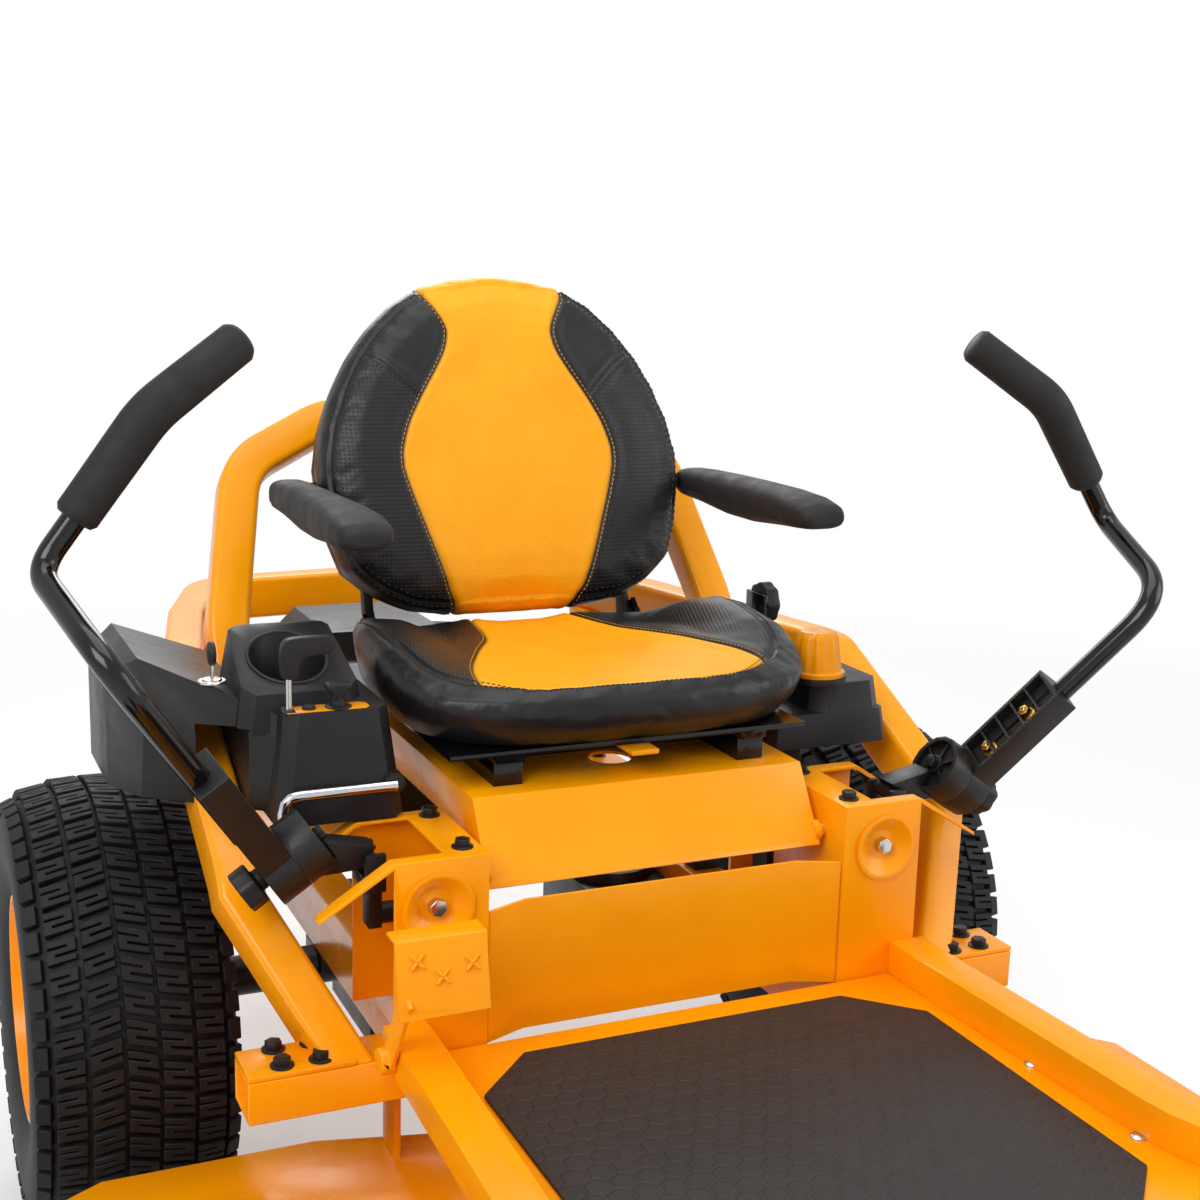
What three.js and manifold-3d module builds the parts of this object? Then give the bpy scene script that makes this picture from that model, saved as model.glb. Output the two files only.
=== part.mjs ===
// Zero-turn riding lawn mower, in millimetres.
// +Z is up and the front faces -Y, so +X is the machine's left.
// While it is modelled, x = 0 is the middle, y = 0 the rear axle and z = 0 the ground.

import * as THREE from 'three';
import { mergeVertices } from 'three/addons/utils/BufferGeometryUtils.js';
import Module from 'manifold-3d';

const wasm = await Module();
wasm.setup();

// Clearances and overruns
const SEAT_GAP = 0.3;
const CUT_OVERRUN = 3;
const RUNNING_GAP = 0.5;

// Rear wheels
const REAR_RADIUS = 279;
const REAR_WIDTH = 232;
const REAR_OUTER_FACE = 650;
const REAR_RIM_RADIUS = 140;
const REAR_RIM_INSET = 12;
const REAR_RIM_WALL = 7;
const REAR_DISC_SHARE = 0.62;
const REAR_HUB_RADIUS = 42;
const REAR_AXLE_RADIUS = 16;
const REAR_AXLE_DEPTH = 60;

// Casters
const CASTER_X = 500;
const CASTER_Y = -1230;
const CASTER_TRAIL = 65;
const CASTER_RADIUS = 165;
const CASTER_WIDTH = 160;
const CASTER_RIM_RADIUS = 78;
const CASTER_HUB_RADIUS = 26;
const FORK_GAP = 8;
const FORK_LEG = 8;
const FORK_LEG_WIDTH = 56;
const FORK_AXLE_RADIUS = 13;
const FORK_CROWN = 12;
const FORK_CROWN_CLEARANCE = 20;
const STEM_RADIUS = 15;
const STEM_RISE = 112;
const STEM_CAP_RADIUS = 24;
const STEM_CAP = 14;
const SOCKET_RADIUS = 32;
const SOCKET_HEIGHT = 80;

// Frame
const RAIL_X = 245;
const RAIL_WIDTH = 50;
const RAIL_BOTTOM = 306;
const RAIL_TOP = 388;
const RAIL_WALL = 4;
const RAIL_REAR = 430;
const RAIL_FRONT = -1040;
const OUTRIGGER_REACH = 468;
const OUTRIGGER_REAR = -440;
const OUTRIGGER_DEPTH = 64;
const OUTRIGGER_HEIGHT = 46;
const ARM_WIDTH = 45;
const ARM_HEIGHT = 38;
const ARM_X = 308;
const ARM_FRONT_X = 322;
const ARM_BEND_Y = -960;
const ARM_BEND_RADIUS = 150;
const PLATE_HALF_WIDTH = 352;
const PLATE_FRONT = 90;
const PLATE_REAR = 482;
const PLATE = 6;
const HITCH_HALF_WIDTH = 60;
const HITCH_REACH = 60;
const HITCH_HOLE_RADIUS = 10;

// Floor
const FLOOR = 3;
const FLOOR_HALF_WIDTH = 330;
const FLOOR_REAR = -511;
const FLOOR_FRONT = -1075;
const FLOOR_LIP = 60;
const FLOOR_LIP_TILT = 24;
const MAT = 5;
const MAT_SIDE_GAP = 23.5;
const MAT_HALF_WIDTH = ARM_X - ARM_WIDTH / 2 - MAT_SIDE_GAP;
const MAT_REAR = -552;
const MAT_FRONT = -1040;
const MAT_CORNER = 70;

// Guard rails beside and behind the operator
const GUARD_WIDTH = 50;
const GUARD_TOP = 700;
const GUARD_HEIGHT = 65;
const GUARD_SIDE_X = 445;
const GUARD_SIDE_REAR_Y = -80;
const GUARD_RUN_BEND_Y = -60;
const GUARD_ARCH_Y = -104;
const GUARD_KNEE_Y = -352;
const GUARD_KNEE_Z = 545;
const GUARD_LEAN = 76;
const GUARD_FOOT_Y = -462;
const GUARD_ARCH_RADIUS = 110;
const GUARD_FOOT_RADIUS = 90;
const GUARD_QUARTER_X = 366;
const GUARD_QUARTER_Y = 330;
const GUARD_CORNER_X = 296;
const GUARD_CORNER_Y = 548;
const GUARD_REAR_Y = 572;
const GUARD_CORNER_RADIUS = 110;
const GUARD_JOIN_GAP = 0.6;
const GUARD_FOOT_FLANGE = 112;
const GUARD_FLANGE = 6;
const GUARD_POST = 48;
const GUARD_POST_Y = 455;

// Seat hoop behind the backrest
const HOOP_TUBE = 54;
const HOOP_DEPTH = 48;
const HOOP_LEAN = 29;
const HOOP_BASE_Y = 66;
const HOOP_BASE_Z = 652;
const HOOP_FOOT_X = 356;
const HOOP_KNEE_RISE = 75;
const HOOP_SHOULDER_X = 312;
const HOOP_SHOULDER_RISE = 300;
const HOOP_CROWN_X = 190;
const HOOP_CROWN_RISE = 366;
const HOOP_BEND_RADIUS = 90;
const HOOP_KNEE_RADIUS = 200;

// Towers beside the seat pan
const TOWER_INNER_X = 216;
const TOWER_WIDTH = 102;
const TOWER_FRONT = -508;
const TOWER_REAR = -352;
const TOWER_TOP = 601;
const TOWER_WALL = 4;
const TOWER_SLOT_X = 261;
const TOWER_SLOT_FRONT = -489;
const TOWER_SLOT_REAR = -371;
const TOWER_LIP_X = 396;
const TOWER_LIP_DROP = 50;
const TOWER_DIMPLE_RADIUS = 40;
const TOWER_DIMPLE_DEPTH = 9;
const TOWER_DIMPLE_X = 271;
const TOWER_DIMPLE_Z = 548;
const TOWER_DIMPLE_FLOOR_SHARE = 0.45;

// Panel under the seat apron
const PANEL_HALF_WIDTH = 166;
const PANEL_FACE_Y = -484;
const PANEL_FLANGE_X = TOWER_INNER_X - 3 * SEAT_GAP;
const PANEL_FLANGE_Y = -504;
const PANEL_TOP = 536;

// Console on the machine's right
const CONSOLE_INNER_X = 262;
const CONSOLE_OUTER_X = 404;
const CONSOLE_FRONT = -372;
const CONSOLE_REAR = -150;
const CONSOLE_BOTTOM = 604;
const CONSOLE_TOP = 724;
const CONSOLE_TAPER = 28;
const CUP_HOUSING_TOP = 788;
const CUP_HOUSING_FRONT = -322;
const CUP_LIP = 10;
const CUP_SHELF = 22;
const CUP_X = 364;
const CUP_Y = -258;
const CUP_RADIUS = 42;
const CUP_DEPTH = 98;
const WING_OUTER_X = 548;
const WING_BOTTOM = 606;
const WING_FRONT = -336;
const WING_TOP = 764;
const WING_REAR = -30;
const CONSOLE_LEG = 5;

// Fuel tank on the machine's left
const TANK_INNER_X = 284;
const TANK_OUTER_X = 398;
const TANK_FRONT = -318;
const TANK_REAR = -70;
const TANK_BOTTOM = 612;
const TANK_TOP = 690;
const TANK_TAPER = 10;
const TANK_CORNER = 18;
const TANK_SUMP_TOP = 654;
const CAP_X = 312;
const CAP_Y = -274;
const CAP_RADIUS = 33;
const CAP_TOP_RADIUS = 24;
const CAP_HEIGHT = 56;
const CAP_FLANGE_RADIUS = 36;
const CAP_FLANGE = 7;
const CAP_FLUTES = 8;
const CAP_FLUTE_SHARE = 0.07;
const NECK_RADIUS = 38;
const NECK = 5;
const TANK_SHELF = 5;
const TANK_SHELF_LEG = 6;

// Engine
const ENGINE_Y = 300;
const CRANKCASE_RADIUS = 130;
const CRANKCASE_HEIGHT = 150;
const CYLINDER_WIDTH = 118;
const CYLINDER_HEIGHT = 104;
const CYLINDER_REACH = 232;
const CYLINDER_ANGLE = 38;
const FIN_COUNT = 5;
const FIN = 6;
const FIN_PROUD = 9;
const MUFFLER_RADIUS = 44;
const MUFFLER_HALF_LENGTH = 150;
const MUFFLER_Y = 500;
const MUFFLER_RISE = 74;
const EXHAUST_RADIUS = 16;
const SHROUD_RADIUS = 150;
const SHROUD_HEIGHT = 74;
const SCREEN_RADIUS = 92;
const SCREEN_HEIGHT = 26;
const AIRBOX_WIDTH = 230;
const AIRBOX_FRONT = -120;
const AIRBOX_DEPTH = 190;
const AIRBOX_HEIGHT = 66;
const AIRBOX_X = -118;
const AIRBOX_CHAMFER = 34;

// Transaxles
const AXLE_CASE_INNER = 96;
const AXLE_CASE_HALF_DEPTH = 92;
const AXLE_CASE_BOTTOM = 196;
const AXLE_CASE_TOP = 356;
const AXLE_TUBE_RADIUS = 26;
const AXLE_TUBE_END = 402;
const AXLE_FAN_RADIUS = 62;
const AXLE_FAN = 16;
const AXLE_PAD_HALF = 40;

// Seat pan and slides
const PAN_HALF_WIDTH = 204;
const TANK_PAN_GAP = 20;
const TANK_SUMP_INNER_X = PAN_HALF_WIDTH + TANK_PAN_GAP;
const PAN_TOP = 632;
const PAN = 4;
const PAN_FOLD_Y = -421;
const PAN_REAR = 40;
const PAN_APRON_Y = -473;
const PAN_APRON_Z = 547;
const PAN_FLANGE = 42;
const PAN_EAR = 26;
const PAN_PIN_RADIUS = 8;
const PAN_HOLE_RADIUS = 26;
const PAN_HOLE_Y = -330;
const SLIDE_X = 152;
const SLIDE_WIDTH = 34;
const SLIDE_HEIGHT = 27;
const SLIDE_FRONT = -393;
const SLIDE_REAR = -40;
const SLIDE_TIE = 24;
const SLIDE_TIE_HEIGHT = 6;
const BASE = 6;
const BASE_BLOCK_HEIGHT = 14;
const BASE_HALF_WIDTH = 222;
const BASE_FRONT = -400;
const BASE_REAR = 60;
const BASE_EAR_INSET = 32;
const BASE_EAR_X = BASE_HALF_WIDTH - BASE_EAR_INSET;
const BASE_EAR = 6;
const BASE_EAR_HALF_DEPTH = 22;
const RECLINE_Y = 22;
const RECLINE_Z = 722;
const RECLINE_PIN_RADIUS = 8;
const KNOB_BRACKET_X = 284;
const KNOB_BRACKET = 5;
const KNOB_BRACKET_HALF_WIDTH = 24;
const KNOB_Y = -160;
const KNOB_Z = 766;
const KNOB_RADIUS = 28;
const KNOB_DEPTH = 18;
const KNOB_LOBES = 8;
const KNOB_LOBE_SHARE = 0.1;
const LATCH_Y = -420;
const LATCH_HALF_WIDTH = 17;
const LATCH_REACH = 44;
const LATCH = 6;

// Cushions
const CUSHION_HALF_WIDTH = 268;
const CUSHION_FRONT = -438;
const CUSHION_REAR = -14;
const CUSHION_SIDE_RISE = 64;
const CUSHION_CROWN = 14;
const CUSHION_BOLSTER = 38;
const CUSHION_CORNER_POWER = 0.68;
const CUSHION_TAPER_SHARE = 0.1;
const CUSHION_COLUMNS = 32;
const BACK_HALF_WIDTH = 252;
const BACK_FRONT_Y = -60;
const BACK_BOTTOM = 758;
const BACK_HEIGHT = 430;
const BACK_LEAN = 16.5;
const BACK_THICKNESS = 84;
const BACK_COLUMNS = 32;
const BACK_SHELL = 16;
const BACK_SHELL_INSET = 9;
const BACK_OUTLINE_SHARES = [
  [0, 0], [0.5, 0.006], [0.7, 0.045], [0.88, 0.115], [0.965, 0.25], [1, 0.38], [0.992, 0.5],
  [0.9, 0.655], [0.762, 0.785], [0.56, 0.905], [0.33, 0.975], [0, 1],
];

// Armrests
const ARMREST_INNER_X = 262;
const ARMREST_WIDTH = 52;
const ARMREST_PIVOT_Y = 40;
const ARMREST_PIVOT_Z = 902;
const ARMREST_PIN_RADIUS = 9;
const ARMREST_LENGTH = 358;
const ARMREST_TAIL_HEIGHT = 40;
const ARMREST_SIDES = 16;
const ARMREST_CORNER_POWER = 0.62;
// Along from the tail, and the half width, rise and drop there
const ARMREST_STATION_SHARES = [
  [0, 0.5, 0.45, 0.45], [0.02, 0.84, 0.8, 0.8], [0.07, 1, 0.98, 0.98], [0.2, 1, 1.12, 1.1],
  [0.4, 1, 1.22, 1.42], [0.58, 1.07, 1.26, 1.4], [0.76, 1.25, 1.24, 1.05], [0.89, 1.35, 1.08, 0.9],
  [0.965, 1.27, 0.75, 0.8], [1, 1, 0.32, 0.62],
];

// Lap levers: sizes along the lever as it stands when it is swung in to drive
const DRIVE_PIN_Y = -430;
const DRIVE_PIN_Z = 520;
const DRIVE_PIN_RADIUS = 12;
const SWING_PIN_X = 325;
const SWING_PIN_Z = 585;
const SWING_PIN_RADIUS = 9;
const SWING_ANGLE = 34;
const YOKE_HALF_WIDTH = 20;
const YOKE = 14;
const SWING_HUB_X = 28;
const SWING_HUB_Z = 58;
const SWING_HUB_RADIUS = 37;
const SWING_HUB_DEPTH = 32;
const SWING_HUB_Y = -10;
const SWING_KNUCKLE_RADIUS = 17;
const SWING_ARM_HALF_WIDTH = 24;
const SWING_RIM = 6;
const SWING_RECESS = 9;
const BRACKET_DEPTH = 34;
const BRACKET_HALF_WIDTH = 27;
const BRACKET_TOP_Z = 210;
const BRACKET_TOP_Y = -74;
const BRACKET_RIB_DEPTH = 14;
const BRACKET_WALL = 5;
const STAR_RADIUS = 24;
const STAR_DEPTH = 20;
const STAR_BOSS_RADIUS = 12;
const STAR_BOSS = 8;
const STAR_LOBES = 7;
const STAR_LOBE_SHARE = 0.12;
const BAR_RADIUS = 12.5;
const BAR_ENTRY_Z = 118;
const BAR_KNEE_Z = 365;
const BAR_KNEE_RADIUS = 62;
const BAR_NECK = 60;
const BAR_NECK_RADIUS = 45;
const GRIP_FOOT_X = 28;
const GRIP_FOOT_Y = 19;
const GRIP_FOOT_Z = 458;
const GRIP_MID_X = -88;
const GRIP_MID_Y = 14;
const GRIP_MID_Z = 501;
const GRIP_TIP_X = -204;
const GRIP_TIP_Y = 45;
const GRIP_TIP_Z = 504;
const GRIP_RADIUS = 23;
const GRIP_BEND_RADIUS = 90;

// Hand controls
const THROTTLE_X = -383;
const THROTTLE_Y = -342;
const THROTTLE_STEM_RADIUS = 4;
const THROTTLE_STEM = 36;
const THROTTLE_FOOT = 8;
const THROTTLE_SLOT = 12;
const THROTTLE_SLOT_GAP = 2;
const THROTTLE_PADDLE_HEIGHT = 44;
const THROTTLE_PADDLE_WIDTH = 20;
const THROTTLE_PADDLE_HOOK = 46;
const THROTTLE_PADDLE = 12;
const PTO_X = -330;
const PTO_Y = -344;
const PTO_STEM_RADIUS = 8;
const PTO_STEM = 14;
const PTO_HALF_WIDTH = 15;
const PTO_HEIGHT = 14;
const KEY_X = -448;
const KEY_Y = -262;
const KEY_HEAD_RADIUS = 16;
const KEY_HEAD = 9;
const KEY_SHAFT_RADIUS = 5;
const KEY_SHAFT = 22;
const KEY_COLLAR_RADIUS = 12;
const INDEX_X = -276;
const INDEX_Y = -381;
const INDEX_Z = 642;
const INDEX_RADIUS = 6;
const INDEX_LENGTH = 124;
const INDEX_DROP = 34;
const INDEX_BEND = 22;
const INDEX_BOSS_RADIUS = 12;
const PEDAL_PIVOT_Y = -545;
const PEDAL_PIVOT_Z = 410;
const PEDAL_INNER_X = 252;
const PEDAL_WIDTH = 94;
const PEDAL_FACE_Y = -596;
const PEDAL_BOTTOM_Z = 482;
const PEDAL_TOP_Z = 556;
const PEDAL_PLATE = 5;
const PEDAL_STEM_WIDTH = 26;
const PEDAL_HUB_RADIUS = 14;
const PEDAL_TILT = 12;

// Mower deck
const DECK_HALF_WIDTH = 700;
const DECK_FRONT = -950;
const DECK_REAR = -306;
const DECK_BOTTOM = 58;
const DECK_TOP = 200;
const DECK_WALL = 5;
const DECK_OUTLINE_SHARES = [
  [-1, 0.1], [-1, 0.8], [-0.72, 1], [0.72, 1], [1, 0.8], [1, 0.22], [0.84, 0.02], [0.5, 0],
  [0.28, 0.06], [-0.28, 0.06], [-0.5, 0], [-0.84, 0],
];
const CHUTE_MOUTH_REAR = -440;
const CHUTE_MOUTH_FRONT = -800;
const CHUTE_MOUTH_TOP = 170;
const SPINDLE_SPACING = 440;
const SPINDLE_SIDE_Y = -600;
const SPINDLE_CENTRE_Y = -700;
const SPINDLE_HOUSING_RADIUS = 48;
const SPINDLE_HOUSING = 18;
const SPINDLE_RADIUS = 12.5;
const BLADE_LENGTH = 430;
const BLADE_WIDTH = 60;
const BLADE = 5;
const BLADE_Z = 84;
const BLADE_LIFT = 18;
const BLADE_HUB_RADIUS = 24;
const PULLEY_RADIUS = 62;
const PULLEY = 22;
const PULLEY_GROOVE_SHARE = 0.84;
const HANGER_WIDTH = 44;
const HANGER = 8;
const HANGER_OVERLAP = 3;
const HANGER_FRONT_Y = -890;
const HANGER_REAR_Y = -360;
const CHUTE_REACH = 255;
const CHUTE_DROP = 92;
const CHUTE_WALL = 5;
const CHUTE_SIDE = 46;
const CHUTE_PIN_RADIUS = 7;
const CHUTE_LUG = 16;

// Facets round a turned part
const WHEEL_FACETS = 24;
const CASTER_FACETS = 16;
const PART_FACETS = 16;
const PIN_FACETS = 12;
const BAR_FACETS = 8;
const BEND_STEPS = 3;

// Finishes
const finish = (color, roughness, metalness) => (
  new THREE.MeshStandardMaterial({ color, roughness, metalness })
);
const YELLOW_PAINT = finish(0xffa505, 0.3, 0.1);
const BLACK_PAINT = finish(0x141312, 0.25, 0.1);
const BLACK_PLASTIC = finish(0x2b2928, 0.5, 0);
const BLACK_CASTING = finish(0x191818, 0.38, 0);
const YELLOW_PLASTIC = finish(0xf2a30d, 0.4, 0);
const VINYL = finish(0x2a2827, 0.45, 0);
const PADDED_FOAM = finish(0x333131, 0.75, 0);
const TYRE_RUBBER = finish(0x1a1a1b, 0.8, 0);
const MAT_RUBBER = finish(0x232324, 0.85, 0);
const BARE_METAL = finish(0xb9babb, 0.35, 0.9);
const CHROME = finish(0xd8d8da, 0.12, 1);

const radians = THREE.MathUtils.degToRad;
const point = (x, y) => new THREE.Vector2(x, y);
const place = (x, y, z) => new THREE.Vector3(x, y, z);

// Signed volume, which is negative where the faces point inwards
function volumeOf(geometry) {
  const position = geometry.getAttribute('position');
  const index = geometry.getIndex();
  const corners = [place(0, 0, 0), place(0, 0, 0), place(0, 0, 0)];
  let volume = 0;
  for (let i = 0; i < index.count; i += 3) {
    corners.forEach((corner, n) => corner.fromBufferAttribute(position, index.getX(i + n)));
    volume += corners[0].dot(corners[1].cross(corners[2])) / 6;
  }
  return volume;
}

// The same shape as one closed skin: corners shared, no empty faces, all faces pointing out
function closed(geometry) {
  const bare = geometry.clone();
  bare.deleteAttribute('normal');
  bare.deleteAttribute('uv');
  const skin = mergeVertices(bare);
  const inward = volumeOf(skin) < 0;
  const corners = skin.getIndex();
  const faces = [];
  for (let i = 0; i < corners.count; i += 3) {
    const face = [0, 1, 2].map((n) => corners.getX(i + n));
    if (new Set(face).size === face.length) {
      faces.push(...(inward ? face.reverse() : face));
    }
  }
  skin.setIndex(faces);
  return skin;
}

const solidOf = (geometry) => {
  const skin = closed(geometry);
  return new wasm.Manifold(new wasm.Mesh({
    numProp: 3,
    vertProperties: new Float32Array(skin.getAttribute('position').array),
    triVerts: new Uint32Array(skin.getIndex().array),
  }));
};

function geometryOf(solid) {
  const { vertProperties, triVerts } = solid.getMesh();
  const geometry = new THREE.BufferGeometry();
  geometry.setAttribute('position', new THREE.BufferAttribute(new Float32Array(vertProperties), 3));
  geometry.setIndex(new THREE.BufferAttribute(new Uint32Array(triVerts), 1));
  return geometry;
}

const join = (...pieces) => geometryOf(pieces.map(solidOf).reduce((whole, piece) => whole.add(piece)));

const cut = (piece, ...tools) => geometryOf(
  tools.map(solidOf).reduce((whole, tool) => whole.subtract(tool), solidOf(piece)),
);

// A copy turned about X, Y and Z in that order, then moved
function moved(geometry, x, y, z, turn = [0, 0, 0]) {
  const copy = geometry.clone();
  copy.rotateX(turn[0]);
  copy.rotateY(turn[1]);
  copy.rotateZ(turn[2]);
  copy.translate(x, y, z);
  return copy;
}

const mirrored = (geometry) => closed(closed(geometry).scale(-1, 1, 1));

const box = (x0, x1, y0, y1, z0, z1) => moved(
  new THREE.BoxGeometry(Math.abs(x1 - x0), Math.abs(y1 - y0), Math.abs(z1 - z0)),
  (x0 + x1) / 2, (y0 + y1) / 2, (z0 + z1) / 2,
);

// A round bar from one point to another, with its flats square to the axes
function rod(from, to, radius, facets = PIN_FACETS, endRadius = radius) {
  const reach = to.clone().sub(from);
  const bar = new THREE.CylinderGeometry(endRadius, radius, reach.length(), facets);
  bar.rotateY(Math.PI / facets);
  const turn = new THREE.Quaternion().setFromUnitVectors(place(0, 1, 0), reach.normalize());
  bar.applyQuaternion(turn);
  const middle = from.clone().add(to).multiplyScalar(0.5);
  return bar.translate(middle.x, middle.y, middle.z);
}

// A round bar through a centre, reaching from one distance to another along X, Y or Z
const AXES = { x: place(1, 0, 0), y: place(0, 1, 0), z: place(0, 0, 1) };
function pin(axis, centre, from, to, radius, facets = PIN_FACETS, endRadius = radius) {
  const start = centre.clone().addScaledVector(AXES[axis], from);
  const end = centre.clone().addScaledVector(AXES[axis], to);
  return rod(start, end, radius, facets, endRadius);
}

// A closed outline pushed out along Z
const slab = (outline, low, high) => moved(
  new THREE.ExtrudeGeometry(
    new THREE.Shape(outline), { depth: high - low, bevelEnabled: false, curveSegments: 1 },
  ),
  0, 0, low,
);

// A slab whose outline is drawn in Y and Z, pushed out along X
const SIDEWAYS = new THREE.Matrix4().makeBasis(place(0, 1, 0), place(0, 0, 1), place(1, 0, 0));
const sideSlab = (outline, low, high) => slab(outline, low, high).applyMatrix4(SIDEWAYS);

// A slab whose outline is drawn in X and Z, pushed out along Y
const frontSlab = (outline, low, high) => slab(outline, -high, -low).rotateX(Math.PI / 2);

// The corners of a path, each replaced by a bend of its radius
function bentPath(corners, radii, steps = BEND_STEPS) {
  const path = [corners[0].clone()];
  for (let i = 1; i < corners.length - 1; i += 1) {
    const before = corners[i - 1].clone().sub(corners[i]);
    const after = corners[i + 1].clone().sub(corners[i]);
    const half = before.angleTo(after) / 2;
    const setBack = Math.min(radii[i - 1] / Math.tan(half), before.length() / 2, after.length() / 2);
    const start = corners[i].clone().add(before.normalize().multiplyScalar(setBack));
    const end = corners[i].clone().add(after.normalize().multiplyScalar(setBack));
    for (let n = 0; n <= steps; n += 1) {
      const t = n / steps;
      path.push(start.clone().multiplyScalar((1 - t) ** 2)
        .add(corners[i].clone().multiplyScalar(2 * t * (1 - t)))
        .add(end.clone().multiplyScalar(t ** 2)));
    }
  }
  path.push(corners.at(-1).clone());
  return path;
}

// The outline of a flat strip of one width along a path
function ribbon(path, width) {
  const sides = [[], []];
  path.forEach((centre, i) => {
    const back = path[Math.max(i - 1, 0)];
    const ahead = path[Math.min(i + 1, path.length - 1)];
    const normal = point(back.y - ahead.y, ahead.x - back.x).normalize();
    sides[0].push(centre.clone().addScaledVector(normal, width / 2));
    sides[1].push(centre.clone().addScaledVector(normal, -width / 2));
  });
  return sides[0].concat(sides[1].reverse());
}

// A path carried on past both of its ends
function overrunPath(path, extra) {
  const start = path[0].clone().sub(path[1]).setLength(extra).add(path[0]);
  const end = path.at(-1).clone().sub(path.at(-2)).setLength(extra).add(path.at(-1));
  return [start, ...path, end];
}

// A bent rectangular tube, open at its ends
function flatTube(path, width, low, high, wall, extrude = slab) {
  const outer = extrude(ribbon(path, width), low, high);
  const bore = extrude(ribbon(overrunPath(path, wall), width - 2 * wall), low + wall, high - wall);
  return cut(outer, bore);
}

// A round tube or bar along a path of points in space
function roundTube(path, radius, facets = BAR_FACETS) {
  const ring = Array.from({ length: facets }, (_, n) => {
    const angle = (2 * Math.PI * (n + 0.5)) / facets;
    return point(radius * Math.cos(angle), radius * Math.sin(angle));
  });
  const heading = (i) => {
    const ahead = path[Math.min(i + 1, path.length - 1)].clone();
    return ahead.sub(path[Math.max(i - 1, 0)]).normalize();
  };
  const turn = new THREE.Quaternion().setFromUnitVectors(AXES.z, heading(0));
  return skinned(path.map((centre, i) => {
    turn.premultiply(new THREE.Quaternion().setFromUnitVectors(heading(Math.max(i - 1, 0)), heading(i)));
    return ring.map((corner) => place(corner.x, corner.y, 0).applyQuaternion(turn).add(centre));
  }));
}

// A closed skin over rings of as many points each, with a flat cap at both ends
function skinned(rings) {
  const sides = rings[0].length;
  const corners = rings.flat();
  const faces = [];
  for (let r = 0; r < rings.length - 1; r += 1) {
    for (let n = 0; n < sides; n += 1) {
      const here = r * sides + n;
      const next = r * sides + ((n + 1) % sides);
      faces.push(here, next, next + sides, here, next + sides, here + sides);
    }
  }
  [0, rings.length - 1].forEach((r) => {
    const middle = rings[r].reduce((sum, corner) => sum.add(corner), place(0, 0, 0)).divideScalar(sides);
    corners.push(middle);
    for (let n = 0; n < sides; n += 1) {
      const edge = [r * sides + n, r * sides + ((n + 1) % sides)];
      faces.push(corners.length - 1, ...(r === 0 ? edge.reverse() : edge));
    }
  });
  const geometry = new THREE.BufferGeometry();
  geometry.setAttribute(
    'position', new THREE.Float32BufferAttribute(corners.flatMap((c) => c.toArray()), 3),
  );
  geometry.setIndex(faces);
  return geometry;
}

// A turned part round the X axis; its flats face up, down, front and rear.
// The profile is [along X, radius] pairs and each radius is measured to the flats.
function turned(profile, facets) {
  const stretch = 1 / Math.cos(Math.PI / facets);
  const lathe = new THREE.LatheGeometry(
    profile.map(([x, radius]) => point(radius * stretch, x)), facets, Math.PI / facets,
  );
  return lathe.rotateZ(-Math.PI / 2);
}

// A flower-shaped outline for a knob that is turned by hand
const lobedOutline = (radius, lobes, share, steps = 6) => Array.from({ length: lobes * steps }, (_, n) => {
  const angle = (2 * Math.PI * n) / (lobes * steps);
  const reach = radius * (1 - share * (0.5 - 0.5 * Math.cos(lobes * angle)));
  return point(reach * Math.cos(angle), reach * Math.sin(angle));
});

const mower = new THREE.Group();

function add(name, geometry, material, parent = mower) {
  const mesh = new THREE.Mesh(closed(geometry), material);
  mesh.name = name;
  parent.add(mesh);
  return mesh;
}

// The left piece as it is drawn and the right one as its mirror image
function addPair(name, geometry, material) {
  add(`${name}_left`, geometry, material);
  add(`${name}_right`, mirrored(geometry), material);
}

// Straight side rails with an outrigger that carries the guard rail's foot
function buildRails() {
  const inner = RAIL_X - RAIL_WIDTH / 2;
  const outer = RAIL_X + RAIL_WIDTH / 2;
  const beam = box(inner, outer, RAIL_FRONT, RAIL_REAR, RAIL_BOTTOM, RAIL_TOP);
  const bore = box(
    inner + RAIL_WALL, outer - RAIL_WALL, RAIL_FRONT - CUT_OVERRUN, RAIL_REAR + CUT_OVERRUN,
    RAIL_BOTTOM + RAIL_WALL, RAIL_TOP - RAIL_WALL,
  );
  const outriggerFront = OUTRIGGER_REAR - OUTRIGGER_DEPTH;
  const outriggerBottom = RAIL_TOP - OUTRIGGER_HEIGHT;
  const outrigger = box(
    outer - RAIL_WALL, OUTRIGGER_REACH, outriggerFront, OUTRIGGER_REAR, outriggerBottom, RAIL_TOP,
  );
  const outriggerBore = box(
    outer, OUTRIGGER_REACH + CUT_OVERRUN, outriggerFront + RAIL_WALL, OUTRIGGER_REAR - RAIL_WALL,
    outriggerBottom + RAIL_WALL, RAIL_TOP - RAIL_WALL,
  );
  addPair('frame_rail', cut(join(cut(beam, bore), outrigger), outriggerBore), YELLOW_PAINT);
}

// Front arms that lie on the floor's edges and end in the caster sockets
const FLOOR_TOP = RAIL_TOP + SEAT_GAP + FLOOR;
const ARM_BOTTOM = FLOOR_TOP + SEAT_GAP;
const ARM_REAR = TOWER_FRONT - SEAT_GAP;
const SOCKET_BOTTOM = ARM_BOTTOM + (ARM_HEIGHT - SOCKET_HEIGHT) / 2;

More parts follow.
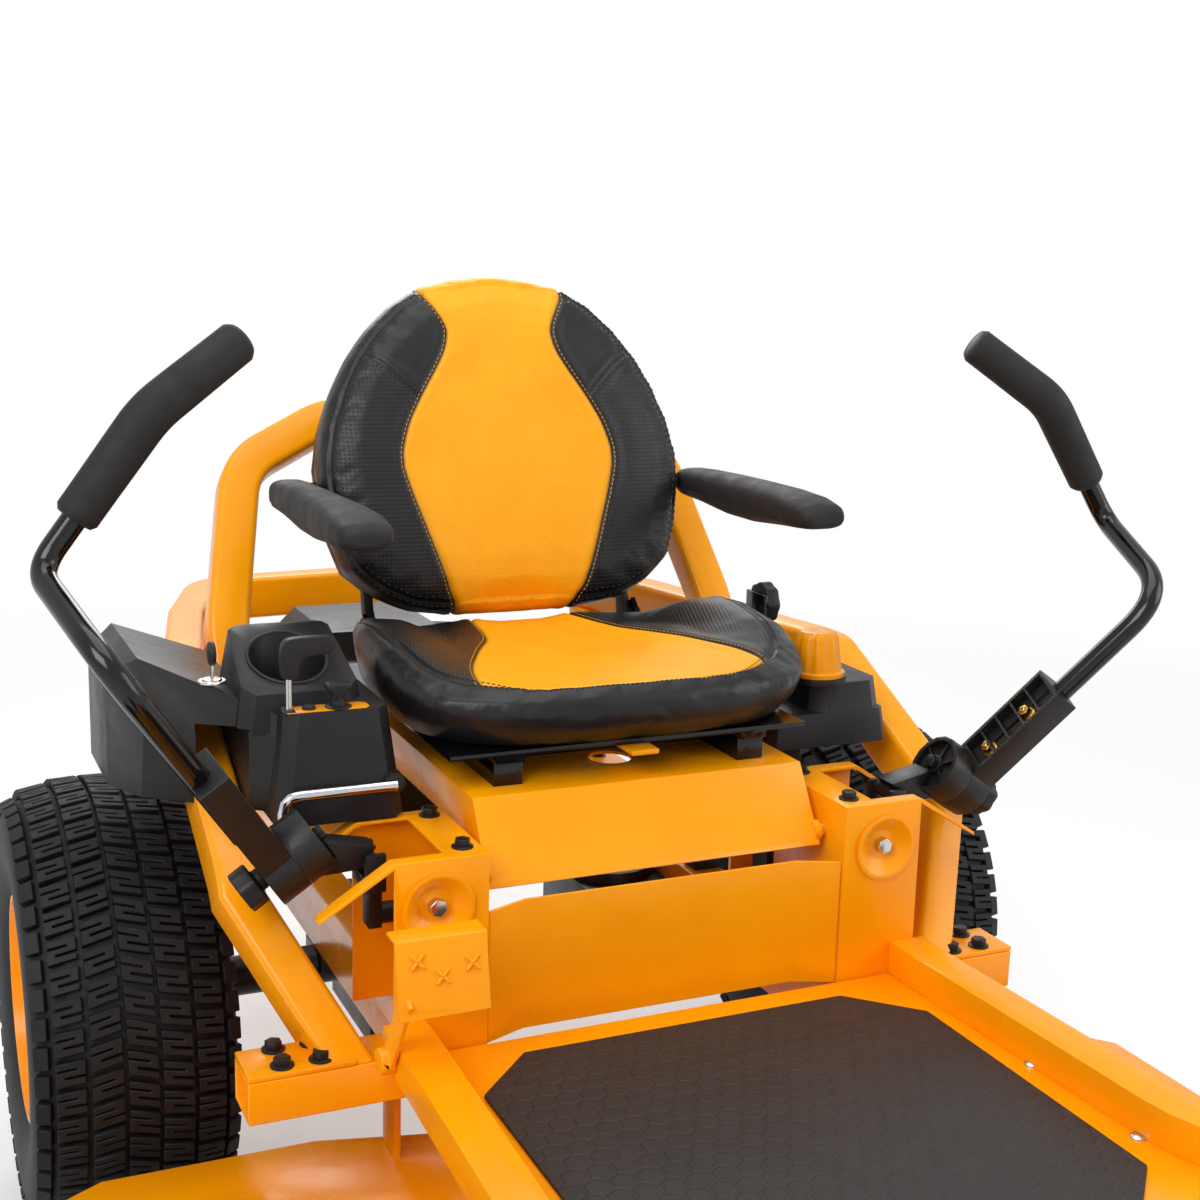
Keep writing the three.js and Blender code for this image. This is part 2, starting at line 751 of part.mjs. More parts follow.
function buildCasterArms() {
  const corners = [
    point(ARM_X, ARM_REAR), point(ARM_X, ARM_REAR - ARM_WIDTH), point(ARM_FRONT_X, ARM_BEND_Y),
    point(CASTER_X, CASTER_Y),
  ];
  const path = bentPath(corners, [ARM_WIDTH, ARM_BEND_RADIUS]);
  const tube = flatTube(path, ARM_WIDTH, ARM_BOTTOM, ARM_BOTTOM + ARM_HEIGHT, RAIL_WALL);
  const centre = place(CASTER_X, CASTER_Y, SOCKET_BOTTOM);
  const socket = pin('z', centre, 0, SOCKET_HEIGHT, SOCKET_RADIUS, PART_FACETS);
  const bore = pin(
    'z', centre, -CUT_OVERRUN, SOCKET_HEIGHT + CUT_OVERRUN, STEM_RADIUS + RUNNING_GAP, PART_FACETS,
  );
  addPair('caster_arm', cut(join(tube, socket), bore), YELLOW_PAINT);
}

// Plate under the engine, with a hitch tongue
const ENGINE_PLATE_BOTTOM = RAIL_TOP + SEAT_GAP;
const ENGINE_PLATE_TOP = ENGINE_PLATE_BOTTOM + PLATE;

function buildRearPlate() {
  const plate = box(
    -PLATE_HALF_WIDTH, PLATE_HALF_WIDTH, PLATE_FRONT, PLATE_REAR, ENGINE_PLATE_BOTTOM, ENGINE_PLATE_TOP,
  );
  const tongue = box(
    -HITCH_HALF_WIDTH, HITCH_HALF_WIDTH, PLATE_REAR - CUT_OVERRUN, PLATE_REAR + HITCH_REACH,
    ENGINE_PLATE_BOTTOM, ENGINE_PLATE_TOP,
  );
  const hole = pin(
    'z', place(0, PLATE_REAR + HITCH_REACH / 2, ENGINE_PLATE_BOTTOM), -CUT_OVERRUN, PLATE + CUT_OVERRUN,
    HITCH_HOLE_RADIUS, PART_FACETS,
  );
  add('rear_plate', cut(join(plate, tongue), hole), YELLOW_PAINT);
}

// Pairs of points across a path, at either edge of a strip of one width
function crossings(path, width) {
  const outline = ribbon(path, width);
  return path.map((_, i) => [outline[i], outline[outline.length - 1 - i]]);
}

// Each guard rail arches over in front of its tyre and runs round to the middle of the rear
function buildGuardRails() {
  const bottom = GUARD_TOP - GUARD_HEIGHT;
  const middle = (GUARD_TOP + bottom) / 2;
  const flangeBottom = RAIL_TOP + SEAT_GAP;
  const archPath = bentPath(
    [
      point(GUARD_FOOT_Y, flangeBottom), point(GUARD_KNEE_Y, GUARD_KNEE_Z), point(GUARD_ARCH_Y, middle),
      point(GUARD_SIDE_REAR_Y, middle),
    ],
    [GUARD_FOOT_RADIUS, GUARD_ARCH_RADIUS],
  );
  const runPath = bentPath(
    [
      point(GUARD_SIDE_X, GUARD_SIDE_REAR_Y), point(GUARD_SIDE_X, GUARD_RUN_BEND_Y),
      point(GUARD_QUARTER_X, GUARD_QUARTER_Y), point(GUARD_CORNER_X, GUARD_CORNER_Y),
      point(GUARD_JOIN_GAP / 2, GUARD_REAR_Y), point(GUARD_JOIN_GAP / 2 - GUARD_WIDTH, GUARD_REAR_Y),
    ],
    [GUARD_CORNER_RADIUS, GUARD_CORNER_RADIUS, GUARD_CORNER_RADIUS, GUARD_CORNER_RADIUS],
  );
  const pathBelow = overrunPath(archPath, GUARD_HEIGHT).slice(0, -1);
  const tubeOf = (wall) => {
    const [inner, outer] = [GUARD_SIDE_X - GUARD_WIDTH / 2 + wall, GUARD_SIDE_X + GUARD_WIDTH / 2 - wall];
    const [low, high] = [bottom + wall, GUARD_TOP - wall];
    const arch = crossings(pathBelow, GUARD_HEIGHT - 2 * wall).map(([upper, lower]) => {
      const [near, far] = upper.y + lower.y < 2 * (flangeBottom + CUT_OVERRUN)
        ? [inner - GUARD_LEAN, outer - GUARD_LEAN] : [inner, outer];
      return [
        place(near, upper.x, upper.y), place(far, upper.x, upper.y),
        place(far, lower.x, lower.y), place(near, lower.x, lower.y),
      ];
    });
    const run = crossings(runPath, GUARD_WIDTH - 2 * wall).slice(1).map(([near, far]) => [
      place(near.x, near.y, high), place(far.x, far.y, high),
      place(far.x, far.y, low), place(near.x, near.y, low),
    ]);
    return skinned([...arch, ...run]);
  };
  const belowFoot = box(
    0, GUARD_SIDE_X + GUARD_WIDTH, GUARD_FOOT_Y - GUARD_HEIGHT * 2, GUARD_FOOT_Y + GUARD_HEIGHT * 2,
    flangeBottom - GUARD_HEIGHT * 2, flangeBottom,
  );
  const pastMiddle = box(
    -GUARD_WIDTH * 2, GUARD_JOIN_GAP / 2, GUARD_REAR_Y - GUARD_WIDTH, GUARD_REAR_Y + GUARD_WIDTH,
    bottom - CUT_OVERRUN, GUARD_TOP + CUT_OVERRUN,
  );
  const flange = box(
    OUTRIGGER_REACH - GUARD_FOOT_FLANGE, OUTRIGGER_REACH, OUTRIGGER_REAR - OUTRIGGER_DEPTH, OUTRIGGER_REAR,
    flangeBottom, flangeBottom + GUARD_FLANGE,
  );
  const postX = GUARD_QUARTER_X - GUARD_POST;
  const post = box(
    postX - GUARD_POST / 2, postX + GUARD_POST / 2, GUARD_POST_Y - GUARD_POST / 2,
    GUARD_POST_Y + GUARD_POST / 2,
    ENGINE_PLATE_TOP + SEAT_GAP, bottom + RAIL_WALL,
  );
  addPair(
    'guard_rail', join(cut(tubeOf(0), tubeOf(RAIL_WALL), belowFoot, pastMiddle), flange, post),
    YELLOW_PAINT,
  );
}

// Leaning hoop behind the backrest; its legs stand against the guard rails' inner faces
function buildHoop() {
  const half = [
    point(HOOP_FOOT_X, 0), point(HOOP_FOOT_X, HOOP_KNEE_RISE), point(HOOP_SHOULDER_X, HOOP_SHOULDER_RISE),
    point(HOOP_CROWN_X, HOOP_CROWN_RISE),
  ];
  const corners = [...half, ...half.toReversed().map(({ x, y }) => point(-x, y))];
  const radii = [
    HOOP_KNEE_RADIUS, HOOP_BEND_RADIUS, HOOP_BEND_RADIUS, HOOP_BEND_RADIUS, HOOP_BEND_RADIUS,
    HOOP_KNEE_RADIUS,
  ];
  const path = bentPath(corners, radii);
  const arch = flatTube(path, HOOP_TUBE, -HOOP_DEPTH / 2, HOOP_DEPTH / 2, RAIL_WALL);
  const leaned = moved(arch, 0, HOOP_BASE_Y, HOOP_BASE_Z, [Math.PI / 2 - radians(HOOP_LEAN), 0, 0]);
  add('seat_hoop', leaned, YELLOW_PAINT);
}

// Floor pan with its raised front lip, and the rubber mat on it
function buildFloor() {
  const bottom = FLOOR_TOP - FLOOR;
  const lipAngle = radians(FLOOR_LIP_TILT);
  const lipFront = FLOOR_FRONT - FLOOR_LIP * Math.cos(lipAngle);
  const lipRise = FLOOR_LIP * Math.sin(lipAngle);
  const lipHalf = ARM_FRONT_X - ARM_WIDTH / 2 - CUT_OVERRUN * 2;
  const sheet = box(-FLOOR_HALF_WIDTH, FLOOR_HALF_WIDTH, FLOOR_FRONT, FLOOR_REAR, bottom, FLOOR_TOP);
  const corner = (side) => slab(
    [
      point(side * (lipHalf - CUT_OVERRUN), FLOOR_FRONT - CUT_OVERRUN),
      point(side * (FLOOR_HALF_WIDTH + CUT_OVERRUN), FLOOR_FRONT - CUT_OVERRUN),
      point(side * (FLOOR_HALF_WIDTH + CUT_OVERRUN), ARM_BEND_Y - ARM_WIDTH),
    ],
    bottom - CUT_OVERRUN, FLOOR_TOP + CUT_OVERRUN,
  );
  const lip = sideSlab(
    [
      point(FLOOR_FRONT + FLOOR, bottom), point(FLOOR_FRONT, bottom), point(lipFront, bottom + lipRise),
      point(lipFront, FLOOR_TOP + lipRise), point(FLOOR_FRONT, FLOOR_TOP),
      point(FLOOR_FRONT + FLOOR, FLOOR_TOP),
    ],
    -lipHalf + FLOOR, lipHalf - FLOOR,
  );
  add('floor_pan', join(cut(sheet, corner(1), corner(-1)), lip), YELLOW_PAINT);
  const matBottom = FLOOR_TOP + SEAT_GAP;
  add('foot_mat', slab(
    [
      point(-MAT_HALF_WIDTH, MAT_REAR - MAT_CORNER), point(-MAT_HALF_WIDTH + MAT_CORNER, MAT_REAR),
      point(MAT_HALF_WIDTH - MAT_CORNER, MAT_REAR), point(MAT_HALF_WIDTH, MAT_REAR - MAT_CORNER),
      point(MAT_HALF_WIDTH, MAT_FRONT + MAT_CORNER), point(MAT_HALF_WIDTH - MAT_CORNER, MAT_FRONT),
      point(-MAT_HALF_WIDTH + MAT_CORNER, MAT_FRONT), point(-MAT_HALF_WIDTH, MAT_FRONT + MAT_CORNER),
    ],
    matBottom, matBottom + MAT,
  ), MAT_RUBBER);
}

// Sheet-metal tower: front, inner side, rear and a slotted top with two lips; open to the outside
function buildTowers() {
  const outer = TOWER_INNER_X + TOWER_WIDTH;
  const bottom = RAIL_TOP + SEAT_GAP;
  const block = box(TOWER_INNER_X, outer, TOWER_FRONT, TOWER_REAR, bottom, TOWER_TOP);
  const lip = (front, rear) => frontSlab(
    [
      point(outer - TOWER_WALL, TOWER_TOP), point(outer, TOWER_TOP),
      point(TOWER_LIP_X, TOWER_TOP - TOWER_LIP_DROP),
      point(TOWER_LIP_X, TOWER_TOP - TOWER_LIP_DROP - TOWER_WALL),
      point(outer, TOWER_TOP - TOWER_WALL * 1.5),
      point(outer - TOWER_WALL, TOWER_TOP - TOWER_WALL * 1.5),
    ],
    front, rear,
  );
  const hollow = box(
    TOWER_INNER_X + TOWER_WALL, outer + CUT_OVERRUN, TOWER_FRONT + TOWER_WALL, TOWER_REAR - TOWER_WALL,
    bottom - CUT_OVERRUN, TOWER_TOP - TOWER_WALL,
  );
  const slot = box(
    TOWER_SLOT_X, outer + CUT_OVERRUN, TOWER_SLOT_FRONT, TOWER_SLOT_REAR, bottom, TOWER_TOP + CUT_OVERRUN,
  );
  const dish = pin(
    'y', place(TOWER_DIMPLE_X, TOWER_FRONT, TOWER_DIMPLE_Z), -CUT_OVERRUN, TOWER_DIMPLE_DEPTH + TOWER_WALL,
    TOWER_DIMPLE_RADIUS, PART_FACETS, TOWER_DIMPLE_RADIUS * TOWER_DIMPLE_FLOOR_SHARE,
  );
  const dishInside = moved(dish, 0, -TOWER_WALL, 0);
  const bearing = pin(
    'x', place(TOWER_INNER_X, DRIVE_PIN_Y, DRIVE_PIN_Z), 0, TOWER_WALL * 3, DRIVE_PIN_RADIUS * 2,
    PART_FACETS,
  );
  const bore = pin(
    'x', place(TOWER_INNER_X, DRIVE_PIN_Y, DRIVE_PIN_Z), TOWER_WALL, TOWER_WALL * 4,
    DRIVE_PIN_RADIUS + RUNNING_GAP, PART_FACETS,
  );
  const shell = join(
    cut(block, hollow, slot), dish, lip(TOWER_FRONT, TOWER_SLOT_FRONT), lip(TOWER_SLOT_REAR, TOWER_REAR),
    bearing,
  );
  addPair('tower', cut(shell, dishInside, bore), YELLOW_PAINT);
}

// Recessed panel between the towers, with flanges that come forward to them
function buildFrontPanel() {
  const outline = ribbon(
    [
      point(-PANEL_FLANGE_X, PANEL_FLANGE_Y), point(-PANEL_HALF_WIDTH, PANEL_FACE_Y),
      point(PANEL_HALF_WIDTH, PANEL_FACE_Y), point(PANEL_FLANGE_X, PANEL_FLANGE_Y),
    ],
    FLOOR,
  );
  add('front_panel', slab(outline, RAIL_TOP + SEAT_GAP, PANEL_TOP), YELLOW_PAINT);
}

// A block whose top is smaller all round than its foot, with its upright corners cut off
function taperedBlock(x0, x1, y0, y1, z0, z1, taper, corner) {
  const ring = (inset, z) => [
    [x0 + inset, y0 + inset + corner], [x0 + inset + corner, y0 + inset], [x1 - inset - corner, y0 + inset],
    [x1 - inset, y0 + inset + corner], [x1 - inset, y1 - inset - corner], [x1 - inset - corner, y1 - inset],
    [x0 + inset + corner, y1 - inset], [x0 + inset, y1 - inset - corner],
  ].map(([x, y]) => place(x, y, z));
  return skinned([ring(0, z0), ring(taper, z1)]);
}

// Moulded console: control box, cup holder and the wing over the tyre, drawn on the left and mirrored
const WING_WALL = CONSOLE_LEG;
const WING_INNER_X = CONSOLE_OUTER_X - CONSOLE_TAPER;
const WING_RIDGE_X = WING_OUTER_X - CONSOLE_TAPER;
const WING_INNER_TOP = CONSOLE_TOP - CONSOLE_TAPER / 2;
const wingTopAt = (x) => THREE.MathUtils.mapLinear(x, WING_INNER_X, WING_RIDGE_X, WING_INNER_TOP, WING_TOP);

function buildConsole() {
  const front = taperedBlock(
    CONSOLE_INNER_X, CONSOLE_OUTER_X, CONSOLE_FRONT, CONSOLE_REAR, CONSOLE_BOTTOM, CONSOLE_TOP,
    CONSOLE_TAPER / 2, CONSOLE_TAPER / 2,
  );
  const housing = taperedBlock(
    CONSOLE_INNER_X + CONSOLE_TAPER, CONSOLE_OUTER_X + CONSOLE_TAPER, CUP_HOUSING_FRONT,
    CONSOLE_REAR - CONSOLE_TAPER,
    CONSOLE_TOP - CONSOLE_TAPER, CUP_HOUSING_TOP, CONSOLE_TAPER / 2, CONSOLE_TAPER / 2,
  );
  const aboveLip = sideSlab(
    [
      point(CUP_HOUSING_FRONT - CUT_OVERRUN, CONSOLE_TOP + CUP_LIP),
      point(CUP_HOUSING_FRONT, CONSOLE_TOP + CUP_LIP),
      point(CONSOLE_REAR - CONSOLE_TAPER - CUP_SHELF, CUP_HOUSING_TOP),
      point(CONSOLE_REAR - CONSOLE_TAPER - CUP_SHELF, CUP_HOUSING_TOP + CUT_OVERRUN),
      point(CUP_HOUSING_FRONT - CUT_OVERRUN, CUP_HOUSING_TOP + CUT_OVERRUN),
    ],
    CONSOLE_INNER_X, CONSOLE_OUTER_X + CONSOLE_TAPER + CUT_OVERRUN,
  );
  const cup = pin(
    'z', place(CUP_X, CUP_Y, CUP_HOUSING_TOP), -CUP_DEPTH, CUT_OVERRUN, CUP_RADIUS, PART_FACETS,
  );
  const middle = (WING_BOTTOM + WING_TOP) / 2;
  const outerFront = WING_FRONT + (WING_OUTER_X - CONSOLE_OUTER_X);
  const ring = (x, y0, top, waist, belly) => [
    place(x, y0, WING_BOTTOM), place(x, y0 - belly, middle - waist), place(x, y0, top),
    place(x, WING_REAR, top), place(x, WING_REAR, WING_BOTTOM),
  ];
  const wing = skinned([
    ring(WING_INNER_X, WING_FRONT, WING_INNER_TOP, 0, CONSOLE_LEG),
    ring(WING_RIDGE_X, outerFront - CONSOLE_TAPER, WING_TOP, 0, CONSOLE_TAPER),
    ring(WING_OUTER_X, outerFront + CONSOLE_TAPER, WING_TOP - CONSOLE_TAPER, 0, CONSOLE_LEG),
  ]);
  const under = box(
    WING_INNER_X + WING_WALL * 2, WING_OUTER_X - WING_WALL * 2, outerFront + CONSOLE_TAPER,
    WING_REAR + CUT_OVERRUN,
    WING_BOTTOM - CUT_OVERRUN, WING_TOP - CONSOLE_TAPER * 1.5,
  );
  const leg = box(
    CONSOLE_INNER_X + CONSOLE_LEG * 2, TOWER_INNER_X + TOWER_WIDTH, CONSOLE_FRONT + CONSOLE_LEG,
    TOWER_REAR - CONSOLE_LEG,
    TOWER_TOP + SEAT_GAP, CONSOLE_BOTTOM + CONSOLE_LEG,
  );
  const boss = pin(
    'y', place(-INDEX_X, CONSOLE_FRONT, INDEX_Z), INDEX_Y + INDEX_RADIUS + RUNNING_GAP - CONSOLE_FRONT,
    CONSOLE_TAPER, INDEX_BOSS_RADIUS, PIN_FACETS,
  );
  const foot = box(
    CONSOLE_INNER_X, GUARD_SIDE_X - GUARD_WIDTH / 2 - SEAT_GAP, CONSOLE_REAR - CONSOLE_TAPER * 2,
    CONSOLE_REAR,
    GUARD_TOP - GUARD_HEIGHT, CONSOLE_TOP - CONSOLE_TAPER,
  );
  const slotSide = THROTTLE_STEM_RADIUS + SEAT_GAP;
  const slotEnd = THROTTLE_STEM_RADIUS + THROTTLE_SLOT_GAP;
  const slot = box(
    -THROTTLE_X - slotSide, -THROTTLE_X + slotSide,
    THROTTLE_Y - slotEnd, THROTTLE_Y + slotEnd + THROTTLE_STEM_RADIUS,
    CONSOLE_TOP - THROTTLE_SLOT, CONSOLE_TOP + CUT_OVERRUN,
  );
  const guardPath = box(
    GUARD_SIDE_X - GUARD_WIDTH / 2 - SEAT_GAP, GUARD_SIDE_X + GUARD_WIDTH / 2 + SEAT_GAP,
    GUARD_FOOT_Y, WING_REAR + CUT_OVERRUN, WING_BOTTOM - CUT_OVERRUN, GUARD_TOP + SEAT_GAP,
  );
  const whole = cut(
    join(cut(wing, under), front, cut(housing, aboveLip), leg, boss, foot), cup, guardPath, slot,
  );
  add('console', mirrored(whole), BLACK_PLASTIC);
}

// Fuel tank on its shelf, with the filler neck; the shelf stands on the rail
function buildTank() {
  const body = taperedBlock(
    TANK_INNER_X, TANK_OUTER_X, TANK_FRONT, TANK_REAR, TANK_BOTTOM, TANK_TOP, TANK_TAPER, TANK_CORNER,
  );
  const sump = taperedBlock(
    TANK_SUMP_INNER_X, TANK_OUTER_X, TANK_FRONT, TANK_REAR, TANK_BOTTOM, TANK_SUMP_TOP, TANK_TAPER / 2,
    TANK_CORNER / 2,
  );
  const neck = pin('z', place(CAP_X, CAP_Y, TANK_TOP), -CUT_OVERRUN, NECK, NECK_RADIUS, PART_FACETS);
  const sumpEdge = TANK_SUMP_INNER_X + TANK_SHELF_LEG;
  const rearLeg = box(
    sumpEdge, RAIL_X + RAIL_WIDTH / 2, TANK_REAR - TANK_CORNER * 3, TANK_REAR - TANK_CORNER,
    RAIL_TOP + SEAT_GAP, TANK_BOTTOM + TANK_SHELF,
  );
  const frontLeg = box(
    sumpEdge, RAIL_X + RAIL_WIDTH / 2, TANK_FRONT + TANK_SHELF, TANK_FRONT + TANK_SHELF + TANK_CORNER * 2,
    RAIL_TOP + SEAT_GAP, TANK_BOTTOM + TANK_SHELF,
  );
  add('fuel_tank', join(body, sump, neck, rearLeg, frontLeg), BLACK_PLASTIC);
}

function buildFuelCap() {
  const bottom = TANK_TOP + NECK + SEAT_GAP;
  const sides = CAP_FLUTES * 4;
  const ring = (radius, z, share) => Array.from({ length: sides }, (_, n) => {
    const angle = (2 * Math.PI * n) / sides;
    const reach = radius * (1 - share * (0.5 - 0.5 * Math.cos(CAP_FLUTES * angle)));
    return place(CAP_X + reach * Math.cos(angle), CAP_Y + reach * Math.sin(angle), z);
  });
  add('fuel_cap', skinned([
    ring(CAP_FLANGE_RADIUS, bottom, 0), ring(CAP_FLANGE_RADIUS, bottom + CAP_FLANGE, 0),
    ring(CAP_RADIUS, bottom + CAP_FLANGE, CAP_FLUTE_SHARE),
    ring(CAP_TOP_RADIUS, bottom + CAP_HEIGHT - CAP_FLANGE / 2, CAP_FLUTE_SHARE),
    ring(CAP_TOP_RADIUS - CAP_FLANGE / 2, bottom + CAP_HEIGHT, 0),
  ]), YELLOW_PLASTIC);
}

// Vertical-shaft engine: crankcase, two finned cylinders and the muffler; the shroud is its own piece
function buildEngine() {
  const bottom = ENGINE_PLATE_TOP + SEAT_GAP;
  const centre = place(0, ENGINE_Y, bottom);
  const crankcase = pin('z', centre, 0, CRANKCASE_HEIGHT, CRANKCASE_RADIUS, PART_FACETS);
  const low = bottom + (CRANKCASE_HEIGHT - CYLINDER_HEIGHT) / 2;
  const barrels = [1, -1].flatMap((side) => {
    const turn = [0, 0, side * radians(CYLINDER_ANGLE)];
    const barrel = box(
      0, side * CYLINDER_REACH, -CYLINDER_WIDTH / 2, CYLINDER_WIDTH / 2, low, low + CYLINDER_HEIGHT,
    );
    const pitch = (CYLINDER_REACH - CRANKCASE_RADIUS) / (FIN_COUNT + 1);
    const fins = Array.from({ length: FIN_COUNT }, (_, n) => {
      const x = side * (CRANKCASE_RADIUS + pitch * (n + 0.5));
      return box(
        x, x + side * FIN, -CYLINDER_WIDTH / 2 - FIN_PROUD, CYLINDER_WIDTH / 2 + FIN_PROUD,
        low - FIN_PROUD, low + CYLINDER_HEIGHT + FIN_PROUD,
      );
    });
    return [barrel, ...fins].map((piece) => moved(piece, 0, ENGINE_Y, 0, turn));
  });
  const mufflerCentre = place(0, MUFFLER_Y, bottom + MUFFLER_RISE);
  const muffler = pin(
    'x', mufflerCentre, -MUFFLER_HALF_LENGTH, MUFFLER_HALF_LENGTH, MUFFLER_RADIUS, PART_FACETS,
  );
  const pipe = rod(place(0, ENGINE_Y, bottom + MUFFLER_RISE), mufflerCentre, EXHAUST_RADIUS, PIN_FACETS);
  add('engine_block', join(crankcase, ...barrels, muffler, pipe), BLACK_CASTING);
}

function buildShroud() {
  const bottom = ENGINE_PLATE_TOP + CRANKCASE_HEIGHT + SEAT_GAP * 2;
  const centre = place(0, ENGINE_Y, bottom);
  const top = bottom + SHROUD_HEIGHT;
  const drum = pin(
    'z', centre, 0, SHROUD_HEIGHT, SHROUD_RADIUS, PART_FACETS, SHROUD_RADIUS - SCREEN_HEIGHT,
  );
  const screen = pin('z', centre, 0, SHROUD_HEIGHT + SCREEN_HEIGHT, SCREEN_RADIUS, PART_FACETS);
  const front = ENGINE_Y + AIRBOX_FRONT;
  const rear = front + AIRBOX_DEPTH;
  const boxTop = top + AIRBOX_HEIGHT;
  const airbox = frontSlab(
    [
      point(AIRBOX_X - AIRBOX_WIDTH / 2, top - SCREEN_HEIGHT),
      point(AIRBOX_X + AIRBOX_WIDTH / 2, top - SCREEN_HEIGHT),
      point(AIRBOX_X + AIRBOX_WIDTH / 2, boxTop - AIRBOX_CHAMFER),
      point(AIRBOX_X + AIRBOX_WIDTH / 2 - AIRBOX_CHAMFER, boxTop),
      point(AIRBOX_X - AIRBOX_WIDTH / 2 + AIRBOX_CHAMFER, boxTop),
      point(AIRBOX_X - AIRBOX_WIDTH / 2, boxTop - AIRBOX_CHAMFER),
    ],
    front, rear,
  );
  add('engine_shroud', join(drum, screen, airbox), BLACK_PLASTIC);
}

// Hydrostatic drives: a case under the engine plate, a cooling fan hub and the axle tube
function buildTransaxles() {
  const railInner = RAIL_X - RAIL_WIDTH / 2;
  const railOuter = RAIL_X + RAIL_WIDTH / 2;
  const middle = place(0, 0, REAR_RADIUS);
  const body = box(
    AXLE_CASE_INNER, railInner - SEAT_GAP, -AXLE_CASE_HALF_DEPTH, AXLE_CASE_HALF_DEPTH,
    AXLE_CASE_BOTTOM, AXLE_CASE_TOP,
  );
  const tube = pin('x', middle, railInner - RAIL_WALL, AXLE_TUBE_END, AXLE_TUBE_RADIUS, PART_FACETS);
  const pad = box(
    railInner - RAIL_WALL, railOuter, -AXLE_PAD_HALF, AXLE_PAD_HALF,
    RAIL_BOTTOM - SEAT_GAP - AXLE_TUBE_RADIUS, RAIL_BOTTOM - SEAT_GAP,
  );
  const fan = pin(
    'z', place((AXLE_CASE_INNER + railInner) / 2, 0, AXLE_CASE_TOP), -CUT_OVERRUN, AXLE_FAN,
    AXLE_FAN_RADIUS,
    PART_FACETS,
  );
  const bore = pin(
    'x', middle, AXLE_TUBE_END - REAR_AXLE_DEPTH - RUNNING_GAP, AXLE_TUBE_END + CUT_OVERRUN,
    REAR_AXLE_RADIUS + RUNNING_GAP, PART_FACETS,
  );
  addPair('transaxle', cut(join(body, tube, pad, fan), bore), BLACK_CASTING);
}

// Seat pan: a tray that tips forward on two ears between the towers
function buildSeatPan() {
  const sheetBottom = PAN_TOP - PAN;
  const profile = ribbon(
    [
      point(PAN_APRON_Y, PAN_APRON_Z), point(PAN_FOLD_Y, PAN_TOP - PAN / 2),
      point(PAN_REAR, PAN_TOP - PAN / 2),
    ], PAN,
  );
  const tray = sideSlab(profile, -PAN_HALF_WIDTH, PAN_HALF_WIDTH);
  const flange = sideSlab(
    [
      point(PAN_APRON_Y, PAN_APRON_Z), point(PAN_APRON_Y + PAN_EAR, PAN_APRON_Z - PAN_EAR / 3),
      point(PAN_FOLD_Y + PAN_FLANGE, sheetBottom - PAN_FLANGE), point(PAN_REAR, sheetBottom - PAN_FLANGE),
      point(PAN_REAR, sheetBottom + PAN / 2), point(PAN_FOLD_Y, sheetBottom + PAN / 2),
    ],
    PAN_HALF_WIDTH - PAN, PAN_HALF_WIDTH,
  );
  const hingeZ = PAN_APRON_Z + PAN_EAR / 2;
  const hinge = place(0, PAN_APRON_Y + PAN_EAR / 2, hingeZ);
  const ear = pin('x', hinge, PAN_HALF_WIDTH - PAN, PAN_HALF_WIDTH + PAN, PAN_EAR / 2, PIN_FACETS);
  const bolt = pin('x', hinge, PAN_HALF_WIDTH, TOWER_INNER_X - SEAT_GAP, PAN_PIN_RADIUS, PIN_FACETS);
  const hole = pin(
    'z', place(0, PAN_HOLE_Y, PAN_TOP), -PAN_FLANGE, CUT_OVERRUN, PAN_HOLE_RADIUS, PART_FACETS,
  );
  const sides = [flange, ear, bolt];
  add('seat_pan', cut(join(tray, ...sides, ...sides.map(mirrored)), hole), YELLOW_PAINT);
}

// Two channel rails on the pan, tied together front and rear
const SLIDE_BOTTOM = PAN_TOP + SEAT_GAP;
const SLIDE_TOP = SLIDE_BOTTOM + SLIDE_HEIGHT;

function buildSlides() {
  const rail = box(
    SLIDE_X - SLIDE_WIDTH / 2, SLIDE_X + SLIDE_WIDTH / 2, SLIDE_FRONT, SLIDE_REAR, SLIDE_BOTTOM, SLIDE_TOP,
  );
  const tie = (y) => box(
    -SLIDE_X, SLIDE_X, y, y + SLIDE_TIE, SLIDE_BOTTOM, SLIDE_BOTTOM + SLIDE_TIE_HEIGHT,
  );
  const rear = tie(SLIDE_REAR - SLIDE_TIE);
  const front = tie(SLIDE_FRONT + SLIDE_TIE * 4);
  add('seat_rails', join(rail, mirrored(rail), rear, front), BLACK_PAINT);
}

// Slider plate under the cushion, with the recline ears and the knob's bracket
const BASE_BOTTOM = SLIDE_TOP + SEAT_GAP;
const BASE_TOP = BASE_BOTTOM + BASE_BLOCK_HEIGHT;
const CUSHION_BOTTOM = BASE_TOP + SEAT_GAP;

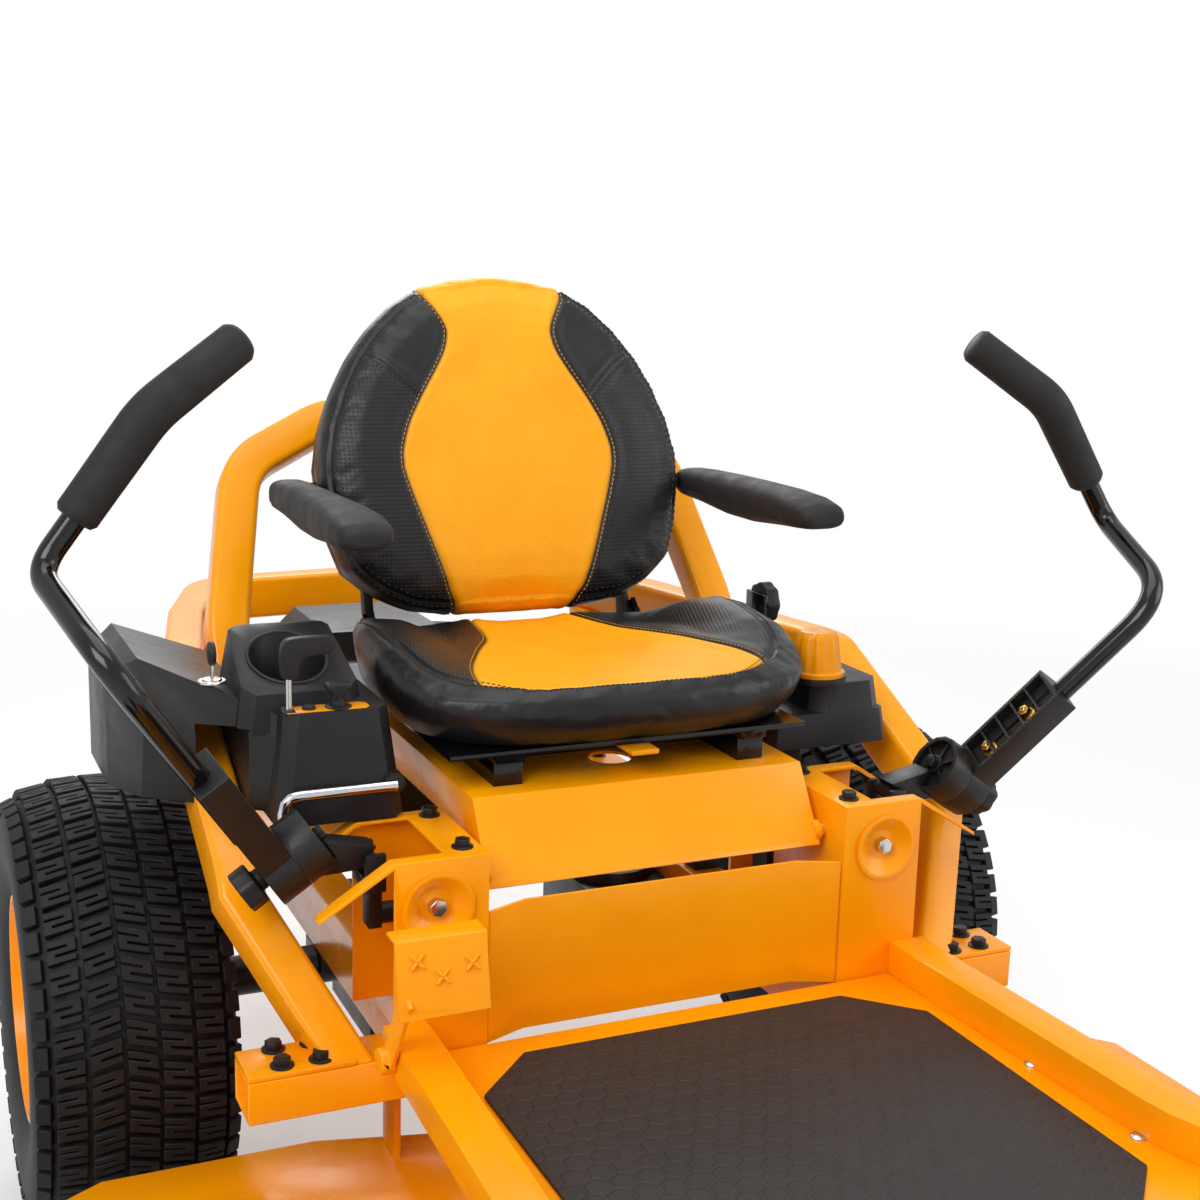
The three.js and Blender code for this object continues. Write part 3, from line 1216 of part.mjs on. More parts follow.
function buildSeatBase() {
  const runner = box(
    SLIDE_X - SLIDE_WIDTH / 2, SLIDE_X + SLIDE_WIDTH / 2, BASE_FRONT, BASE_REAR, BASE_BOTTOM,
    BASE_TOP - BASE,
  );
  const plate = box(-BASE_HALF_WIDTH, BASE_HALF_WIDTH, BASE_FRONT, BASE_REAR, BASE_TOP - BASE, BASE_TOP);
  const ear = sideSlab(
    [
      point(RECLINE_Y - BASE_EAR_HALF_DEPTH, BASE_TOP - BASE),
      point(RECLINE_Y + BASE_EAR_HALF_DEPTH, BASE_TOP - BASE),
      point(RECLINE_Y + BASE_EAR_HALF_DEPTH, RECLINE_Z), point(RECLINE_Y, RECLINE_Z + BASE_EAR_HALF_DEPTH),
      point(RECLINE_Y - BASE_EAR_HALF_DEPTH, RECLINE_Z),
    ],
    BASE_EAR_X, BASE_EAR_X + BASE_EAR,
  );
  const eye = pin(
    'x', place(0, RECLINE_Y, RECLINE_Z), BASE_EAR_X - CUT_OVERRUN, BASE_EAR_X + BASE_EAR + CUT_OVERRUN,
    RECLINE_PIN_RADIUS + RUNNING_GAP, PIN_FACETS,
  );
  const reach = box(
    BASE_HALF_WIDTH - BASE, KNOB_BRACKET_X + KNOB_BRACKET, KNOB_Y - KNOB_BRACKET_HALF_WIDTH,
    KNOB_Y + KNOB_BRACKET_HALF_WIDTH, BASE_TOP - BASE, BASE_TOP,
  );
  const upright = box(
    KNOB_BRACKET_X, KNOB_BRACKET_X + KNOB_BRACKET, KNOB_Y - KNOB_BRACKET_HALF_WIDTH,
    KNOB_Y + KNOB_BRACKET_HALF_WIDTH,
    BASE_TOP - BASE, KNOB_Z + KNOB_RADIUS / 2,
  );
  const ears = cut(ear, eye);
  add(
    'seat_base', join(runner, mirrored(runner), plate, ears, mirrored(ears), reach, upright), BLACK_PAINT,
  );
}

// Latch tongue that hangs under the front of the base and frees the slides
function buildLatch() {
  add('slide_latch', box(
    -LATCH_HALF_WIDTH, LATCH_HALF_WIDTH, LATCH_Y - LATCH, LATCH_Y + LATCH_REACH,
    BASE_TOP - BASE - SEAT_GAP - LATCH, BASE_TOP - BASE - SEAT_GAP,
  ), YELLOW_PLASTIC);
}

const CUSHION_SIDE_SHARES = [
  { spread: 0.8, rise: 0 }, { spread: 0.89, rise: 0.06 }, { spread: 0.965, rise: 0.42 },
  { spread: 1, rise: 0.78 },
  { spread: 0.985, rise: 0.94 }, { spread: 0.93, rise: 1 }, { spread: 0.8, rise: 1 },
  { spread: 0.6, rise: 1 },
  { spread: 0.3, rise: 1 },
];

function buildCushion() {
  const middleY = (CUSHION_FRONT + CUSHION_REAR) / 2;
  const halfLength = (CUSHION_REAR - CUSHION_FRONT) / 2;
  const outline = Array.from({ length: CUSHION_COLUMNS }, (_, n) => {
    const angle = (2 * Math.PI * (n + 0.5)) / CUSHION_COLUMNS;
    const square = (value) => Math.sign(value) * Math.abs(value) ** CUSHION_CORNER_POWER;
    const taper = 1 - CUSHION_TAPER_SHARE * Math.max(0, Math.sin(angle));
    return point(
      CUSHION_HALF_WIDTH * taper * square(Math.cos(angle)), middleY + halfLength * square(Math.sin(angle)),
    );
  });
  const crest = ({ x, y }, spread) => {
    const across = Math.abs(x) / CUSHION_HALF_WIDTH;
    const back = THREE.MathUtils.clamp((y - CUSHION_FRONT) / (CUSHION_REAR - CUSHION_FRONT), 0, 1);
    const flank = THREE.MathUtils.smoothstep(across, 0.45, 0.85);
    const fade = 1 - THREE.MathUtils.smoothstep(back, 0.72, 0.92);
    const behind = THREE.MathUtils.smoothstep(back, 0.1, 0.55) * fade;
    return CUSHION_BOLSTER * flank * behind * THREE.MathUtils.smoothstep(spread, 0.2, 0.9)
      + CUSHION_CROWN * (1 - spread * spread) * (1 - back);
  };
  const layers = CUSHION_SIDE_SHARES.map(({ spread, rise }) => ({
    spread, height: CUSHION_BOTTOM + CUSHION_SIDE_RISE * rise,
  }));
  const skin = skinned(layers.map(({ spread, height }, r) => outline.map((edge) => {
    const spot = point(0, middleY).lerp(edge, spread);
    const lifted = r < 2 ? 0 : crest(spot, spread) * CUSHION_SIDE_SHARES[r].rise;
    return place(spot.x, spot.y, height + lifted);
  })));
  add('seat_cushion', skin, VINYL);
}

// Backrest: an egg-shaped cushion in a moulded shell, both leaning back as one group
const backrest = new THREE.Group();
backrest.position.set(0, BACK_FRONT_Y, BACK_BOTTOM);
backrest.rotation.x = -radians(BACK_LEAN);
const BACK_RISE = BACK_HEIGHT / Math.cos(radians(BACK_LEAN));
const BACK_DEPTH_SHARES = [
  { spread: 0.93, depth: 1 }, { spread: 0.985, depth: 0.9 }, { spread: 1, depth: 0.55 },
  { spread: 0.975, depth: 0.22 },
  { spread: 0.9, depth: 0.04 }, { spread: 0.7, depth: -0.04 }, { spread: 0.35, depth: -0.07 },
];

function backOutline(inset = 0) {
  const half = BACK_OUTLINE_SHARES.map(
    ([x, z]) => point(x * (BACK_HALF_WIDTH - inset), inset + z * (BACK_RISE - 2 * inset)),
  );
  const curve = new THREE.SplineCurve(half);
  const side = curve.getSpacedPoints(BACK_COLUMNS / 2);
  return [...side, ...side.slice(1, -1).reverse().map(({ x, y }) => point(-x, y))];
}

function buildBackrest() {
  const outline = backOutline();
  const heart = point(0, BACK_RISE / 2);
  const skin = skinned(BACK_DEPTH_SHARES.map(({ spread, depth }) => outline.map((edge) => {
    const spot = heart.clone().lerp(edge, spread);
    return place(spot.x, depth * BACK_THICKNESS, spot.y);
  })));
  add('seat_back_cushion', skin, VINYL, backrest);
  const front = BACK_THICKNESS + SEAT_GAP;
  const tray = frontSlab(backOutline(BACK_SHELL_INSET), front, front + BACK_SHELL);
  const lean = radians(BACK_LEAN);
  const towardsPin = point(
    RECLINE_Y - BACK_FRONT_Y, RECLINE_Z - BACK_BOTTOM,
  ).rotateAround(point(0, 0), lean);
  const hinge = place(0, towardsPin.x, towardsPin.y);
  const earOuter = BASE_EAR_X - SEAT_GAP;
  const ear = sideSlab(
    [
      point(hinge.y - BASE_EAR_HALF_DEPTH / 2, hinge.z - BASE_EAR_HALF_DEPTH / 2),
      point(hinge.y + BASE_EAR_HALF_DEPTH, hinge.z - BASE_EAR_HALF_DEPTH / 2),
      point(front + BACK_SHELL, BACK_RISE / 4), point(front + BACK_SHELL / 2, BACK_RISE / 4),
      point(front + BACK_SHELL / 2, BACK_SHELL),
    ],
    earOuter - BASE_EAR * 2, earOuter,
  );
  const pivot = pin(
    'x', hinge, earOuter - BASE_EAR, BASE_EAR_X + BASE_EAR * 2, RECLINE_PIN_RADIUS, PIN_FACETS,
  );
  const armPin = point(
    ARMREST_PIVOT_Y - BACK_FRONT_Y, ARMREST_PIVOT_Z - BACK_BOTTOM,
  ).rotateAround(point(0, 0), lean);
  const horn = box(
    BACK_HALF_WIDTH - BACK_SHELL_INSET * 3, ARMREST_INNER_X - SEAT_GAP, front, front + BACK_SHELL,
    armPin.y - ARMREST_PIN_RADIUS * 2, armPin.y + ARMREST_PIN_RADIUS * 2,
  );
  const hornTie = box(
    ARMREST_INNER_X - BACK_SHELL_INSET, ARMREST_INNER_X - SEAT_GAP, armPin.x - ARMREST_PIN_RADIUS,
    front + BACK_SHELL,
    armPin.y - ARMREST_PIN_RADIUS, armPin.y + ARMREST_PIN_RADIUS,
  );
  const outboard = pin(
    'x', place(0, armPin.x, armPin.y), ARMREST_INNER_X - BACK_SHELL_INSET,
    ARMREST_INNER_X + ARMREST_WIDTH / 2,
    ARMREST_PIN_RADIUS, PIN_FACETS,
  );
  const side = [ear, pivot, horn, hornTie, outboard];
  add('seat_back_shell', join(tray, ...side, ...side.map(mirrored)), BLACK_PLASTIC, backrest);
  mower.add(backrest);
}

// Padded armrest that folds up on its pin
function buildArmrests() {
  const half = ARMREST_TAIL_HEIGHT / 2;
  const rounded = (value) => Math.sign(value) * Math.abs(value) ** ARMREST_CORNER_POWER;
  const centre = ARMREST_INNER_X + ARMREST_WIDTH / 2;
  const section = ([along, width, rise, drop]) => Array.from({ length: ARMREST_SIDES }, (_, n) => {
    const angle = (2 * Math.PI * (n + 0.5)) / ARMREST_SIDES;
    const up = rounded(Math.sin(angle));
    return place(
      centre + (ARMREST_WIDTH / 2) * width * rounded(Math.cos(angle)),
      ARMREST_PIVOT_Y + half - along * (ARMREST_LENGTH + half),
      ARMREST_PIVOT_Z + half * up * (up > 0 ? rise : drop),
    );
  });
  const pad = skinned(ARMREST_STATION_SHARES.map(section));
  const bore = pin(
    'x', place(0, ARMREST_PIVOT_Y, ARMREST_PIVOT_Z), ARMREST_INNER_X - CUT_OVERRUN,
    centre + CUT_OVERRUN, ARMREST_PIN_RADIUS + RUNNING_GAP, PIN_FACETS,
  );
  addPair('armrest', cut(pad, bore), PADDED_FOAM);
}

function buildReclineKnob() {
  const x = KNOB_BRACKET_X + KNOB_BRACKET + SEAT_GAP;
  const flower = lobedOutline(
    KNOB_RADIUS, KNOB_LOBES, KNOB_LOBE_SHARE, 4,
  ).map((p) => point(p.x + KNOB_Y, p.y + KNOB_Z));
  add('recline_knob', sideSlab(flower, x, x + KNOB_DEPTH), BLACK_PLASTIC);
}

// A lap lever: drive pivot in the tower, then the parts that swing out about the pin across it.
// The swinging parts are drawn for the left lever, upright, from the middle of the swing pin.
function buildDrivePivot() {
  const inner = TOWER_INNER_X + TOWER_WALL + SEAT_GAP;
  const centre = place(0, DRIVE_PIN_Y, DRIVE_PIN_Z);
  const shaft = pin('x', centre, inner, SWING_PIN_X, DRIVE_PIN_RADIUS, PART_FACETS);
  const crank = box(
    SWING_PIN_X - YOKE, SWING_PIN_X, DRIVE_PIN_Y - DRIVE_PIN_RADIUS, DRIVE_PIN_Y + DRIVE_PIN_RADIUS,
    DRIVE_PIN_Z - DRIVE_PIN_RADIUS, SWING_PIN_Z - SWING_KNUCKLE_RADIUS - RUNNING_GAP,
  );
  const seat = SWING_PIN_Z - SWING_KNUCKLE_RADIUS - RUNNING_GAP;
  const bridge = box(
    SWING_PIN_X - YOKE, SWING_PIN_X + YOKE / 2, DRIVE_PIN_Y - YOKE_HALF_WIDTH - YOKE / 2,
    DRIVE_PIN_Y + YOKE_HALF_WIDTH + YOKE / 2, seat - YOKE, seat,
  );
  const ear = (y) => box(
    SWING_PIN_X - YOKE, SWING_PIN_X + YOKE / 2, y, y + YOKE / 2, seat - YOKE,
    SWING_PIN_Z + SWING_PIN_RADIUS,
  );
  const swingPin = pin(
    'y', place(SWING_PIN_X, DRIVE_PIN_Y, SWING_PIN_Z), -YOKE_HALF_WIDTH - YOKE / 2,
    YOKE_HALF_WIDTH + YOKE / 2,
    SWING_PIN_RADIUS,
  );
  addPair('drive_pivot', join(
    shaft, crank, bridge, ear(DRIVE_PIN_Y - YOKE_HALF_WIDTH - YOKE / 2), ear(DRIVE_PIN_Y + YOKE_HALF_WIDTH),
    swingPin,
  ), BLACK_CASTING);
}

const FACE_X = SWING_HUB_X + SWING_HUB_DEPTH + SEAT_GAP;

// Arm from the swing pin up to a ribbed hub
function swingHub() {
  const knuckle = pin(
    'y', place(0, 0, 0), -YOKE_HALF_WIDTH + RUNNING_GAP, YOKE_HALF_WIDTH - RUNNING_GAP,
    SWING_KNUCKLE_RADIUS, PART_FACETS,
  );
  const bore = pin(
    'y', place(0, 0, 0), -YOKE_HALF_WIDTH, YOKE_HALF_WIDTH, SWING_PIN_RADIUS + RUNNING_GAP, PART_FACETS,
  );
  const arm = frontSlab(
    [
      point(-SWING_KNUCKLE_RADIUS * 0.8, SWING_KNUCKLE_RADIUS / 2), point(SWING_KNUCKLE_RADIUS * 0.8, 0),
      point(FACE_X - SEAT_GAP, SWING_HUB_Z - SWING_HUB_RADIUS * 0.8), point(FACE_X - SEAT_GAP, SWING_HUB_Z),
      point(SWING_HUB_X + YOKE / 2, SWING_HUB_Z),
    ],
    -SWING_ARM_HALF_WIDTH + YOKE / 2, SWING_ARM_HALF_WIDTH - YOKE / 2,
  );
  const centre = place(0, SWING_HUB_Y, SWING_HUB_Z);
  const hub = pin('x', centre, SWING_HUB_X, FACE_X - SEAT_GAP, SWING_HUB_RADIUS, PART_FACETS);
  const recess = pin(
    'x', centre, SWING_HUB_X - CUT_OVERRUN, SWING_HUB_X + SWING_RECESS, SWING_HUB_RADIUS - SWING_RIM,
    PART_FACETS,
  );
  const boss = pin('x', centre, SWING_HUB_X, FACE_X - SEAT_GAP, STAR_BOSS_RADIUS, PIN_FACETS);
  const spokes = [0, 1, 2].map((n) => {
    const bar = box(
      SWING_HUB_X + SWING_RIM / 2, SWING_HUB_X + SWING_RECESS + SWING_RIM, -SWING_RIM / 4, SWING_RIM / 4,
      -SWING_HUB_RADIUS + SWING_RIM / 2, SWING_HUB_RADIUS - SWING_RIM / 2,
    );
    return moved(bar, 0, SWING_HUB_Y, SWING_HUB_Z, [(n * Math.PI) / 3, 0, 0]);
  });
  return cut(join(cut(join(arm, hub), recess), boss, ...spokes), bore);
}

// Bracket that clamps the bar: a leaning housing, hollow towards the seat and ribbed inside
function leverBracket() {
  const foot = point(SWING_HUB_Y, SWING_HUB_Z);
  const head = point(BRACKET_TOP_Y, BRACKET_TOP_Z);
  const inner = FACE_X;
  const outer = FACE_X + BRACKET_DEPTH;
  const spine = [foot, head];
  const body = sideSlab(ribbon(spine, BRACKET_HALF_WIDTH * 2), inner, outer);
  const hub = pin('x', place(0, SWING_HUB_Y, SWING_HUB_Z), inner, outer, SWING_HUB_RADIUS, PART_FACETS);
  const start = foot.clone().lerp(head, SWING_HUB_RADIUS / foot.distanceTo(head));
  const end = head.clone().lerp(foot, BRACKET_WALL / foot.distanceTo(head));
  const pocket = sideSlab(
    ribbon([start, end], (BRACKET_HALF_WIDTH - BRACKET_WALL) * 2), inner - CUT_OVERRUN,
    inner + BRACKET_RIB_DEPTH,
  );
  const [low, high] = barStretch();
  const below = low.clone().sub(high).setLength(SEAT_GAP).add(low);
  const barSeat = roundTube([below, high], BAR_RADIUS + SEAT_GAP);
  const rib = (share) => {
    const at = start.clone().lerp(end, share);
    const along = end.clone().sub(start);
    const across = along.rotateAround(point(0, 0), Math.PI / 2).setLength(BRACKET_HALF_WIDTH);
    return sideSlab(
      ribbon([at.clone().add(across), at.clone().sub(across)], BRACKET_WALL / 2), inner,
      inner + BRACKET_RIB_DEPTH + CUT_OVERRUN,
    );
  };
  return cut(join(cut(join(body, hub), pocket), ...[0.2, 0.4, 0.6, 0.8].map(rib)), barSeat);
}

// The straight of the bar, from inside the bracket up to its first bend
function barStretch() {
  const x = FACE_X + BRACKET_RIB_DEPTH + (BRACKET_DEPTH - BRACKET_RIB_DEPTH) / 2;
  const lean = (BRACKET_TOP_Y - SWING_HUB_Y) / (BRACKET_TOP_Z - SWING_HUB_Z);
  return [BAR_ENTRY_Z, BAR_KNEE_Z].map((z) => place(x, SWING_HUB_Y + lean * (z - SWING_HUB_Z), z));
}

// The bar bends back at its knee, then in at the neck, and ends on the line of the grip
function barPath() {
  const end = place(GRIP_FOOT_X, GRIP_FOOT_Y, GRIP_FOOT_Z);
  const neck = end.clone().sub(place(GRIP_MID_X, GRIP_MID_Y, GRIP_MID_Z)).setLength(BAR_NECK).add(end);
  return bentPath([...barStretch(), neck, end], [BAR_KNEE_RADIUS, BAR_NECK_RADIUS]);
}

// Foam grip that carries the bar on and bends once towards the seat
function gripPath(barEnd) {
  const gripMid = place(GRIP_MID_X, GRIP_MID_Y, GRIP_MID_Z);
  const start = gripMid.clone().sub(barEnd).setLength(SEAT_GAP).add(barEnd);
  return bentPath([start, gripMid, place(GRIP_TIP_X, GRIP_TIP_Y, GRIP_TIP_Z)], [GRIP_BEND_RADIUS]);
}

function buildLevers() {
  const bar = barPath();
  const starX = FACE_X + BRACKET_DEPTH + SEAT_GAP;
  const flower = lobedOutline(STAR_RADIUS, STAR_LOBES, STAR_LOBE_SHARE, 4)
    .map((p) => point(p.x + SWING_HUB_Y, p.y + SWING_HUB_Z));
  const starBoss = pin(
    'x', place(0, SWING_HUB_Y, SWING_HUB_Z), starX, starX + STAR_BOSS + CUT_OVERRUN, STAR_BOSS_RADIUS,
  );
  const star = join(starBoss, sideSlab(flower, starX + STAR_BOSS, starX + STAR_BOSS + STAR_DEPTH));
  const pieces = [
    ['swing_hub', swingHub(), BLACK_CASTING], ['lever_bracket', leverBracket(), BLACK_CASTING],
    ['star_knob', star, BLACK_PLASTIC], ['lap_bar', roundTube(bar, BAR_RADIUS), BLACK_PAINT],
    ['grip', roundTube(gripPath(bar.at(-1)), GRIP_RADIUS), PADDED_FOAM],
  ];
  [1, -1].forEach((side) => {
    const lever = new THREE.Group();
    lever.position.set(side * SWING_PIN_X, DRIVE_PIN_Y, SWING_PIN_Z);
    lever.rotation.y = side * radians(SWING_ANGLE);
    mower.add(lever);
    pieces.forEach(([name, geometry, material]) => {
      add(
        `${name}_${side > 0 ? 'left' : 'right'}`, side > 0 ? geometry : mirrored(geometry), material, lever,
      );
    });
  });
}

// Throttle lever with a hooked paddle, mower-drive knob, key and the chrome index lever
function buildControls() {
  const top = CONSOLE_TOP + SEAT_GAP;
  const stem = pin(
    'z', place(THROTTLE_X, THROTTLE_Y, top), -THROTTLE_FOOT, THROTTLE_STEM + CUT_OVERRUN,
    THROTTLE_STEM_RADIUS, BAR_FACETS,
  );
  const low = top + THROTTLE_STEM;
  const high = low + THROTTLE_PADDLE_HEIGHT;
  const left = THROTTLE_X - THROTTLE_PADDLE_WIDTH / 2;
  const paddle = frontSlab(
    [
      point(left, low), point(left + THROTTLE_PADDLE_WIDTH, low),
      point(left + THROTTLE_PADDLE_WIDTH, high - THROTTLE_PADDLE_WIDTH * 1.4),
      point(left + THROTTLE_PADDLE_HOOK, high - THROTTLE_PADDLE_WIDTH),
      point(left + THROTTLE_PADDLE_HOOK, high),
      point(left + THROTTLE_PADDLE_WIDTH / 2, high), point(left, high - THROTTLE_PADDLE_WIDTH / 2),
    ],
    THROTTLE_Y - THROTTLE_PADDLE / 2, THROTTLE_Y + THROTTLE_PADDLE / 2,
  );
  add('throttle_lever', join(stem, paddle), BLACK_PLASTIC);
  const ptoStem = pin(
    'z', place(PTO_X, PTO_Y, top), 0, PTO_STEM + CUT_OVERRUN, PTO_STEM_RADIUS, PIN_FACETS,
  );
  const ptoTop = box(
    PTO_X - PTO_HALF_WIDTH, PTO_X + PTO_HALF_WIDTH, PTO_Y - PTO_STEM_RADIUS, PTO_Y + PTO_STEM_RADIUS,
    top + PTO_STEM, top + PTO_STEM + PTO_HEIGHT,
  );
  add('pto_knob', join(ptoStem, ptoTop), BLACK_PLASTIC);
  const keyBase = wingTopAt(-KEY_X + KEY_COLLAR_RADIUS) + SEAT_GAP;
  const collar = pin('z', place(KEY_X, KEY_Y, keyBase), 0, KEY_HEAD, KEY_COLLAR_RADIUS, PIN_FACETS);
  const shaft = pin('z', place(KEY_X, KEY_Y, keyBase), 0, KEY_SHAFT, KEY_SHAFT_RADIUS, BAR_FACETS);
  const head = pin(
    'x', place(KEY_X, KEY_Y, keyBase + KEY_SHAFT + KEY_HEAD_RADIUS / 2), -KEY_HEAD / 2, KEY_HEAD / 2,
    KEY_HEAD_RADIUS,
    PIN_FACETS,
  );
  add('ignition_key', join(collar, shaft, head), BLACK_PLASTIC);
  const index = bentPath(
    [
      place(INDEX_X, INDEX_Y, INDEX_Z), place(INDEX_X - INDEX_LENGTH, INDEX_Y, INDEX_Z),
      place(INDEX_X - INDEX_LENGTH, INDEX_Y, INDEX_Z - INDEX_DROP),
    ],
    [INDEX_BEND],
  );
  add('height_index_lever', roundTube(index, INDEX_RADIUS), CHROME);
}

// Rear tyre: a turned ring with a flat tread, rounded shoulders and the beads on the rim
const REAR_X = REAR_OUTER_FACE - REAR_WIDTH / 2;
const TYRE_SECTION_SHARES = [
  [-0.3, 0], [-0.4, 0.1], [-0.5, 0.5], [-0.48, 0.78], [-0.4, 0.93], [-0.22, 1],
  [0.22, 1], [0.4, 0.93], [0.48, 0.78], [0.5, 0.5], [0.4, 0.1], [0.3, 0],
];

function tyreProfile(width, inner, outer) {
  const ring = TYRE_SECTION_SHARES.map(([across, up]) => [across * width, inner + up * (outer - inner)]);
  return [...ring, ring[0]];
}

function buildRearWheels() {
  const tyre = turned(tyreProfile(REAR_WIDTH, REAR_RIM_RADIUS, REAR_RADIUS), WHEEL_FACETS);
  addPair('rear_tyre', moved(tyre, REAR_X, 0, REAR_RADIUS), TYRE_RUBBER);
  const seat = REAR_RIM_RADIUS - SEAT_GAP;
  const half = REAR_WIDTH / 2 - REAR_RIM_INSET;
  const discX = REAR_WIDTH * (REAR_DISC_SHARE - 0.5);
  const hubInner = AXLE_TUBE_END + RUNNING_GAP - REAR_X;
  const rim = turned([
    [-half, seat - REAR_RIM_WALL], [-half, seat], [half, seat], [half, seat - REAR_RIM_WALL],
    [discX + REAR_RIM_WALL * 3, seat - REAR_RIM_WALL * 2.5], [discX + REAR_RIM_WALL, REAR_HUB_RADIUS * 1.6],
    [discX + REAR_RIM_WALL * 3, REAR_HUB_RADIUS * 0.9], [discX + REAR_RIM_WALL * 3, 0],
    [hubInner - REAR_AXLE_DEPTH, 0], [hubInner - REAR_AXLE_DEPTH, REAR_AXLE_RADIUS],
    [hubInner, REAR_AXLE_RADIUS],
    [hubInner, REAR_HUB_RADIUS * 0.8], [discX, REAR_HUB_RADIUS], [discX, seat - REAR_RIM_WALL * 2.5],
    [-half, seat - REAR_RIM_WALL],
  ], WHEEL_FACETS);
  addPair('rear_rim', moved(rim, REAR_X, 0, REAR_RADIUS), YELLOW_PAINT);
}

// Caster: stem, crown and two legs in one fork, and a wheel with its axle through the legs
function buildCasters() {
  const legInner = CASTER_WIDTH / 2 + FORK_GAP;
  const crownBottom = CASTER_RADIUS * 2 + FORK_CROWN_CLEARANCE - FORK_CROWN;
  const axleY = CASTER_Y + CASTER_TRAIL;
  const crown = box(
    CASTER_X - legInner - FORK_LEG, CASTER_X + legInner + FORK_LEG, CASTER_Y - FORK_LEG_WIDTH / 2,
    axleY + FORK_LEG_WIDTH / 2, crownBottom, crownBottom + FORK_CROWN,
  );
  const leg = sideSlab(
    [
      point(CASTER_Y - FORK_LEG_WIDTH / 2, crownBottom + CUT_OVERRUN),
      point(axleY - FORK_LEG_WIDTH / 2, CASTER_RADIUS),
      point(axleY - FORK_LEG_WIDTH / 4, CASTER_RADIUS - FORK_LEG_WIDTH / 2),
      point(axleY + FORK_LEG_WIDTH / 4, CASTER_RADIUS - FORK_LEG_WIDTH / 2),
      point(axleY + FORK_LEG_WIDTH / 2, CASTER_RADIUS),
      point(axleY + FORK_LEG_WIDTH / 2, crownBottom + CUT_OVERRUN),
    ],
    legInner, legInner + FORK_LEG,
  );
  const collarTop = SOCKET_BOTTOM - SEAT_GAP;
  const centre = place(CASTER_X, CASTER_Y, 0);
  const collar = pin(
    'z', centre, crownBottom + FORK_CROWN - CUT_OVERRUN, collarTop, STEM_CAP_RADIUS, PART_FACETS,
  );
  const stem = pin(
    'z', centre, crownBottom + FORK_CROWN, SOCKET_BOTTOM + STEM_RISE - STEM_CAP, STEM_RADIUS, PART_FACETS,
  );
  const eye = (x) => pin(
    'x', place(x, axleY, CASTER_RADIUS), -CUT_OVERRUN, FORK_LEG + CUT_OVERRUN,
    FORK_AXLE_RADIUS + RUNNING_GAP, PART_FACETS,
  );
  const legs = [moved(leg, CASTER_X, 0, 0), moved(leg, CASTER_X - 2 * legInner - FORK_LEG, 0, 0)];
  const eyes = [eye(CASTER_X + legInner), eye(CASTER_X - legInner - FORK_LEG)];
  addPair('caster_fork', cut(join(crown, collar, stem, ...legs), ...eyes), BLACK_PAINT);
  const half = CASTER_WIDTH / 2;
  const hubHalf = legInner - RUNNING_GAP;
  const axleHalf = legInner + FORK_LEG + FORK_GAP / 2;
  const flank = (side) => [
    [side * axleHalf, 0], [side * axleHalf, FORK_AXLE_RADIUS], [side * hubHalf, FORK_AXLE_RADIUS],
    [side * hubHalf, CASTER_HUB_RADIUS], [side * half * 0.55, CASTER_HUB_RADIUS + FORK_GAP],
    [side * half * 0.45, CASTER_RIM_RADIUS], [side * half * 0.85, CASTER_RIM_RADIUS + FORK_GAP],
    [side * half, CASTER_RADIUS * 0.75], [side * half * 0.88, CASTER_RADIUS * 0.95],
    [side * half * 0.6, CASTER_RADIUS],
  ];
  const wheel = turned([...flank(-1), ...flank(1).reverse()], CASTER_FACETS);
  addPair('caster_wheel', moved(wheel, CASTER_X, axleY, CASTER_RADIUS), TYRE_RUBBER);
}

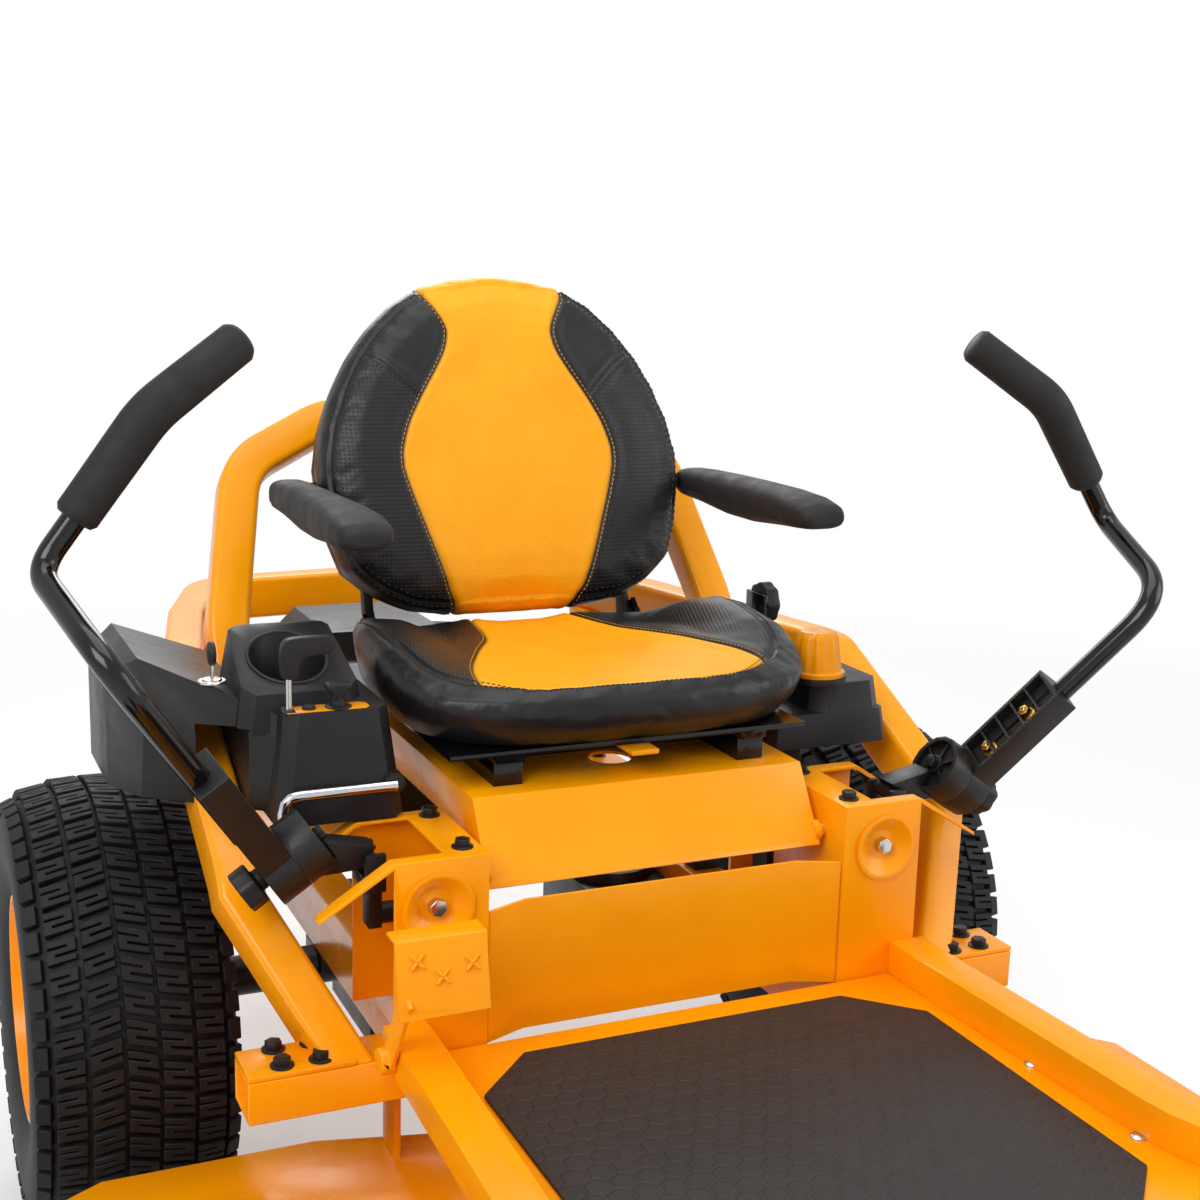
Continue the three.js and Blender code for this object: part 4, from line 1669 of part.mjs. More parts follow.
// Stamped deck shell, open below, with spindle housings, hangers and the chute's mouth on the right
function buildDeck() {
  const halfLength = (DECK_REAR - DECK_FRONT) / 2;
  const middleY = (DECK_REAR + DECK_FRONT) / 2;
  const outline = (inset) => DECK_OUTLINE_SHARES.map(([x, y]) => {
    const shareY = (2 * y - 1) * -1;
    return point(x * (DECK_HALF_WIDTH - inset), middleY - shareY * (halfLength - inset) * -1);
  });
  const skirt = slab(outline(0), DECK_BOTTOM, DECK_TOP);
  const inside = slab(outline(DECK_WALL), DECK_BOTTOM - CUT_OVERRUN, DECK_TOP - DECK_WALL);
  const spindles = spindleCentres();
  const housings = spindles.map((centre) => pin(
    'z', centre, DECK_TOP - DECK_WALL - SPINDLE_HOUSING, DECK_TOP + SPINDLE_HOUSING, SPINDLE_HOUSING_RADIUS,
    PART_FACETS,
  ));
  const bores = spindles.map((centre) => pin(
    'z', centre, DECK_BOTTOM, DECK_TOP + SPINDLE_HOUSING + CUT_OVERRUN, SPINDLE_RADIUS + RUNNING_GAP,
    PART_FACETS,
  ));
  const mouth = box(
    -DECK_HALF_WIDTH - CUT_OVERRUN, -DECK_HALF_WIDTH + DECK_WALL * 2, CHUTE_MOUTH_FRONT, CHUTE_MOUTH_REAR,
    DECK_BOTTOM - CUT_OVERRUN, CHUTE_MOUTH_TOP,
  );
  const hangerX = RAIL_X + RAIL_WIDTH / 2 + SEAT_GAP;
  const hangers = [HANGER_FRONT_Y, HANGER_REAR_Y].flatMap((y) => {
    const post = box(
      hangerX, hangerX + HANGER, y - HANGER_WIDTH / 2, y + HANGER_WIDTH / 2, DECK_TOP - DECK_WALL / 2,
      RAIL_BOTTOM + HANGER_OVERLAP,
    );
    return [post, mirrored(post)];
  });
  const lug = (y) => box(
    -DECK_HALF_WIDTH, -DECK_HALF_WIDTH + CHUTE_LUG, y - CHUTE_LUG / 2, y + CHUTE_LUG / 2,
    DECK_TOP - DECK_WALL,
    DECK_TOP + CHUTE_LUG,
  );
  const pinLine = place(-DECK_HALF_WIDTH + CHUTE_LUG / 2, 0, DECK_TOP + CHUTE_LUG / 2);
  const hingePin = pin(
    'y', pinLine, CHUTE_MOUTH_FRONT - CHUTE_LUG, CHUTE_MOUTH_REAR + CHUTE_LUG, CHUTE_PIN_RADIUS / 2,
    BAR_FACETS,
  );
  const shell = cut(join(cut(skirt, inside), ...housings), ...bores, mouth);
  add('deck_shell', join(
    shell, ...hangers, lug(CHUTE_MOUTH_FRONT - CHUTE_LUG), lug(CHUTE_MOUTH_REAR + CHUTE_LUG), hingePin,
  ), YELLOW_PAINT);
}

const spindleCentres = () => [
  place(-SPINDLE_SPACING, SPINDLE_SIDE_Y, 0), place(0, SPINDLE_CENTRE_Y, 0),
  place(SPINDLE_SPACING, SPINDLE_SIDE_Y, 0),
];

// Each blade turns with its spindle and the pulley above the deck
function buildBlades() {
  const half = BLADE_LENGTH / 2;
  const pulleyBottom = DECK_TOP + SPINDLE_HOUSING + SEAT_GAP;
  spindleCentres().forEach((centre, n) => {
    const bar = box(-half, half, -BLADE_WIDTH / 2, BLADE_WIDTH / 2, BLADE_Z - BLADE, BLADE_Z);
    const sail = sideSlab(
      [
        point(BLADE_WIDTH / 2 - BLADE * 2, BLADE_Z - BLADE), point(BLADE_WIDTH / 2, BLADE_Z - BLADE),
        point(BLADE_WIDTH / 2 + BLADE, BLADE_Z + BLADE_LIFT), point(BLADE_WIDTH / 2, BLADE_Z + BLADE_LIFT),
        point(BLADE_WIDTH / 2 - BLADE * 2, BLADE_Z),
      ],
      half * 0.68, half,
    );
    const otherSail = moved(sail, 0, 0, 0, [0, 0, Math.PI]);
    const origin = place(0, 0, 0);
    const hub = pin(
      'z', origin, BLADE_Z - BLADE * 2, DECK_TOP - DECK_WALL - SPINDLE_HOUSING - SEAT_GAP, BLADE_HUB_RADIUS,
      PART_FACETS,
    );
    const spindle = pin('z', origin, BLADE_Z, pulleyBottom + PULLEY, SPINDLE_RADIUS, PART_FACETS);
    const groove = PULLEY_RADIUS * PULLEY_GROOVE_SHARE;
    const pulley = new THREE.LatheGeometry([
      point(0, 0), point(PULLEY_RADIUS, 0), point(groove, PULLEY / 2), point(PULLEY_RADIUS, PULLEY),
      point(0, PULLEY),
    ], PART_FACETS).rotateX(Math.PI / 2);
    const blade = join(bar, sail, otherSail, hub, spindle, moved(pulley, 0, 0, pulleyBottom));
    add(`blade_${['right', 'centre', 'left'][n]}`, moved(blade, centre.x, centre.y, 0), BARE_METAL);
  });
}

// Discharge chute: a flap with cheeks that lifts on the deck's hinge pin
function buildChute() {
  const pinX = DECK_HALF_WIDTH - CHUTE_LUG / 2;
  const pinZ = DECK_TOP + CHUTE_LUG / 2;
  const eye = pin(
    'y', place(-pinX, 0, pinZ), CHUTE_MOUTH_FRONT, CHUTE_MOUTH_REAR, CHUTE_PIN_RADIUS, PART_FACETS,
  );
  const bore = pin(
    'y', place(-pinX, 0, pinZ), CHUTE_MOUTH_FRONT - CUT_OVERRUN, CHUTE_MOUTH_REAR + CUT_OVERRUN,
    CHUTE_PIN_RADIUS / 2 + RUNNING_GAP, BAR_FACETS,
  );
  const outerX = pinX + CHUTE_REACH;
  const plate = [
    point(-pinX, pinZ + CHUTE_PIN_RADIUS), point(-outerX, pinZ - CHUTE_DROP + CHUTE_WALL),
    point(-outerX, pinZ - CHUTE_DROP), point(-pinX - CHUTE_PIN_RADIUS, pinZ),
  ];
  const flap = frontSlab(plate, CHUTE_MOUTH_FRONT, CHUTE_MOUTH_REAR);
  const cheekTop = (z) => z;
  const cheek = (y) => frontSlab(
    [
      point(-DECK_HALF_WIDTH - CHUTE_WALL, cheekTop(pinZ - CHUTE_WALL)),
      point(-outerX, pinZ - CHUTE_DROP + CHUTE_WALL / 2),
      point(-outerX, pinZ - CHUTE_DROP - CHUTE_SIDE / 2),
      point(-DECK_HALF_WIDTH - CHUTE_WALL, pinZ - CHUTE_DROP - CHUTE_SIDE),
    ],
    y, y + CHUTE_WALL,
  );
  add('discharge_chute', cut(
    join(eye, flap, cheek(CHUTE_MOUTH_FRONT), cheek(CHUTE_MOUTH_REAR - CHUTE_WALL)), bore,
  ), BLACK_PLASTIC);
}

// Foot pedal that lifts the deck, on a pivot beside the right arm
function buildPedal() {
  const armStart = ARM_REAR - ARM_WIDTH;
  const slant = (ARM_FRONT_X - ARM_X) / (armStart - ARM_BEND_Y);
  const armSide = (y) => ARM_X + ARM_WIDTH / 2 + slant * (armStart - y);
  const hubInner = armSide(PEDAL_PIVOT_Y - PEDAL_HUB_RADIUS) + SEAT_GAP;
  const stemInner = armSide(PEDAL_FACE_Y - PEDAL_STEM_WIDTH) + SEAT_GAP;
  const pivot = place(0, PEDAL_PIVOT_Y, PEDAL_PIVOT_Z);
  const hub = pin('x', pivot, hubInner, stemInner + PEDAL_STEM_WIDTH / 2, PEDAL_HUB_RADIUS, PIN_FACETS);
  const faceTop = point(PEDAL_FACE_Y, PEDAL_TOP_Z);
  const faceBottom = point(
    PEDAL_FACE_Y - (PEDAL_TOP_Z - PEDAL_BOTTOM_Z) * Math.tan(radians(PEDAL_TILT)), PEDAL_BOTTOM_Z,
  );
  const stem = sideSlab(
    ribbon([point(PEDAL_PIVOT_Y, PEDAL_PIVOT_Z), faceBottom.clone().lerp(faceTop, 0.3)], PEDAL_STEM_WIDTH),
    stemInner, stemInner + PEDAL_PLATE,
  );
  const plate = sideSlab(
    ribbon([faceBottom, faceTop, point(faceTop.x + PEDAL_STEM_WIDTH, faceTop.y)], PEDAL_PLATE),
    PEDAL_INNER_X, PEDAL_INNER_X + PEDAL_WIDTH,
  );
  add('deck_pedal', mirrored(join(hub, stem, plate)), YELLOW_PAINT);
}

buildRails();
buildCasterArms();
buildRearPlate();
buildGuardRails();
buildHoop();
buildFloor();
buildTowers();
buildFrontPanel();
buildConsole();
buildTank();
buildFuelCap();
buildEngine();
buildShroud();
buildTransaxles();
buildSeatPan();
buildSlides();
buildSeatBase();
buildLatch();
buildCushion();
buildBackrest();
buildArmrests();
buildReclineKnob();
buildDrivePivot();
buildLevers();
buildControls();
buildRearWheels();
buildCasters();
buildDeck();
buildBlades();
buildChute();
buildPedal();

// Stand the mower on the origin: the middle of its footprint, on the ground
mower.updateMatrixWorld(true);
const reach = new THREE.Box3().setFromObject(mower, true);
mower.position.set(-(reach.min.x + reach.max.x) / 2, -(reach.min.y + reach.max.y) / 2, -reach.min.z);

const machine = new THREE.Group();
machine.add(mower);

export default machine;
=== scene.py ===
"""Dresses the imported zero-turn mower for rendering.

The CAD frame is loaded first and never changed. Every piece made here is in metres, in
the frame's own axes. Points written as ``at(x, y, z)`` are millimetres from the middle of
the rear axle's line on the ground, with +X to the machine's left and -Y to its front.
"""

import logging
import math
from contextlib import contextmanager
from dataclasses import dataclass, field
from enum import Enum
from typing import Callable, Iterator, Sequence

import bmesh
import bpy
import numpy as np
from bpy.types import ID, Material, Mesh, Node, NodeSocket, NodeTree, Object
from mathutils import Matrix, Vector
from mathutils.bvhtree import BVHTree


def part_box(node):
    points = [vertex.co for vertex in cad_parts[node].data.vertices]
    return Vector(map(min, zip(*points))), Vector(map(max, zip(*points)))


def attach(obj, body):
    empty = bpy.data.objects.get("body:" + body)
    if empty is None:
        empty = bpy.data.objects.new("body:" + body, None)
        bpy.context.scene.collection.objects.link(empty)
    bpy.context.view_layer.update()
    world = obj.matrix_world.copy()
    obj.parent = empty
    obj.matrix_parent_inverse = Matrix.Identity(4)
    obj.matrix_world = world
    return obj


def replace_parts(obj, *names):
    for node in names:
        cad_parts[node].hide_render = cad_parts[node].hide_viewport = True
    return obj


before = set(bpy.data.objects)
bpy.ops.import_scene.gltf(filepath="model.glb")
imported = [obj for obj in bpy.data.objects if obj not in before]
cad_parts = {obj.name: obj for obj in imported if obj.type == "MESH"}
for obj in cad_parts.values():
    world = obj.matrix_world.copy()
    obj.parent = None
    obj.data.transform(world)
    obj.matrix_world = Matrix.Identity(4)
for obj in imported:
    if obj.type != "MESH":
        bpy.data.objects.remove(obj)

LOG = logging.getLogger("mower")
MM = 0.001
TAU = 2 * math.pi
SIDES = {"left": 1.0, "right": -1.0}
OUT, UP = Vector((1, 0, 0)), Vector((0, 0, 1))
CAD_WELD, WELD = 2e-6, 1e-6
SMOOTH_ANGLE, EDGE_ANGLE = 35.0, 32.0
Point = tuple[float, float, float]
Line = Sequence[Sequence[float]]
Shape = tuple[list[Vector], list[list[int]]]


def _origin() -> Vector:
    """The middle of the rear axle's line on the ground, read from the tyres' boxes."""
    left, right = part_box("rear_tyre_left"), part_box("rear_tyre_right")
    return Vector(((left[1].x + right[0].x) / 2, (left[0].y + left[1].y) / 2, 0.0))


ORIGIN = _origin()


def at(x: float, y: float, z: float) -> Vector:
    """A point in millimetres from the rear axle's middle, as a place in the frame."""
    return ORIGIN + Vector((x, y, z)) * MM


# ---------------------------------------------------------------- meshes


def linked(name: str, data: ID) -> Object:
    """An object at the origin with a mesh, a lamp or a camera, in the scene."""
    obj = bpy.data.objects.new(name, data)
    bpy.context.scene.collection.objects.link(obj)
    return obj


@contextmanager
def edited(mesh: Mesh, source: Mesh | None = None) -> Iterator[bmesh.types.BMesh]:
    """Lends a mesh's editable copy, and writes it back at the end.

    Args:
        mesh: The mesh.
        source: Another mesh that is read in its place, or None.

    Returns:
        The editable copy.
    """
    bm = bmesh.new()
    bm.from_mesh(source or mesh)
    yield bm
    bm.to_mesh(mesh)
    bm.free()


def surface_of(mesh: Mesh) -> BVHTree:
    """A search tree of a mesh's faces."""
    return BVHTree.FromPolygons([v.co.copy() for v in mesh.vertices], [tuple(p.vertices) for p in mesh.polygons])


def heading(points: Sequence[Vector], i: int) -> Vector:
    """The way from the point before one to the point after it."""
    return points[min(i + 1, len(points) - 1)] - points[max(i - 1, 0)]


def ring_faces(rows: int, ring: int, closed: bool = False) -> list[list[int]]:
    """Joins rows of equal rings of corners.

    Args:
        rows: How many rings there are.
        ring: How many corners each has.
        closed: Whether the last ring joins the first.

    Returns:
        The faces between them, and the two end faces where they aren't closed.
    """
    faces = []
    for i in range(rows if closed else rows - 1):
        a, b = i * ring, (i + 1) % rows * ring
        faces += [[a + k, a + (k + 1) % ring, b + (k + 1) % ring, b + k] for k in range(ring)]
    return faces if closed else faces + [list(range(ring)), list(range((rows - 1) * ring, rows * ring))]


def shade(obj: Object, angle: float = SMOOTH_ANGLE) -> Object:
    """Shades a mesh smooth, apart from edges sharper than an angle.

    Args:
        obj: The mesh object.
        angle: The sharpest edge in degrees that is still smooth.

    Returns:
        The same object.
    """
    limit = math.radians(angle)
    with edited(obj.data) as bm:
        for edge in bm.edges:
            edge.smooth = len(edge.link_faces) == 2 and edge.calc_face_angle(0.0) < limit
        for face in bm.faces:
            face.smooth = True
    return obj


def mesh_object(name: str, points: Line, faces: Sequence[Sequence[int]], material: Material,
                angle: float = SMOOTH_ANGLE) -> Object:
    """Makes a mesh object at the origin from points and faces, with its faces outwards.

    Args:
        name: The piece's name.
        points: Corner places in metres.
        faces: Corner numbers of each face.
        material: The finish.
        angle: The sharpest edge in degrees that is shaded smooth.

    Returns:
        The new object.
    """
    mesh = bpy.data.meshes.new(name)
    mesh.from_pydata([tuple(p) for p in points], [], [tuple(f) for f in faces])
    with edited(mesh) as bm:
        bmesh.ops.remove_doubles(bm, verts=bm.verts, dist=WELD)
        bmesh.ops.recalc_face_normals(bm, faces=bm.faces)
    mesh.materials.append(material)
    return shade(linked(name, mesh), angle)


def applied(obj: Object) -> Object:
    """Turns an object's modifiers into a plain mesh.

    Args:
        obj: The object with modifiers.

    Returns:
        The same object with its evaluated mesh and no modifiers.
    """
    depsgraph = bpy.context.evaluated_depsgraph_get()
    baked = bpy.data.meshes.new_from_object(obj.evaluated_get(depsgraph), depsgraph=depsgraph)
    baked.name = obj.name
    obj.modifiers.clear()
    obj.data = baked
    return obj


def bevelled(obj: Object, width: float, segments: int = 2, angle: float = EDGE_ANGLE) -> Object:
    """Rounds an object's edges.

    Args:
        obj: The mesh object.
        width: The bevel's width in millimetres.
        segments: How many faces go round each edge.
        angle: Edges less sharp than this, in degrees, stay as they are.

    Returns:
        The same object.
    """
    modifier = obj.modifiers.new("edges", "BEVEL")
    modifier.width = width * MM
    modifier.segments = segments
    modifier.limit_method = "ANGLE"
    modifier.angle_limit = math.radians(angle)
    modifier.harden_normals = False
    modifier.use_clamp_overlap = True
    return shade(applied(obj), angle)


def cad_copy(node: str, name: str, material: Material, flatten: float = 0.0) -> Object:
    """Copies a CAD node's shape, with its loose triangles joined.

    Args:
        node: The CAD node.
        name: The new piece's name.
        material: The finish.
        flatten: Faces that meet within this many degrees become one; 0 leaves them.

    Returns:
        The new object.
    """
    mesh = bpy.data.meshes.new(name)
    with edited(mesh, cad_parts[node].data) as bm:
        bmesh.ops.remove_doubles(bm, verts=bm.verts, dist=CAD_WELD)
        if flatten:
            bmesh.ops.dissolve_limit(bm, angle_limit=math.radians(flatten), verts=bm.verts, edges=bm.edges)
    mesh.materials.clear()
    mesh.materials.append(material)
    return linked(name, mesh)


def skin_of(node: str, name: str, material: Material, bevel: float, segments: int = 3,
            angle: float = EDGE_ANGLE) -> Object:
    """Copies a CAD node's shape and rounds its edges.

    Args:
        node: The CAD node that the copy stands for.
        name: The new piece's name.
        material: The finish.
        bevel: The edge radius in millimetres, or 0 for none.
        segments: How many faces go round each edge.
        angle: The sharpest edge in degrees that stays smooth.

    Returns:
        The new object, which replaces the node.
    """
    obj = cad_copy(node, name, material, 0.6)
    if bevel > 0:
        bevelled(obj, bevel, segments, angle)
    else:
        shade(obj, angle)
    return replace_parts(obj, node)


def frames_along(points: Sequence[Vector], first_up: Vector) -> list[tuple[Vector, Vector, Vector]]:
    """Directions along a path that don't twist.

    Args:
        points: The path.
        first_up: Roughly the up direction at the start.

    Returns:
        A tangent, a side and an up direction for each point.
    """
    path = [Vector(p) for p in points]
    tangents = [heading(path, i).normalized() for i in range(len(path))]
    up = (first_up - tangents[0] * first_up.dot(tangents[0])).normalized()
    found = []
    for i, tangent in enumerate(tangents):
        if i:
            up = tangents[i - 1].rotation_difference(tangent) @ up
            up = (up - tangent * up.dot(tangent)).normalized()
        found.append((tangent, tangent.cross(up).normalized(), up))
    return found


def sweep(points: Sequence[Vector], profile: Line, scales: Sequence[float] | None = None,
          first_up: Vector = UP, closed: bool = False) -> Shape:
    """Carries a closed profile along a path.

    Args:
        points: The path in metres.
        profile: Side and up offsets in metres, in order round the section.
        scales: The section's scale at each point, or None for 1.
        first_up: Roughly the up direction at the start.
        closed: Whether the path's end joins its start.

    Returns:
        The corners and the faces.
    """
    corners = []
    for i, (point, (_, side, up)) in enumerate(zip(points, frames_along(points, first_up))):
        scale = scales[i] if scales else 1.0
        corners += [point + side * a * scale + up * b * scale for a, b in profile]
    return corners, ring_faces(len(points), len(profile), closed)


def round_profile(radius: float, sides: int = 24) -> list[tuple[float, float]]:
    """A circle of a radius in millimetres, as offsets in metres."""
    turn = TAU / sides
    return [(radius * MM * math.cos(i * turn), radius * MM * math.sin(i * turn)) for i in range(sides)]


def boxy_profile(width: float, height: float, radius: float, steps: int = 4) -> list[tuple[float, float]]:
    """A rectangle with rounded corners, as offsets in metres.

    Args:
        width: Its width in millimetres.
        height: Its height.
        radius: Its corners' radius.
        steps: How many faces each corner has.

    Returns:
        The offsets, in order round the rectangle.
    """
    profile = []
    for quarter, (a, b) in enumerate(((1, 1), (-1, 1), (-1, -1), (1, -1))):
        for n in range(steps + 1):
            turn = (quarter + n / steps) * math.pi / 2
            profile.append(((a * (width / 2 - radius) + radius * math.cos(turn)) * MM,
                            (b * (height / 2 - radius) + radius * math.sin(turn)) * MM))
    return profile


def tube_between(path: Sequence[Vector], axes: Sequence[tuple[Vector, Vector]], profile: Line,
                 ends: Sequence[tuple[int, float] | None] = (None, None)) -> Shape:
    """Carries a profile along a path with its axes given, and cuts its ends flat.

    Args:
        path: The path in metres.
        axes: The side and up directions at each point.
        profile: Side and up offsets in metres.
        ends: For the start and the end, the axis number and the place of the plane it is cut at, or None.

    Returns:
        The corners and the faces.
    """
    ring, rows = len(profile), len(path)
    corners = [point + side * a + up * b for point, (side, up) in zip(path, axes) for a, b in profile]
    for row, near, end in ((0, 1, ends[0]), (rows - 1, rows - 2, ends[1])):
        if end is not None:
            number, place = end
            way = path[row] - path[near]
            for k in range(row * ring, (row + 1) * ring):
                corners[k] = corners[k] + way * ((place - corners[k][number]) / way[number])
    return corners, ring_faces(rows, ring)


def bent(corners: Sequence[Vector], radii: Sequence[float], steps: int = 10) -> list[Vector]:
    """A path whose corners are rounded.

    Args:
        corners: The path's corners in metres.
        radii: A bend radius in millimetres for each inner corner.
        steps: How many points each bend has.

    Returns:
        The path's points.
    """
    path = [Vector(corners[0])]
    for i in range(1, len(corners) - 1):
        here = Vector(corners[i])
        before, after = Vector(corners[i - 1]) - here, Vector(corners[i + 1]) - here
        half = before.angle(after) / 2
        back = min(radii[i - 1] * MM / math.tan(half), before.length * 0.49, after.length * 0.49)
        start, end = here + before.normalized() * back, here + after.normalized() * back
        for n in range(steps + 1):
            t = n / steps
            path.append(start * (1 - t) ** 2 + here * 2 * t * (1 - t) + end * t ** 2)
    path.append(Vector(corners[-1]))
    return path


def turned(name: str, profile: Line, centre: Vector, axis: Vector, material: Material, sides: int = 48,
           angle: float = SMOOTH_ANGLE) -> Object:
    """Makes a piece as on a lathe.

    Args:
        name: The piece's name.
        profile: Along-axis and radius pairs in millimetres.
        centre: Where the axis starts.
        axis: The axis direction.
        material: The finish.
        sides: How many faces go round.
        angle: The sharpest edge in degrees that is shaded smooth.

    Returns:
        The new object.
    """
    turn = axis.normalized().to_track_quat("Z", "Y").to_matrix()
    points = []
    for along, radius in profile:
        for k in range(sides):
            a = TAU * k / sides
            points.append(centre + turn @ Vector((radius * math.cos(a), radius * math.sin(a), along)) * MM)
    *faces, first, last = ring_faces(len(profile), sides)
    ends = [end for end, (_, radius) in ((first, profile[0]), (last, profile[-1])) if radius > WELD]
    return mesh_object(name, points, faces + ends, material, angle)


def wheel_turned(name: str, profile: Line, centre: Vector, material: Material, sides: int,
                 angle: float) -> Object:
    """Makes a wheel's ring round an axle along X, whose profile goes round to its start.

    Args:
        name: The piece's name.
        profile: Along-axis and radius pairs in millimetres.
        centre: The wheel's middle.
        material: The finish.
        sides: How many faces go round.
        angle: The sharpest edge in degrees that is shaded smooth.

    Returns:
        The new object.
    """
    wheel = turned(name, [*profile, profile[0]], centre, OUT, material, sides, angle)
    with edited(wheel.data) as bm:
        ends = [f for f in bm.faces if len(f.verts) == sides]
        bmesh.ops.delete(bm, geom=ends, context="FACES_ONLY")
        bmesh.ops.remove_doubles(bm, verts=bm.verts, dist=WELD)
        bmesh.ops.recalc_face_normals(bm, faces=bm.faces)
    return shade(wheel, angle)


def block(name: str, low: Vector, high: Vector, material: Material, bevel: float = 1.0,
          tilt: Matrix | None = None) -> Object:
    """A rounded block between two corners.

    Args:
        name: The piece's name.
        low: The lowest corner.
        high: The highest corner.
        material: The finish.
        bevel: The edge radius in millimetres.
        tilt: A turn about the block's middle, or None.

    Returns:
        The new object.
    """
    middle = (low + high) / 2
    corners = []
    for z in (low.z, high.z):
        for x, y in ((low.x, low.y), (high.x, low.y), (high.x, high.y), (low.x, high.y)):
            corner = Vector((x, y, z)) - middle
            corners.append(middle + (tilt @ corner if tilt else corner))
    faces = [[0, 1, 2, 3], [4, 5, 6, 7], [0, 1, 5, 4], [1, 2, 6, 5], [2, 3, 7, 6], [3, 0, 4, 7]]
    obj = mesh_object(name, corners, faces, material)
    return bevelled(obj, bevel, 3) if bevel > 0 else obj


def extruded(name: str, outline: Line, to_space: Callable[[float, float, float], Vector], low: float, high: float,
             material: Material, bevel: float = 1.0) -> Object:
    """A plate of one outline.

    Args:
        name: The piece's name.
        outline: Flat corners in millimetres.
        to_space: Gives the place of a flat corner at a depth.
        low: The first depth in millimetres.
        high: The last depth in millimetres.
        material: The finish.
        bevel: The edge radius in millimetres.

    Returns:
        The new object.
    """
    count = len(outline)
    points = [to_space(a, b, depth) for depth in (low, high) for a, b in outline]
    faces = [list(range(count)), list(range(count, 2 * count))]
    faces += [[k, (k + 1) % count, count + (k + 1) % count, count + k] for k in range(count)]
    obj = mesh_object(name, points, faces, material)
    return bevelled(obj, bevel, 3) if bevel > 0 else obj


def merged(name: str, objects: Sequence[Object]) -> Object:
    """Joins objects, with their materials, in one piece.

    Args:
        name: The piece's name.
        objects: The objects, which are used up.

    Returns:
        The joined object.
    """
    bm = bmesh.new()
    materials: list[Material] = []
    for obj in objects:
        first = len(bm.faces)
        bm.from_mesh(obj.data)
        bm.faces.ensure_lookup_table()
        own = list(obj.data.materials)
        for face in bm.faces[first:]:
            material = own[face.material_index]
            if material not in materials:
                materials.append(material)
            face.material_index = materials.index(material)
        bpy.data.objects.remove(obj)
    mesh = bpy.data.meshes.new(name)
    bm.to_mesh(mesh)
    bm.free()
    for material in materials:
        mesh.materials.append(material)
    return linked(name, mesh)


def hidden(obj: Object) -> Object:
    """Keeps out of the picture a shape that is only there to be copied."""
    obj.hide_render = True
    return obj


def done(obj: Object, body: str, slot: str) -> Object:
    """Puts a piece on its body and reports it.

    Args:
        obj: The finished piece.
        body: The CAD body that carries it.
        slot: The record's material slot; not used.

    Returns:
        The same piece.
    """
    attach(obj, body)
    LOG.info("%s rides on %s: %d faces", obj.name, body, len(obj.data.polygons))
    return obj


# ---------------------------------------------------------------- shader and node tools


def linear(colour: str) -> tuple[float, float, float, float]:
    """Turns an sRGB hex colour into linear RGBA.

    Args:
        colour: Six hex digits.

    Returns:
        Red, green, blue and alpha.
    """
    parts = [int(colour[i:i + 2], 16) / 255 for i in (0, 2, 4)]
    red, green, blue = [c / 12.92 if c <= 0.04045 else ((c + 0.055) / 1.055) ** 2.4 for c in parts]
    return red, green, blue, 1.0


def joined(operation: str, swapped: bool = False) -> Callable[["Wire", object], "Wire"]:
    """An operator between a wire and a value.

    Args:
        operation: The Math node's operation.
        swapped: Whether the value comes first.

    Returns:
        The operator's method.
    """
    def method(wire: "Wire", other: object) -> "Wire":
        """Adds the Math node and returns its result."""
        return wire.kit.compute(operation, *((other, wire) if swapped else (wire, other)))
    return method


class Wire:
    """A number-carrying socket; sums and products of wires add their own Math nodes."""

    __add__, __radd__ = joined("ADD"), joined("ADD", True)
    __sub__, __rsub__ = joined("SUBTRACT"), joined("SUBTRACT", True)
    __mul__, __rmul__ = joined("MULTIPLY"), joined("MULTIPLY", True)
    __truediv__ = joined("DIVIDE")

    def __init__(self, kit: "NodeKit", socket: NodeSocket) -> None:
        """Keeps the socket and the tree that it is in."""
        self.kit = kit
        self.socket = socket

    def apply(self, operation: str, *second: object) -> "Wire":
        """This through one Math operation."""
        return self.kit.compute(operation, self, *second)

    def between(self, low: float, high: float) -> "Wire":
        """0 at low and 1 at high, held there outside."""
        return self.kit.add("ShaderNodeMapRange", {"clamp": True}, {0: self, 1: low, 2: high, 3: 0.0, 4: 1.0})


